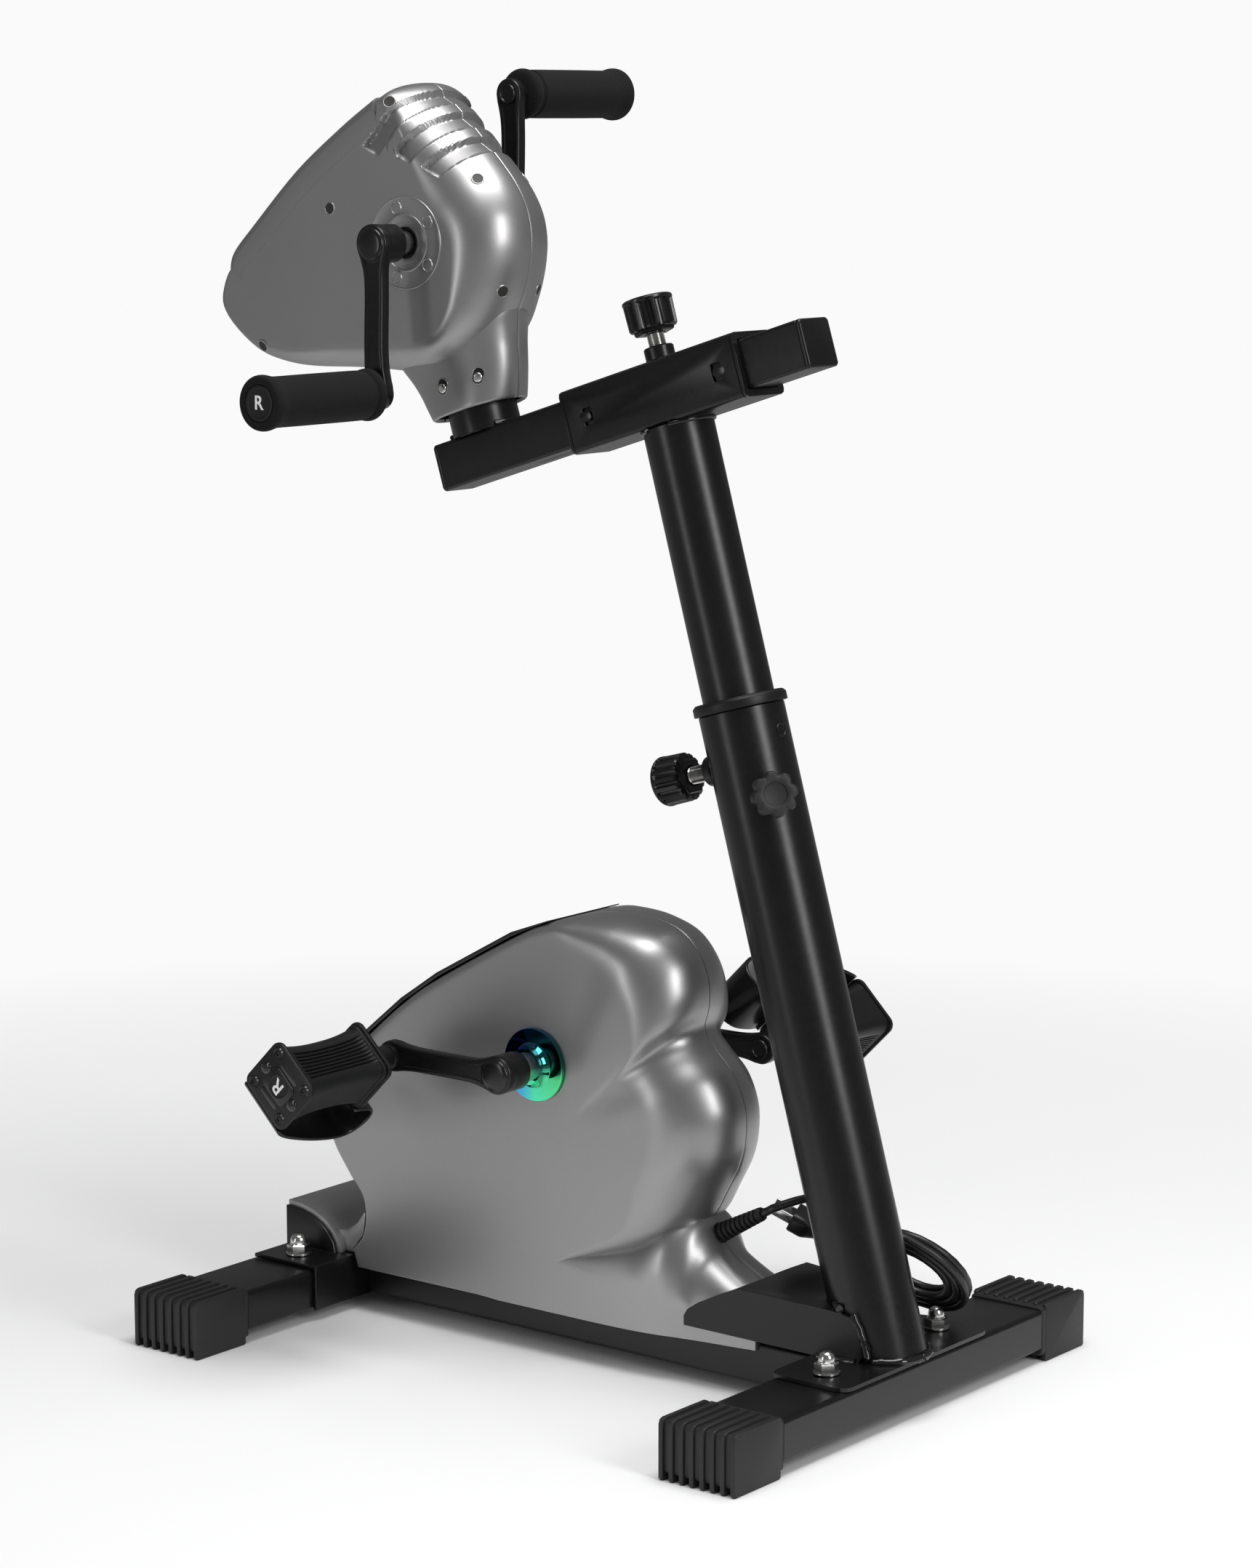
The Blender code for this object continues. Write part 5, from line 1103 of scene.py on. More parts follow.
LOWER_OUTLINE = (
    (-26, 300.5, 16, 47, 6), (6, 314.5, 18, 47, 6), (34, 320, 26, 47, 3.5), (64, 320, 34, 47, 2.6),
    (92, 313.5, 44, 48, 2.2), (110, 298, 48, 48, 2), (117.5, 279, 48, 48, 2), (118, 262, 46, 48, 2),
    (114.5, 246, 56, 48, 2), (123, 233, 48, 48, 2), (139, 217, 50, 49, 2), (149, 196, 52, 49, 2),
    (150.5, 175, 52, 49, 2), (146, 154, 50, 49, 2), (134, 131, 46, 49, 2), (124, 114, 40, 49, 2),
    (108, 97, 30, 49, 2), (85, 84, 22, 49, 2), (55, 73, 16, 49, 2), (25, 62, 12, 49, 2), (0, 45, 6, 49, 2.5),
    (-25, 33.5, 2, 49, 6), (-60, 33.5, 2, 49, 6), (-170.5, 33.5, 3, 49, 6), (-176, 46, 4, 49, 4),
    (-166.5, 58, 5, 49, 4), (-164.5, 74, 6, 49, 4), (-169, 88, 8, 49, 3.5), (-183, 104.5, 9, 49, 3.5),
    (-199, 126, 11, 49, 3.3), (-206, 148, 16, 49, 3), (-199, 171, 20, 48, 3), (-184, 191, 18, 47, 4),
    (-165, 210, 16, 47, 5), (-130, 239, 16, 47, 6), (-96, 262, 16, 47, 6))


@dataclass
class HandHousing(Housing):
    """Upper housing, with three stepped louvres over the back of its head."""
    name: str = "upper_shell"
    body: str = "slide"
    outline: Table = UPPER_OUTLINE
    centre: Point = (-118.6, 787.0)
    side_width: float = 44.0
    flats: Tuple[Point, ...] = ((0.2, 0.25), (0.45, 1.0))
    hole: float = 10.8
    spacing: float = 3.4
    round_rows: int = 66
    side_reaches: Row = tuple([0.0125 * k for k in range(1, 25)] + [0.34, 0.38, 0.42, 0.46, 0.55, 0.7, 0.85, 1.0])
    fine_zone: Tuple[float, float] = (46.0, 128.0)
    fine_spacing: float = 0.85
    louvre_turn: float = radians(227.0)
    louvres: Table = ((-697.0, -683.3, -517.5), (-673.3, -658.6, -534.0), (-648.6, -634.2, -543.5))
    louvre_deep: float = 4.2
    louvre_shallow: float = 0.9
    louvre_edge: float = 1.5
    post_along: float = -0.167
    neck: Table = (
        (32.5, -37.0, 33.2, 26.6), (33.4, -38.2, 34.3, 27.7), (35.0, -38.9, 35.2, 28.0), (42.0, -41.3, 38.2, 28.1),
        (52.0, -44.2, 41.8, 28.6), (62.0, -48.0, 44.6, 29.8), (72.0, -53.0, 47.0, 31.6), (82.0, -58.0, 50.2, 33.6),
        (92.0, -62.0, 54.0, 35.2), (102.0, -65.0, 55.0, 36.0))
    ring_x: float = 0.04425
    wells: Tuple[Point, ...] = ((-134, 885), (-67, 832), (-50, 754), (-190, 810), (-258, 710))
    well_radius: float = 0.0046
    neck_screws: Tuple[Point, ...] = ((-98, 686), (-68.5, 694.8))
    lid_line: Table = (
        (-292.3, 765.5, -281, 758), (-288, 778, -279, 768.5), (-269, 797, -259, 786.5), (-225.5, 837, -215, 825.5),
        (-183, 867.5, -174, 855), (-155, 885, -149, 871.5), (-149.5, 888, -146.5, 877))
    lid_round: float = 8.0
    lid_half: float = 0.0443
    lid_skirt: float = 0.0055

    def relief(self, x: float, y: float, z: float) -> float:
        """Depth of the louvre pockets, each deep at its upper edge."""
        way = (cos(self.louvre_turn), sin(self.louvre_turn))
        along = y * way[0] + z * way[1]
        down = -y * way[1] + z * way[0]
        for low, high, end in self.louvres:
            stop = end - (down - low) * 0.3
            near = smooth_step((stop - along) / self.louvre_edge + 0.5)
            inside = (smooth_step((down - low) / self.louvre_edge + 0.5)
                      * smooth_step((high - down) / self.louvre_edge + 0.5))
            if near * inside > 0.0:
                share = min(max((down - low) / (high - low), 0.0), 1.0)
                depth = self.louvre_deep + (self.louvre_shallow - self.louvre_deep) * share
                return depth * near * inside
        return 0.0

    def add_forms(self, bm: BMesh, side: Side) -> None:
        """Add one half of the neck, which runs up into the head.

        Args:
            bm: The half's skin.
            side: Which half.
        """
        base = LAYOUT.sleeve_centre + LAYOUT.slide_along * self.post_along
        turns = [-90.0, -89.0, -87.0] + [-84.0 + 4.0 * k for k in range(43)] + [87.0, 89.0, 90.0]
        rings = spline(self.neck, 4)

        def place(column: int, row: int) -> Vector:
            """Point of the neck's skin."""
            up, front, back, width = rings[row]
            turn = radians(turns[column])
            reach = copysign(abs(sin(turn)) ** 0.86, turn) - (self.groove / 40 if turn > 1.57 else 0)
            reach += self.groove / 40 if turn < -1.57 else 0
            along = (back + front) / 2 + (back - front) / 2 * reach
            across = width * max(cos(turn), 0.0) ** 0.86
            return (base + (LAYOUT.slide_along * along + LAYOUT.slide_up * up) * MM
                    + X_AXIS * side.value * (across * MM + GAP / 2))

        self.join_form(bm, side, place, len(turns) - 1, len(rings) - 1)

    def build(self) -> None:
        """Make the halves and what is moulded or screwed on their sides."""
        super().build()
        for side in Side:
            self.make_axle_ring(side)
            for index, (y, z) in enumerate(self.wells):
                self.make_well(f"screw_well_{index}_{side.word}", side, y, z)
            for index, (y, z) in enumerate(self.neck_screws):
                self.make_neck_screw(f"neck_screw_{index}_{side.word}", side, y, z)
        self.make_lid()

    def make_axle_ring(self, side: Side) -> None:
        """Thin round plate at the axle with five round bosses and a raised inner ring."""
        profile = [(0.0112, -0.001), (0.0112, 0.0002), (0.015, 0.0000), (0.0186, 0.0002), (0.019, 0.0009),
                   (0.02, 0.001), (0.0205, 0.0003), (0.0316, 0.0002), (0.032, 0.0006), (0.0326, 0.0006),
                   (0.033, 0.0), (0.033, -0.0006)]
        bm = lathe(rounded(profile, 0.0004, 2), 72)
        for k in range(5):
            angle = radians(18 + 72 * k)
            boss = lathe([(0.0, 0.0006), (0.0038, 0.0006), (0.0042, 0.001), (0.0046, 0.001), (0.005, 0.0001)], 24)
            join_into(bm, boss, Matrix.Translation((0.0255 * cos(angle), 0.0255 * sin(angle), 0)))
        out = X_AXIS * side.value
        spot = LAYOUT.hand_axle + out * self.ring_x
        make_piece(f"axle_ring_{side.word}", bm, self.finish, self.body, place_on(spot, out, Z_AXIS))
        bush = lathe([(0.0088, -0.004), (0.0088, -0.0012), (0.0112, -0.0012), (0.0112, 0.0006), (0.0107, 0.0008)], 48)
        make_piece(f"axle_bush_{side.word}", bush, BLACK_PLASTIC, self.body, place_on(spot, out))

    def surface_at(self, side: Side, y: float, z: float) -> Tuple[Vector, Vector]:
        """Spot and outward direction of the finished skin at a side-view place.

        Args:
            side: Which half.
            y: Place in millimetres.
            z: Place in millimetres.

        Returns:
            The spot and the direction.
        """
        shell = bpy.data.objects[f"{self.name}_{side.word}_dressed"]
        start = Vector((side.value * 0.12, y * MM, z * MM))
        hit, spot, normal, _ = shell.ray_cast(start, X_AXIS * -side.value)
        if not hit:
            raise ValueError(f"no skin at {y}, {z}")
        return spot, normal

    def make_well(self, name: str, side: Side, y: float, z: float) -> None:
        """Well with a rolled rim round a dark disc of painted shade."""
        spot, normal = self.surface_at(side, y, z)
        place, radius = place_on(spot, normal, Z_AXIS), self.well_radius
        rim = rounded([(radius * 0.84, 0.0001), (radius * 0.86, 0.0004), (radius, 0.0004), (radius * 1.08, -0.0004)],
                      0.0002, 2)
        make_piece(name + "_rim", lathe(rim, 32), self.finish, self.body, place, 40.0)
        # The dark disc is painted shade inside the well, laid just above the skin.
        well = lathe([(0.0, 0.00012), (radius * 0.5, 0.00014), (radius * 0.86, 0.00022)], 32)
        make_piece(name, well, HOLE_SHADE, self.body, place, 20.0)

    def make_neck_screw(self, name: str, side: Side, y: float, z: float) -> None:
        """Slotted recess, drawn as a rolled rim round a dark plate of painted shade, with a zinc pan-head screw."""
        spot, normal = self.surface_at(side, y, z)
        place = place_on(spot, normal, Vector((0, 0.3, 1)))
        # The dark plate inside the rim is painted shade for the hollow of the recess.
        for part, finish, high, wide, top in (("rim", self.finish, 0.013, 0.0096, 0.0005),
                                              ("recess", BLACK_PLASTIC, 0.0114, 0.008, 0.0006)):
            bm = prism(rounded_rectangle(high, wide, wide * 0.48, 6), -0.001, top, 0.0003)
            make_piece(f"{name}_{part}", bm, finish, self.body, place)
        head = rounded([(0.0, 0.0019), (0.0022, 0.0017), (0.0034, 0.0011), (0.0037, 0.0002), (0.0, -0.0004)], 0.0005)
        make_piece(name, lathe(head, 28), ZINC, self.body, place @ Matrix.Translation((-0.0012, 0.0, 0.0)))

    def make_lid(self) -> None:
        """Front lid with broad rounded edges, and the polished plate let into its face."""
        line = spline(self.lid_line, 5)
        bend = self.lid_round * MM
        turns = [radians(10 * k) for k in range(10)]
        rings, plate = [], []
        for index, (top_y, top_z, low_y, low_z) in enumerate(line):
            top, low = Vector((0.0, top_y, top_z)) * MM, Vector((0.0, low_y, low_z)) * MM
            out = (top - low).normalized()
            drawn_in = 0.001 * (index in (0, len(line) - 1))
            half = self.lid_half - drawn_in
            top = top - out * drawn_in
            arc = [X_AXIS * (half - bend + bend * cos(t)) + top - out * bend * (1 - sin(t)) for t in turns]
            mirrored = [Vector((-spot.x, spot.y, spot.z)) for spot in reversed(arc)]
            foot = low - out * self.lid_skirt
            rings.append([foot + X_AXIS * half] + arc + mirrored + [foot - X_AXIS * half])
            plate.append([top + X_AXIS * x + out * rise for x, rise in
                          ((0.0335, -0.001), (0.0335, 0.0003), (0.033, 0.0006), (-0.033, 0.0006),
                           (-0.0335, 0.0003), (-0.0335, -0.001))])
        lid = stand_in("upper_panel", loft(rings), self.finish, self.body, None, 40.0)
        make_piece("upper_panel_plate", loft(plate[1:-1]), GLOSS_BLACK, self.body, None, 40.0, parent=lid)


@dataclass
class FootHousing(Housing):
    """Lower housing with its two lobes at the back and the long tail over the beam.

    The tail's sections are (y, half width, height of its side, shoulder's x, height of its ridge).
    """
    name: str = "lower_shell"
    body: str = "base"
    outline: Table = LOWER_OUTLINE
    centre: Point = (2.0, 150.0)
    side_width: float = 49.0
    flats: Tuple[Point, ...] = ((0.55, 1.0),)
    hole: float = 0.0
    spacing: float = 2.6
    round_rows: int = 40
    side_reaches: Row = (0.02, 0.04, 0.07, 0.1, 0.14, 0.18, 0.23, 0.28, 0.34, 0.4, 0.46, 0.52, 0.58, 0.68, 0.8, 0.9,
                         0.9999)
    tail: Table = (
        (-35, 49.03, 72, 48, 84), (6, 49.03, 72, 48.4, 84), (30, 49.03, 70.5, 46, 92), (53, 49, 68.5, 42, 100),
        (79, 48.2, 65.5, 40, 109), (97, 46.6, 63, 45.5, 116), (110, 44.6, 61.5, 45, 117), (121, 42, 60, 35.5, 114),
        (128, 40.8, 58, 28, 103), (135, 39.4, 56, 28, 92), (151, 37, 53, 29, 81.5), (167, 35, 50, 29, 73),
        (179, 33, 46, 28, 63.5), (184, 31.5, 41, 28, 49), (184.6, 20, 37, 18, 41), (184.8, 1.0, 34, 1.0, 34.2))

    def add_forms(self, bm: BMesh, side: Side) -> None:
        """Add one half of the tail, whose chamfered flank leaves the side in a wedge.

        Args:
            bm: The half's skin.
            side: Which half.
        """
        rings = spline(self.tail, 4)
        steps = 24

        def place(column: int, row: int) -> Vector:
            """Point of the tail's skin."""
            y, half, flank, shoulder, ridge = rings[row]
            if column < 4:
                x, z = half, 33.5 + (flank - 33.5) * column / 3.5
                z = min(z, flank - 0.6)
            else:
                t = (column - 4) / steps
                x = half * (1 - t) ** 2 + 2 * shoulder * t * (1 - t)
                z = flank * (1 - t) ** 2 + ridge * (1 - (1 - t) ** 2) - (self.groove if column == steps + 4 else 0)
            return Vector((side.value * (x * MM + GAP / 2), y * MM, z * MM))

        self.join_form(bm, side, place, steps + 4, len(rings) - 1)


# Floor frame
def square_tube(width: float, height: float, wall: float, radius: float, low: float, high: float) -> BMesh:
    """Rectangular tube along Z with round corners and open ends.

    Args:
        width: Size in X.
        height: Size in Y.
        wall: Thickness of its wall.
        radius: Outer corner radius.
        low: Start along Z.
        high: End along Z.

    Returns:
        The tube.
    """
    outer = rounded_rectangle(width, height, radius, 6)
    inner = rounded_rectangle(width - 2 * wall, height - 2 * wall, max(radius - wall, 0.0005), 6)
    rim = rounded_rectangle(width - 0.0008, height - 0.0008, radius - 0.0004, 6)
    levels = [(outer, low + 0.0004), (outer, high - 0.0004), (rim, high), (inner, high), (inner, low),
              (rim, low), (outer, low + 0.0004)]
    return loft([[Vector((x, y, level)) for x, y in ring] for ring, level in levels])


@dataclass
class FloorFrame:
    """Two cross bars with ribbed feet, the beam between them and the plates bolted on them."""
    bar_width: float = 0.06
    bar_height: float = 0.03
    bar_wall: float = 0.0015
    bar_round: float = 0.0035
    bar_bottom: float = 0.0085
    bar_half: float = 0.156
    column_bar_y: float = 0.267
    user_bar_y: float = -0.2095
    bracket_wall: float = 0.003
    cap_end: float = 0.2095
    cap_width: float = 0.062
    cap_bottom: float = 0.0045
    cap_top: float = 0.0405
    ribs: int = 8
    rib_width: float = 0.0036
    rib_proud: float = 0.0018
    nut_half: float = 0.0074
    nut_turn: float = 12.0
    column_nut_x: float = 0.066
    user_nut_x: float = 0.07

    def build(self) -> None:
        """Make the whole frame."""
        self.make_bars()
        rows = (("column", self.column_nut_x, self.column_bar_y), ("user", self.user_nut_x, self.user_bar_y))
        for row, _, y in rows:
            for side in Side:
                self.make_cap(f"{row}_bar_cap_{side.word}", y, side)
        refine("user_bar_bracket", BLACK_PAINT, "base", 0.0007)
        refine("toe_cover", SILVER, "base", 0.0008, 30.0, 3)
        refine("column_base", BLACK_PAINT, "base", 0.0007)
        for row, x, y in rows:
            for side in Side:
                self.make_nut(f"cap_nut_{row}_{side.word}", side.value * x, y)
        self.make_welds()

    def make_bars(self) -> None:
        """Cross bars and the beam, as rolled tube with round corners."""
        start = self.user_bar_y + self.bar_width / 2 + self.bracket_wall + 2 * GAP
        end = self.column_bar_y - self.bar_width / 2 - GAP
        for name, y, along, across, low, high in (
                ("column_cross_bar", self.column_bar_y, X_AXIS, Y_AXIS, -self.bar_half, self.bar_half),
                ("user_cross_bar", self.user_bar_y, X_AXIS, Y_AXIS, -self.bar_half, self.bar_half),
                ("base_beam", 0.0, Y_AXIS, X_AXIS, start, end)):
            bm = square_tube(self.bar_width, self.bar_height, self.bar_wall, self.bar_round, low, high)
            place = place_on(Vector((0.0, y, self.bar_bottom + self.bar_height / 2)), along, across)
            stand_in(name, bm, BLACK_PAINT, "base", place, 35.0)

    def make_cap(self, name: str, y: float, side: Side) -> None:
        """Plastic cap with ribs that wrap over its top, end and foot.

        Args:
            name: The cap's name.
            y: Middle of its bar.
            side: End of the bar that it closes.
        """
        start, end, height = self.bar_half + GAP, self.cap_end, self.cap_top - self.cap_bottom
        outline = rounded_rectangle(self.cap_width - 0.0008, height, 0.0032, 5)
        centre = (self.cap_top + self.cap_bottom) / 2
        rings = []
        for level, shrink in ((start, 0.0012), (start + 0.0012, 0.0), (end - 0.003, 0.0), (end - 0.0009, 0.0009),
                              (end, 0.003)):
            factor_x, factor_y = 1.0 - 2 * shrink / self.cap_width, 1.0 - 2 * shrink / height
            rings.append([Vector((px * factor_x, centre + py * factor_y, level)) for px, py in outline])
        bm = loft(rings)
        tongue = prism(rounded_rectangle(self.bar_width - 0.007, self.bar_height - 0.008, 0.002, 3),
                       start - 0.014, start + 0.003, 0.0006)
        join_into(bm, tongue, Matrix.Translation((0.0, self.bar_bottom + self.bar_height / 2, 0.0)))
        pitch = (self.cap_width - self.rib_width) / (self.ribs - 1)
        low, high, top = start + 0.004, end + self.rib_proud, self.cap_top + self.rib_proud
        reach = [(low, top - 0.0012), (low + 0.0022, top), (high - 0.0042, top), (high - 0.0012, top - 0.0012),
                 (high, top - 0.0042), (high, 0.0016), (high - 0.0016, 0.0), (low + 0.0022, 0.0), (low, 0.0012)]
        swap_axes = Matrix(((0, 0, 1, 0), (0, 1, 0, 0), (1, 0, 0, 0), (0, 0, 0, 1)))
        for rib in range(self.ribs):
            place = -self.cap_width / 2 + self.rib_width / 2 + rib * pitch
            piece = prism(reach, place - self.rib_width / 2, place + self.rib_width / 2, 0.0007)
            join_into(bm, piece, swap_axes)
        matrix = Matrix(((0, 0, side.value, 0), (side.value, 0, 0, y), (0, 1, 0, 0), (0, 0, 0, 1)))
        stand_in(name, bm, CAP_PLASTIC, "base", matrix, 32.0)

    def make_nut(self, name: str, x: float, y: float) -> None:
        """Domed cap nut on a washer."""
        bm = lathe(rounded([(0.0, 0.0001), (0.0095, 0.0001), (0.0095, 0.0016), (0.0072, 0.0016),
                            (0.0, 0.0017)], 0.0003, 2), 40)
        turns = [radians(60 * k + self.nut_turn) for k in range(6)]
        corner = self.nut_half / cos(radians(30))
        join_into(bm, loft([[Vector((share * corner * cos(turn), share * corner * sin(turn), level)) for turn in turns]
                            for level, share in ((0.0016, 0.94), (0.0021, 1.0), (0.0072, 1.0), (0.008, 0.9))]))
        dome = [(0.0066, 0.0076), (0.0064, 0.0086), (0.006, 0.009), (0.0059, 0.0112), (0.0052, 0.0132),
                (0.004, 0.0146), (0.0022, 0.0154), (0.0, 0.0157)]
        join_into(bm, lathe(dome, 40))
        stand_in(name, bm, ZINC, "base", Matrix.Translation((x, y, LAYOUT.floor_plate + GAP)))

    def make_welds(self) -> None:
        """Weld beads between the base plate, its cheeks and the column."""
        top = LAYOUT.floor_plate
        beads = (((0.0385, 0.24, top), (0.0358, 0.256, top), (0.0342, 0.268, top)),
                 ((0.033, 0.2775, top + 0.004), (0.0318, 0.274, 0.054), (0.0315, 0.27, 0.064),
                  (0.0312, 0.264, 0.0735)),
                 ((0.033, 0.254, 0.076), (0.027, 0.247, 0.0765), (0.02, 0.242, 0.077)),
                 ((0.03, 0.279, top + 0.001), (0.0255, 0.286, top + 0.001), (0.015, 0.2965, top + 0.001),
                  (0.0, 0.3, top + 0.001)))
        for index, (side, bead) in enumerate((side, bead) for side in Side for bead in beads):
            route = [Vector(spot) for spot in spline([(side.value * x, y, z) for x, y, z in bead], 7)]
            rope = tube_along(route, 0.0028)
            for vert in rope.verts:
                wave = sin(vert.co.x * 2400) * sin(vert.co.y * 2100 + vert.co.z * 1900)
                vert.co += Vector((0.0, 0.0, 0.0008)) * wave
            make_piece(f"weld_bead_{index}", rope, WELD, "base", None, 60.0)


# Column, sleeve and sliding tube
@dataclass
class Column:
    """Leaning telescopic column, with its collar and the sleeve on top."""
    outer_radius: float = 0.03
    outer_wall: float = 0.002
    outer_top: float = 0.493
    inner_radius: float = 0.025
    inner_bore: float = 0.023
    inner_from: float = 0.33
    inner_to: float = 0.726
    collar_radius: float = 0.0328
    collar_height: float = 0.008
    star_along: float = 0.431
    star_turn: float = radians(47.0)
    sleeve_size: float = 0.045
    spare_hole_along: float = 0.473

    def place(self) -> Matrix:
        """Matrix whose Z runs up the column from its foot."""
        return place_on(LAYOUT.column_foot, LAYOUT.lean_up)

    @property
    def star_way(self) -> Vector:
        """Direction in which the star knob points."""
        return X_AXIS * cos(self.star_turn) + LAYOUT.lean_back * sin(self.star_turn)

    def build(self) -> None:
        """Make the column's pieces."""
        self.make_outer_tube()
        self.make_inner_tube()
        self.make_collar()
        refine("sleeve", BLACK_PAINT, "column", 0.0006)
        refine("sleeve_liner", STRAP_BLACK, "column", 0.0004)
        self.make_latches()
        self.make_spare_hole()

    def cut_tube(self, profile: Sequence[Point], spot: Vector, normal: Vector) -> BMesh:
        """Round tube round the column's axis, cut off by a plane.

        Args:
            profile: Its (radius, height) points.
            spot: Any point of the plane.
            normal: Side of the plane that is cut away.

        Returns:
            The tube in its place.
        """
        bm = lathe(profile, 80)
        bmesh.ops.transform(bm, matrix=self.place(), verts=bm.verts)
        geom = bm.verts[:] + bm.edges[:] + bm.faces[:]
        bmesh.ops.bisect_plane(bm, geom=geom, dist=1e-7, plane_co=spot, plane_no=normal, clear_outer=True)
        return bm

    def make_outer_tube(self) -> None:
        """Outer tube, cut level at its foot, with the star knob's boss."""
        rim, top, low = self.outer_radius, self.outer_top, 0.03
        bore = rim - self.outer_wall
        bm = self.cut_tube([(bore, low), (rim, low), (rim, top - 0.0006), (rim - 0.0006, top), (bore, top),
                            (bore, low)], Z_AXIS * (LAYOUT.floor_plate + GAP), -Z_AXIS)
        boss = lathe(rounded([(0.0044, 0.0285), (0.009, 0.0285), (0.009, 0.0388), (0.0046, 0.039)], 0.0008), 40)
        join_into(bm, boss, place_on(LAYOUT.column_foot + LAYOUT.lean_up * self.star_along, self.star_way))
        stand_in("column_outer_tube", bm, BLACK_PAINT, "base", None, 35.0)

    def make_inner_tube(self) -> None:
        """Inner tube, mitred against the underside of the sleeve, with the weld beads there."""
        rim, bore, low, high = self.inner_radius, self.inner_bore, self.inner_from, self.inner_to
        up, axis = LAYOUT.slide_up, LAYOUT.lean_up
        spot = LAYOUT.sleeve_centre - up * (self.sleeve_size / 2 + GAP)
        bm = self.cut_tube([(bore, low), (rim, low), (rim, high), (bore, high), (bore, low)], spot, up)
        stand_in("column_inner_tube", bm, BLACK_PAINT, "column", None, 35.0)
        bead = []
        for k in range(49):
            angle = 2 * pi * k / 48
            flat = X_AXIS * cos(angle) + LAYOUT.lean_back * sin(angle)
            ray = LAYOUT.sleeve_centre + flat * (rim + 0.0004)
            point = ray - axis * ((ray - spot).dot(up) / axis.dot(up) + 0.0004)
            if abs(point.x) < self.sleeve_size / 2 + 0.001:
                bead.append(point)
        for index, way in enumerate((1, -1)):
            part = [p for p in bead if (p - LAYOUT.sleeve_centre).dot(LAYOUT.lean_back) * way > 0]
            part.sort(key=lambda p: p.x)
            make_piece(f"sleeve_weld_{index}", tube_along(part, 0.0016), WELD, "column", None, 60.0)

    def make_collar(self) -> None:
        """Plastic collar with its bush inside the outer tube."""
        lip, rim = self.outer_top + GAP, self.collar_radius
        top, foot = lip + self.collar_height, lip - 0.012
        bush, bore = self.outer_radius - self.outer_wall - GAP, self.inner_radius + GAP
        outer = [(bore, foot), (bush, foot), (bush, lip), (rim, lip), (rim, top - 0.0022), (rim - 0.0022, top),
                 (bore, top), (bore, foot)]
        stand_in("column_collar", lathe(rounded(outer, 0.0005, 2), 72), BLACK_PLASTIC, "base", self.place())

    def make_latches(self) -> None:
        """Catches of the liner that show in the sleeve's windows."""
        for index, along in enumerate((-0.0602, 0.0602)):
            for side in Side:
                bm = prism(rounded_rectangle(0.0105, 0.0068, 0.003, 6), 0.0, 0.0006, 0.0003)
                out = X_AXIS * side.value
                spot = LAYOUT.sleeve_centre + LAYOUT.slide_along * along + out * (self.sleeve_size / 2 - 0.0002)
                make_piece(f"latch_{index}_{side.word}", bm, STRAP_BLACK, "column",
                           place_on(spot, out, LAYOUT.slide_along))

    def make_spare_hole(self) -> None:
        """Tapped hole in the back of the outer tube."""
        spot = (LAYOUT.column_foot + LAYOUT.lean_up * self.spare_hole_along
                + LAYOUT.lean_back * (self.outer_radius - 0.0004))
        ring = lathe([(0.0, 0.0002), (0.0035, 0.0002), (0.004, 0.0008), (0.0046, 0.0009), (0.005, 0.0002)], 32)
        make_piece("spare_hole", ring, BLACK_PLASTIC, "base", place_on(spot, LAYOUT.lean_back))


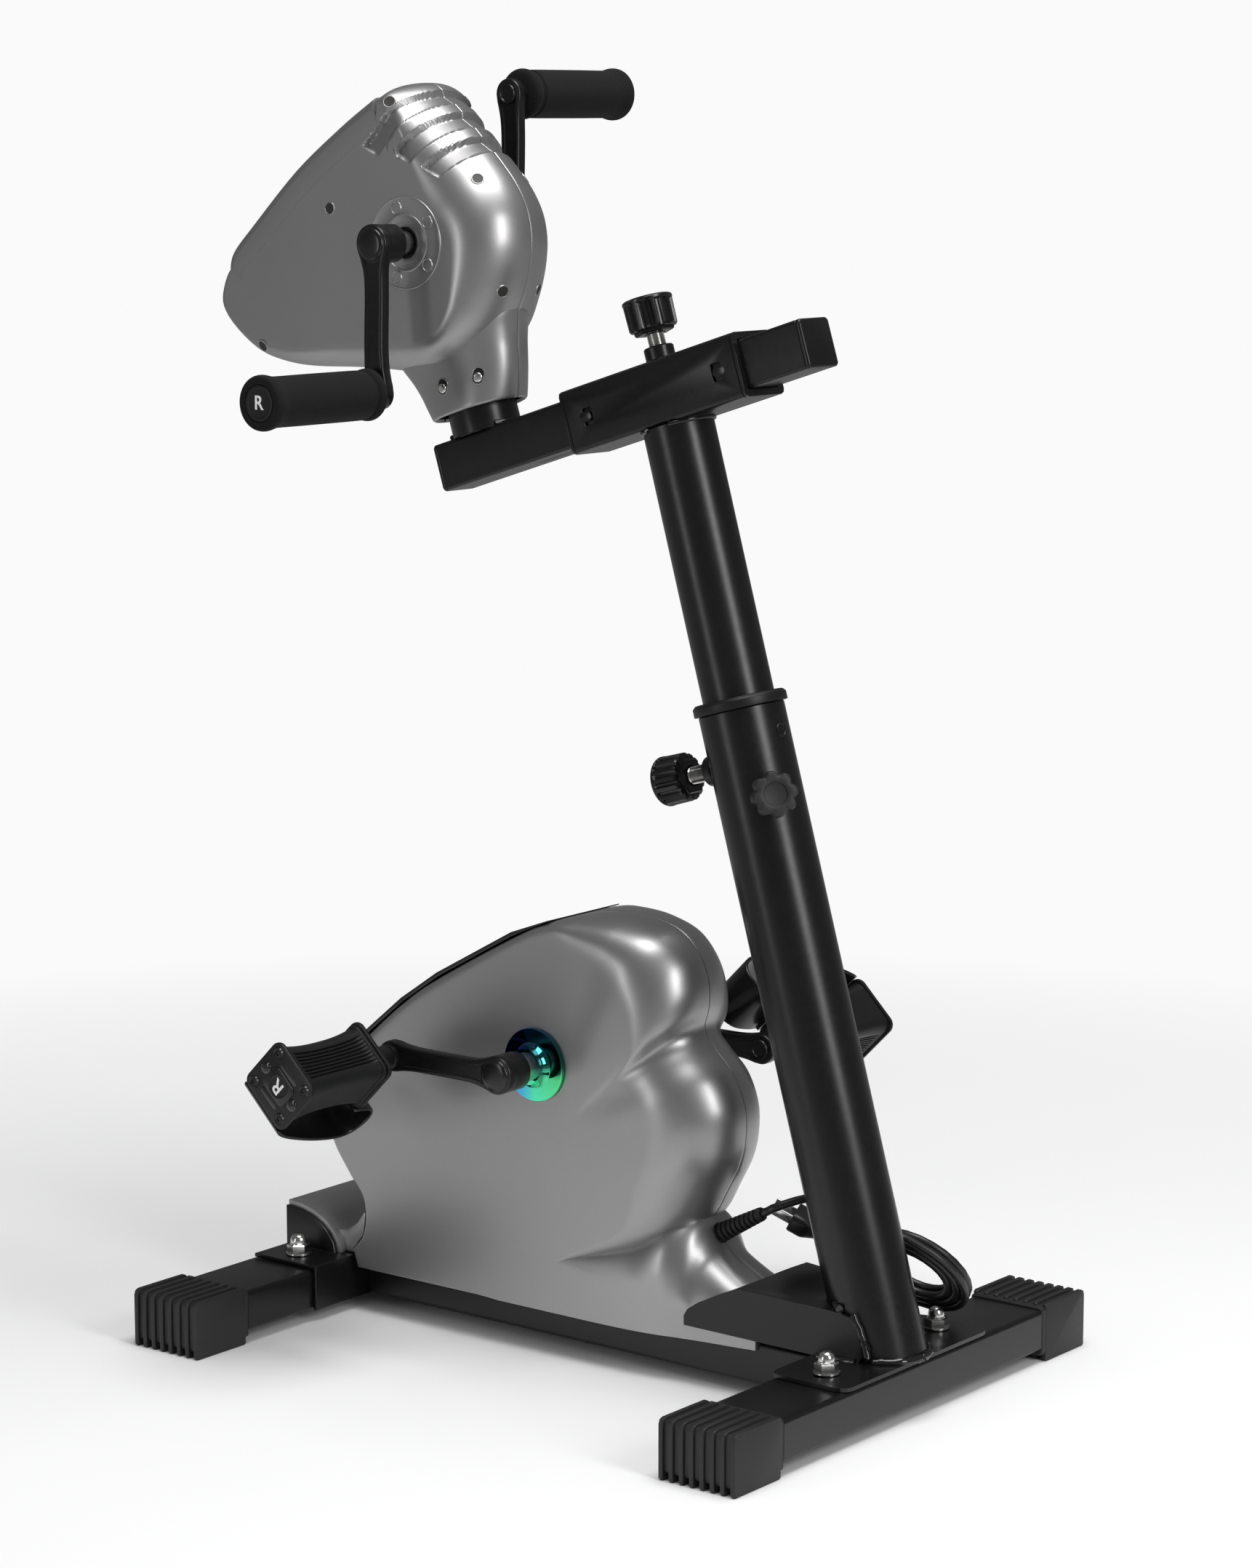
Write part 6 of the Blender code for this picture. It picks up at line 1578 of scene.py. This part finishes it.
@dataclass
class SlidingTube:
    """Square tube that slides in the sleeve, with end plugs and the post for the hand unit.

    The plugs' sections are (narrowing, corner radius, level), and the welds are (name, height over the tube,
    distance from the post, radius, middle angle, step).
    """
    size: float = 0.034
    wall: float = 0.002
    back: float = -0.203
    front: float = 0.1265
    post_along: float = -0.167
    post_radius: float = 0.025
    post_top: float = 0.088
    slot: Point = (-0.127, 0.03)
    plug_sections: Table = (
        (0.0045, 0.001, -0.004), (0.0045, 0.001, 0.0), (0.0004, 0.0028, 0.0), (0.0, 0.003, 0.0004),
        (0.0, 0.003, 0.0022), (0.001, 0.0028, 0.0031), (0.003, 0.002, 0.0036))
    weld_half: float = 0.0168
    welds: Tuple[Tuple[str, float, float, float, float, float], ...] = (
        ("post_weld_0", 0.0008, 0.0004, 0.0018, 90, 7), ("post_weld_1", 0.0008, 0.0004, 0.0018, -90, 7),
        ("post_weld_end_0", 0.001, 0.0006, 0.002, 180, 6), ("post_weld_end_2", 0.001, 0.0006, 0.002, 0, -6))

    def place(self) -> Matrix:
        """Matrix at the sleeve's centre whose Z runs along the slide."""
        return place_on(LAYOUT.sleeve_centre, LAYOUT.slide_along)

    def build(self) -> None:
        """Make the tube, plugs and post as one piece, the post's welds and a thin dark patch of painted shade for the
        slot underneath.
        """
        bm = square_tube(self.size, self.size, self.wall, 0.003, self.back, self.front)
        for end, way in ((self.front, 1), (self.back, -1)):
            plug = loft([[Vector((x, y, end + way * level))
                          for x, y in rounded_rectangle(self.size - less, self.size - less, radius, 6)]
                         for less, radius, level in self.plug_sections])
            bmesh.ops.recalc_face_normals(plug, faces=plug.faces)
            join_into(bm, plug)
        base = LAYOUT.sleeve_centre + LAYOUT.slide_along * self.post_along
        rim, bore, low = self.post_radius, self.post_radius - 0.002, self.size / 2 - 0.001
        post = lathe([(bore, low), (rim, low), (rim, self.post_top), (bore, self.post_top), (bore, low)], 64)
        bmesh.ops.transform(bm, matrix=self.place(), verts=bm.verts)
        join_into(bm, post, place_on(base, LAYOUT.slide_up))
        stand_in("slide_tube", bm, BLACK_PAINT, "slide", None, 35.0)
        for name, lift, clear, radius, middle, step in self.welds:
            rope = []
            for k in range(-6, 7):
                angle = radians(middle - step * k)
                across = (rim + clear) * sin(angle)
                rope.append(base + LAYOUT.slide_up * (self.size / 2 + lift)
                            + LAYOUT.slide_along * (rim + clear) * cos(angle)
                            + X_AXIS * min(max(across, -self.weld_half), self.weld_half))
            make_piece(name, tube_along(rope, radius), WELD, "slide", None, 60.0)
        # Painted shade: a thin dark patch on the tube's underside stands for the open slot.
        slot = prism(rounded_rectangle(self.slot[1] - self.slot[0], 0.009, 0.0045, 8), 0.0, 0.0002)
        spot = (LAYOUT.sleeve_centre + LAYOUT.slide_along * sum(self.slot) / 2
                - LAYOUT.slide_up * (self.size / 2 - 0.0001))
        make_piece("slide_slot", slot, HOLE_SHADE, "slide", place_on(spot, -LAYOUT.slide_up, LAYOUT.slide_along))


@dataclass
class PullPin:
    """Spring pin in a black boss, with a bright thread and a fluted knob."""
    name: str
    fixed_body: str
    knob_body: str
    origin: Vector
    way: Vector
    tip: float
    inside: float
    boss: Point
    thread: float
    knob: Point
    pin_radius: float = 0.004
    thread_radius: float = 0.0062
    boss_radius: float = 0.0105
    knob_radius: float = 0.0177
    flutes: int = 16
    per_flute: int = 10
    flute_depth: float = 0.0017

    def build(self) -> None:
        """Make the boss, the thread and the knob."""
        place = place_on(self.origin, self.way)
        bore, rim, wide = self.pin_radius + GAP, self.thread_radius, self.boss_radius
        low, high = self.boss
        boss = lathe([(rim, low - 0.0002), (wide + 0.0012, low - 0.0002), (wide + 0.0004, low + 0.001),
                      (wide, low + 0.0016), (wide, high - 0.0008), (wide - 0.0008, high), (rim, high)], 48)
        black = make_piece(self.name + "_boss", boss, BLACK_PAINT, self.fixed_body, place)
        profile = [(bore, self.inside), (rim, self.inside)]
        level = self.inside + 0.0004
        while level < self.thread - 0.0012:
            profile += [(rim, level), (rim - 0.0006, level + 0.0005)]
            level += 0.001
        profile += [(rim, self.thread - 0.0008), (rim - 0.0007, self.thread), (bore, self.thread), (bore, self.inside)]
        thread = make_piece(self.name + "_thread", lathe(profile, 40), ZINC, self.fixed_body, place, 20.0)
        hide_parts(self.name + "_barrel")
        black.parent = thread
        self.make_knob(place)

    def hexagon_reach(self, step: Row, k: int) -> float:
        """Radius of the hexagon collar at one of a ring's 48 points; its bore is round."""
        return step[0] / (cos(radians(7.5 * (k % 8) - 30)) if step[0] > 0.008 else 1.0)

    def knob_reach(self, step: Row, k: int) -> float:
        """Radius of the fluted knob at one point of a ring."""
        phase = (k % self.per_flute) / self.per_flute
        dip = smooth_step((phase - 0.42) / 0.14) * smooth_step((0.98 - phase) / 0.14)
        return step[0] - step[2] * self.flute_depth * dip

    def make_knob(self, place: Matrix) -> None:
        """Fluted knob with its pin, a hexagon collar at its mouth and a bright rivet on its end.

        Args:
            place: The pin's own place.
        """
        low, high = self.knob
        radius = self.knob_radius
        bm = fluted([(0.0086, low + 0.005, 0.0), (0.009, low + 0.0004, 0.0), (radius - 0.0034, low, 0.0),
                     (radius - 0.0016, low + 0.0006, 0.6), (radius - 0.0006, low + 0.002, 1.0),
                     (radius - 0.0003, high - 0.0048, 1.0), (radius - 0.0003, high - 0.004, 1.0),
                     (radius - 0.0003, high - 0.0032, 0.15), (radius, high - 0.0028, 0.0),
                     (radius, high - 0.0014, 0.0), (radius - 0.0005, high - 0.0006, 0.0),
                     (radius - 0.0014, high - 0.0001, 0.0), (radius - 0.004, high, 0.0)],
                    self.flutes * self.per_flute, self.knob_reach)
        join_into(bm, fluted([(0.0074, low - 0.0026), (0.0112, low - 0.0026), (0.0122, low - 0.0018),
                              (0.0122, low + 0.001), (0.0074, low + 0.001), (0.0074, low - 0.0026)], 48,
                             self.hexagon_reach))
        knob = stand_in(self.name + "_knob", bm, STRAP_BLACK, self.knob_body, place)
        pin = lathe([(0.0, self.tip), (self.pin_radius - 0.0008, self.tip), (self.pin_radius, self.tip + 0.001),
                     (self.pin_radius, low + 0.0052), (0.0, low + 0.0052)], 28)
        make_piece(self.name + "_shaft", pin, ZINC, self.knob_body, place, parent=knob)
        rivet = lathe([(0.007, high - 0.0001), (0.0066, high + 0.0004), (0.004, high + 0.0008), (0.0, high + 0.0009)],
                      32)
        make_piece(self.name + "_rivet", rivet, ZINC, self.knob_body, place, parent=knob)


@dataclass
class StarKnob:
    """Eight-lobed hand knob on the screw that steadies the inner tube."""
    origin: Vector
    way: Vector
    start: float = 0.0393
    radius: float = 0.016
    lobes: int = 8
    per_lobe: int = 16
    dip: float = 0.0026
    screw_radius: float = 0.0042
    screw_from: float = 0.0253

    def knob_reach(self, step: Row, k: int) -> float:
        """Radius of the lobed knob at one point of a ring."""
        wave = 0.5 - 0.5 * cos(2 * pi * k / self.per_lobe)
        return step[0] - step[2] * self.dip * wave ** 1.6

    def build(self) -> None:
        """Make the knob with a dished middle, and its screw."""
        place = place_on(self.origin, self.way)
        start, radius, foot = self.start, self.radius, self.screw_from
        bm = fluted([(0.0052, start, 0.0), (0.0075, start, 0.0), (0.0078, start + 0.006, 0.0),
                     (radius - 0.0026, start + 0.007, 0.8), (radius - 0.0006, start + 0.0084, 1.0),
                     (radius, start + 0.01, 1.0), (radius, start + 0.0198, 1.0),
                     (radius - 0.0005, start + 0.0212, 1.0), (radius - 0.0016, start + 0.0222, 0.9),
                     (radius - 0.004, start + 0.0225, 0.3), (0.0088, start + 0.0225, 0.0),
                     (0.0082, start + 0.0222, 0.0), (0.0078, start + 0.0212, 0.0), (0.004, start + 0.0205, 0.0)],
                    self.lobes * self.per_lobe, self.knob_reach)
        knob = stand_in("star_knob", bm, CAP_PLASTIC, "lock_knob", place, 32.0)
        screw = lathe([(0.0, foot), (self.screw_radius - 0.0006, foot), (self.screw_radius, foot + 0.0008),
                       (self.screw_radius, start + 0.001), (0.0, start + 0.001)], 28)
        make_piece("star_screw", screw, ZINC, "lock_knob", place, parent=knob)


# Cranks, pedals and grips
@dataclass
class Crank:
    """One crank arm with its hub, hub cap and the spindle at its far end."""
    name: str
    body: str
    axle: Vector
    way: Vector
    side: Side
    face: float
    length: float
    flare: float
    spindle_radius: float
    spindle_end: float
    hub_radius: float = 0.0138
    hub_length: float = 0.0235
    eye_radius: float = 0.0112
    thickness: float = 0.009
    waist: float = 0.0085
    collar_radius: float = 0.009
    collar_length: float = 0.004
    bore: float = 0.0063

    def outline(self) -> List[Point]:
        """The arm's outline, with u along the arm and v across it."""
        points = []
        for k in range(25):
            angle = radians(70 + 220 * k / 24)
            points.append((self.hub_radius * cos(angle), self.hub_radius * sin(angle)))
        lower = [points[-1], (0.013, -0.0102), (0.024, -self.waist), (self.length * 0.5, -self.waist * 0.98),
                 (self.length - 0.023, -self.waist), (self.length - 0.012, -self.eye_radius * 0.84),
                 (self.length - 0.005, -self.eye_radius * 0.96)]
        edge = spline(lower, 4)[1:]
        points += [(u, v) for u, v in edge]
        for k in range(1, 18):
            angle = radians(-115 + 230 * k / 18)
            points.append((self.length + self.eye_radius * cos(angle), self.eye_radius * sin(angle)))
        return points + [(u, -v) for u, v in reversed(edge)]

    def build(self) -> None:
        """Make the arm, hub, collar and spindle as one forged piece, and the cap."""
        face, radius = self.face, self.hub_radius - 0.0002
        bm = prism(self.outline(), face - self.thickness, face, 0.0016, 3)
        caps = [item for item in bm.faces if abs(item.normal.z) > 0.99 and len(item.verts) > 20]
        bmesh.ops.inset_region(bm, faces=caps, thickness=0.0018, depth=0.0)
        for inner in [item for item in bm.faces if abs(item.normal.z) > 0.99 and len(item.verts) > 20]:
            bmesh.ops.inset_region(bm, faces=[inner], thickness=0.0007, depth=-0.0007)
        bmesh.ops.triangulate(bm, faces=[item for item in bm.faces if len(item.verts) > 20])
        for vert in bm.verts:
            vert.co.z += self.flare * smooth_step((vert.co.x - 0.02) / (self.length - 0.04))
        hub = lathe(rounded([(self.bore, face - self.hub_length), (radius, face - self.hub_length),
                             (radius, face - 0.0006), (0.011, face + 0.0001), (0.0, face + 0.0001)], 0.0009), 64)
        join_into(bm, hub)
        out = face + self.flare
        wide, end = self.collar_radius, out + self.collar_length
        collar = lathe([(0.0, out - 0.0005), (wide, out - 0.0005), (wide, end - 0.0005), (wide - 0.0006, end),
                        (self.spindle_radius, end), (self.spindle_radius, self.spindle_end),
                        (0.0, self.spindle_end)], 40)
        back = out - self.thickness
        boss = lathe([(0.0, back - 0.0004), (0.0052, back - 0.0004), (0.0058, back - 0.0012), (0.007, back - 0.0014),
                      (0.0074, back - 0.0008), (0.0076, back + 0.0012)], 40)
        for part in (collar, boss):
            join_into(bm, part, Matrix.Translation((self.length, 0, 0)))
        place = place_on(self.axle, X_AXIS * self.side.value, self.way)
        arm = stand_in(self.name, bm, BLACK_PAINT, self.body, place, 32.0)
        cap = lathe([(0.0116, face - 0.0001), (0.0114, face + 0.0006), (0.0106, face + 0.0013),
                     (0.008, face + 0.0019), (0.004, face + 0.0022), (0.0, face + 0.0023)], 48)
        make_piece(self.name + "_cap", cap, STRAP_BLACK, self.body, place, 40.0, parent=arm)


@dataclass
class Pedal:
    """Saddle-shaped pedal between two square plates, with its foot strap."""
    side: Side
    centre: Vector
    toe: Vector
    size: float = 0.048
    outer: float = 0.2105
    inner: float = 0.127
    plate: float = 0.003
    corner: float = 0.0075
    boss_radius: float = 0.013
    boss_from: float = 0.0988
    spindle_bore: float = 0.0053
    strap_thick: float = 0.0028
    strap_half: float = 0.022
    grooves: int = 10
    groove_depth: float = 0.0015
    rows: int = 22
    route: Tuple[Point, ...] = (
        (0.2091, 0.0243), (0.2071, 0.027), (0.198, 0.034), (0.18, 0.043), (0.15, 0.0545),
        (0.122, 0.0615), (0.108, 0.06), (0.1005, 0.052), (0.1, 0.042), (0.106, 0.033),
        (0.118, 0.0285), (0.1274, 0.027), (0.1284, 0.0243))

    @property
    def body(self) -> str:
        """Body that the pedal moves with."""
        return f"{self.side.word}_pedal"

    def place(self) -> Matrix:
        """Matrix with X towards the strap and Z outwards along the spindle."""
        return place_on(self.centre, X_AXIS * self.side.value, self.toe)

    def ring(self, width: float, level: float, grooved: float) -> List[Vector]:
        """Section of the saddle, grooved on the face away from the strap.

        Args:
            width: Side of the section.
            level: Place along the spindle.
            grooved: How deep the grooves are there, as a share.

        Returns:
            The section's points.
        """
        half, radius = width / 2, width * 0.2
        flat = half - radius
        steps = 8 * self.grooves
        points = []
        for turn, (x, y, end) in enumerate(((1, 1, (-flat, half)), (-1, 1, (-half, -flat)), (-1, -1, (flat, -half)),
                                            (1, -1, (half, flat)))):
            for k in range(7):
                angle = radians(90 * turn + 15 * k)
                points.append(Vector((x * flat + radius * cos(angle), y * flat + radius * sin(angle), level)))
            start, stop = points[-1].copy(), Vector((*end, level))
            for k in range(1, steps):
                spot = start.lerp(stop, k / steps)
                across = spot.y / (0.7 * width)
                if turn == 1 and abs(across) < 0.5:
                    wave = 0.5 - 0.5 * cos(2 * pi * self.grooves * (across + 0.5))
                    spot.x += self.groove_depth * grooved * smooth_step((wave - 0.3) / 0.3)
                points.append(spot)
        return points

    def build(self) -> None:
        """Make the pedal body, its end fittings and the strap."""
        low, high = self.inner + self.plate, self.outer - self.plate
        rings = []
        for k in range(self.rows + 1):
            t = k / self.rows
            waist = 0.8 + 0.13 * abs(2 * t - 1) ** 2.4
            grooved = smooth_step((min(t, 1 - t) * (high - low) - 0.0035) / 0.003)
            rings.append(self.ring(self.size * waist, low + (high - low) * t, grooved))
        bm = loft(rings)
        for less, start, end, bevel in ((0.0, self.inner, low, 0.0007), (0.0, high, self.outer, 0.0007),
                                        (0.0024, low, self.inner + 2.1 * self.plate, 0.0008)):
            outline = rounded_rectangle(self.size - less, self.size - less, self.corner, 8)
            join_into(bm, prism(outline, start, end, bevel))
        boss = lathe(rounded([(self.spindle_bore, self.boss_from), (0.0088, self.boss_from),
                              (0.0092, self.inner - 0.009), (self.boss_radius, self.inner + 0.0005)], 0.0012), 48)
        join_into(bm, boss)
        pedal = stand_in(f"pedal_{self.side.word}", bm, BLACK_PLASTIC, self.body, self.place(), 32.0)
        self.make_end_fittings(pedal)
        self.make_strap()

    def make_end_fittings(self, pedal: Piece) -> None:
        """Plug, cap, side mark, screws, slots and wells of the outer plate.

        Args:
            pedal: The pedal that they belong to.
        """
        heads, slots, wells = bmesh.new(), bmesh.new(), bmesh.new()
        for y in (-0.0165, 0.0165):
            head = lathe(rounded([(0.0046, -0.0001), (0.0044, 0.0006), (0.003, 0.0012), (0.0, 0.0014)], 0.0006), 32)
            join_into(heads, head, Matrix.Translation((0, y, 0)))
            for turn in (35, 125):
                bar = prism(rounded_rectangle(0.0048, 0.001, 0.0003, 2), 0.0008, 0.00142, 0.0001)
                join_into(slots, bar, Matrix.Translation((0, y, 0)) @ Matrix.Rotation(radians(turn), 4, "Z"))
        for x in (-0.0165, 0.0165):
            for y in (-0.0165, 0.0165):
                well = lathe([(0.0, 0.0001), (0.0017, 0.0001), (0.0018, 0.0007), (0.0028, 0.0006),
                              (0.0033, 0.0011), (0.004, 0.0011), (0.0046, -0.0001)], 28)
                join_into(wells, well, Matrix.Translation((x, y, 0)))
            slot = prism(rounded_rectangle(0.0042, 0.019, 0.002, 5), -0.0002, 0.0003, 0.0001)
            join_into(slots, slot, Matrix.Translation((0.82 * x, 0, 0)))
        plug = prism(rounded_rectangle(0.0205, 0.025, 0.005, 6), -0.0004, 0.0008, 0.0005)
        cap = lathe(rounded([(0.0086, 0.0004), (0.0086, 0.0013), (0.0078, 0.0013), (0.0074, 0.0009),
                             (0.0, 0.001)], 0.0003), 48)
        mark = side_mark(self.side, 0.0148, 0.0002, 0.0012)
        place = self.place() @ Matrix.Translation((0, 0, self.outer))
        for name, bm, finish in (("plug", plug, STRAP_BLACK), ("cap", cap, BLACK_PLASTIC), ("mark", mark, MARK_WHITE),
                                 ("screws", heads, GLOSS_BLACK), ("slots", slots, GLOSS_BLACK),
                                 ("wells", wells, STRAP_BLACK)):
            make_piece(f"pedal_{name}_{self.side.word}", bm, finish, self.body, place, parent=pedal)

    def make_strap(self) -> None:
        """Springy strap that arches from plate to plate."""
        path = [Vector((s, 0.0, x)) for x, s in spline(self.route, 6)]
        section = rounded_rectangle(2 * self.strap_half, self.strap_thick, self.strap_thick * 0.46, 4)
        rings = []
        for i, spot in enumerate(path):
            if i in (0, len(path) - 1):
                ahead = X_AXIS * (1.0 if i == 0 else -1.0)
            else:
                ahead = (path[i + 1] - path[i - 1]).normalized()
            normal = Y_AXIS.cross(ahead).normalized()
            rings.append([spot + Y_AXIS * a + normal * b for a, b in section])
        stand_in(f"pedal_strap_{self.side.word}", loft(rings), STRAP_BLACK, self.body, self.place(), 40.0)


@dataclass
class Grip:
    """Foam hand grip with a ridged flange and a plug in its flared end."""
    side: Side
    axle: Vector
    way: Vector
    start: float = 0.09
    end: float = 0.2035
    radius: float = 0.0175
    bore: float = 0.0063

    def build(self) -> None:
        """Make the foam and its end plug with the side mark."""
        body = f"{self.side.word}_grip"
        place = place_on(self.axle + self.way * LAYOUT.hand_crank, X_AXIS * self.side.value, Z_AXIS)
        r, low, high = self.radius, self.start, self.end
        profile = [(r * 0.86, low), (r * 0.98, low + 0.001), (r * 1.04, low + 0.0026), (r * 1.045, low + 0.0048),
                   (r * 1.01, low + 0.0068), (r * 0.91, low + 0.0084), (r * 0.9, low + 0.0096),
                   (r * 0.97, low + 0.0114), (r, low + 0.014), (r * 1.005, low + 0.04), (r * 1.005, high - 0.04),
                   (r, high - 0.0165), (r * 1.03, high - 0.011), (r * 1.08, high - 0.007),
                   (r * 1.1, high - 0.0042), (r * 1.08, high - 0.0016), (r * 1.02, high - 0.0003), (r * 0.95, high)]
        end = [(0.0132, high - 0.0001), (0.0126, high - 0.001), (0.0, high - 0.001)]
        bm = lathe([(self.bore, low)] + [tuple(p) for p in spline(profile, 3)] + end, 72)
        foam = stand_in(f"grip_{self.side.word}", bm, FOAM, body, place, 50.0)
        plug = lathe(rounded([(0.0126, high - 0.0012), (0.0124, high + 0.0000), (0.0104, high + 0.0001),
                              (0.0098, high - 0.0003), (0.0, high - 0.0002)], 0.0004), 48)
        make_piece(f"grip_plug_{self.side.word}", plug, BLACK_PLASTIC, body, place, parent=foam)
        mark = side_mark(self.side, 0.0135, 0.00015, high)
        make_piece(f"grip_mark_{self.side.word}", mark, MARK_WHITE, body, place, parent=foam)


# Controls and the axle
@dataclass
class Controls:
    """Polished panel of the lower housing, its display and its three keys."""
    keys: Tuple[str, ...] = ("right", "middle", "left")

    def build(self) -> None:
        """Round and dress the panel, the display and the keys."""
        refine("lower_panel", GLOSS_BLACK, "base", 0.0006, 30.0, 3)
        refine("display_module", SCREEN, "base", 0.0004, 30.0)
        for key in self.keys:
            refine(f"button_{key}", BUTTON, f"{key}_key", 0.0005, 30.0)


@dataclass
class AxleDisc:
    """Mirror disc round the foot axle with a dark cone in its middle."""
    side: Side
    radius: float = 0.0265
    face: float = 0.0528
    cone_end: float = 0.0707
    bore: float = 0.0088

    def build(self) -> None:
        """Make the disc with its low cone, and the steel collar between it and the crank."""
        place = place_on(LAYOUT.foot_axle, X_AXIS * self.side.value)
        bore, face, rim = self.bore, self.face, self.radius
        disc = lathe([(bore, face - 0.003), (rim - 0.0004, face - 0.003), (rim, face - 0.0026), (rim, face - 0.0006),
                      (rim - 0.0006, face), (0.0165, face + 0.0004), (0.014, face + 0.003),
                      (0.0128, face + 0.0075), (bore, face + 0.0078)], 96)
        piece = stand_in(f"axle_disc_{self.side.word}", disc, MIRROR, "foot_crank", place)
        collar = lathe(rounded([(bore, face + 0.007), (0.0104, face + 0.007), (0.0104, self.cone_end),
                                (bore, self.cone_end)], 0.0006), 64)
        make_piece(f"axle_collar_{self.side.word}", collar, STEEL, "foot_crank", place, parent=piece)


def main() -> None:
    """Build every sub-assembly in order and report each one."""
    logging.basicConfig(level=logging.INFO, format="%(name)s: %(message)s")
    Studio().build()
    MainsLead().build()
    FloorFrame().build()
    FootHousing().build()
    column = Column()
    column.build()
    SlidingTube().build()
    HandHousing().build()
    Controls().build()
    foot = LAYOUT.column_foot
    PullPin("column_pin", "base", "column_knob", foot + LAYOUT.lean_up * 0.456, -LAYOUT.lean_back, 0.0253,
            0.0285, (0.03, 0.038), 0.054, (0.056, 0.0785)).build()
    PullPin("sleeve_pin", "column", "sleeve_knob", LAYOUT.sleeve_centre - LAYOUT.slide_along * 0.0015,
            LAYOUT.slide_up, 0.0173, 0.021, (0.0226, 0.033), 0.043, (0.045, 0.0675)).build()
    StarKnob(foot + LAYOUT.lean_up * column.star_along, column.star_way).build()
    for side in Side:
        foot_way, hand_way = LAYOUT.foot_way(side), LAYOUT.hand_way(side)
        Crank(f"foot_crank_{side.word}", "foot_crank", LAYOUT.foot_axle, foot_way, side, 0.0945,
              LAYOUT.foot_crank, 0.0, 0.005, 0.2025).build()
        Crank(f"hand_crank_{side.word}", "hand_crank", LAYOUT.hand_axle, hand_way, side, 0.0812,
              LAYOUT.hand_crank, 0.0045, 0.006, 0.1955).build()
        toe = Vector((0.0, -1.0, -side.value)).normalized()
        Pedal(side, LAYOUT.foot_axle + foot_way * LAYOUT.foot_crank, toe).build()
        Grip(side, LAYOUT.hand_axle, hand_way).build()
        AxleDisc(side).build()
    dress(STEEL, "foot_axle", "hand_axle", "gear_motor", "drive_frame", "foot_bearing_right",
          "foot_bearing_left", "hand_bearing")
    dress(RUBBER, "drive_belt", "motor_pulley")


if __name__ == "__main__":
    main()
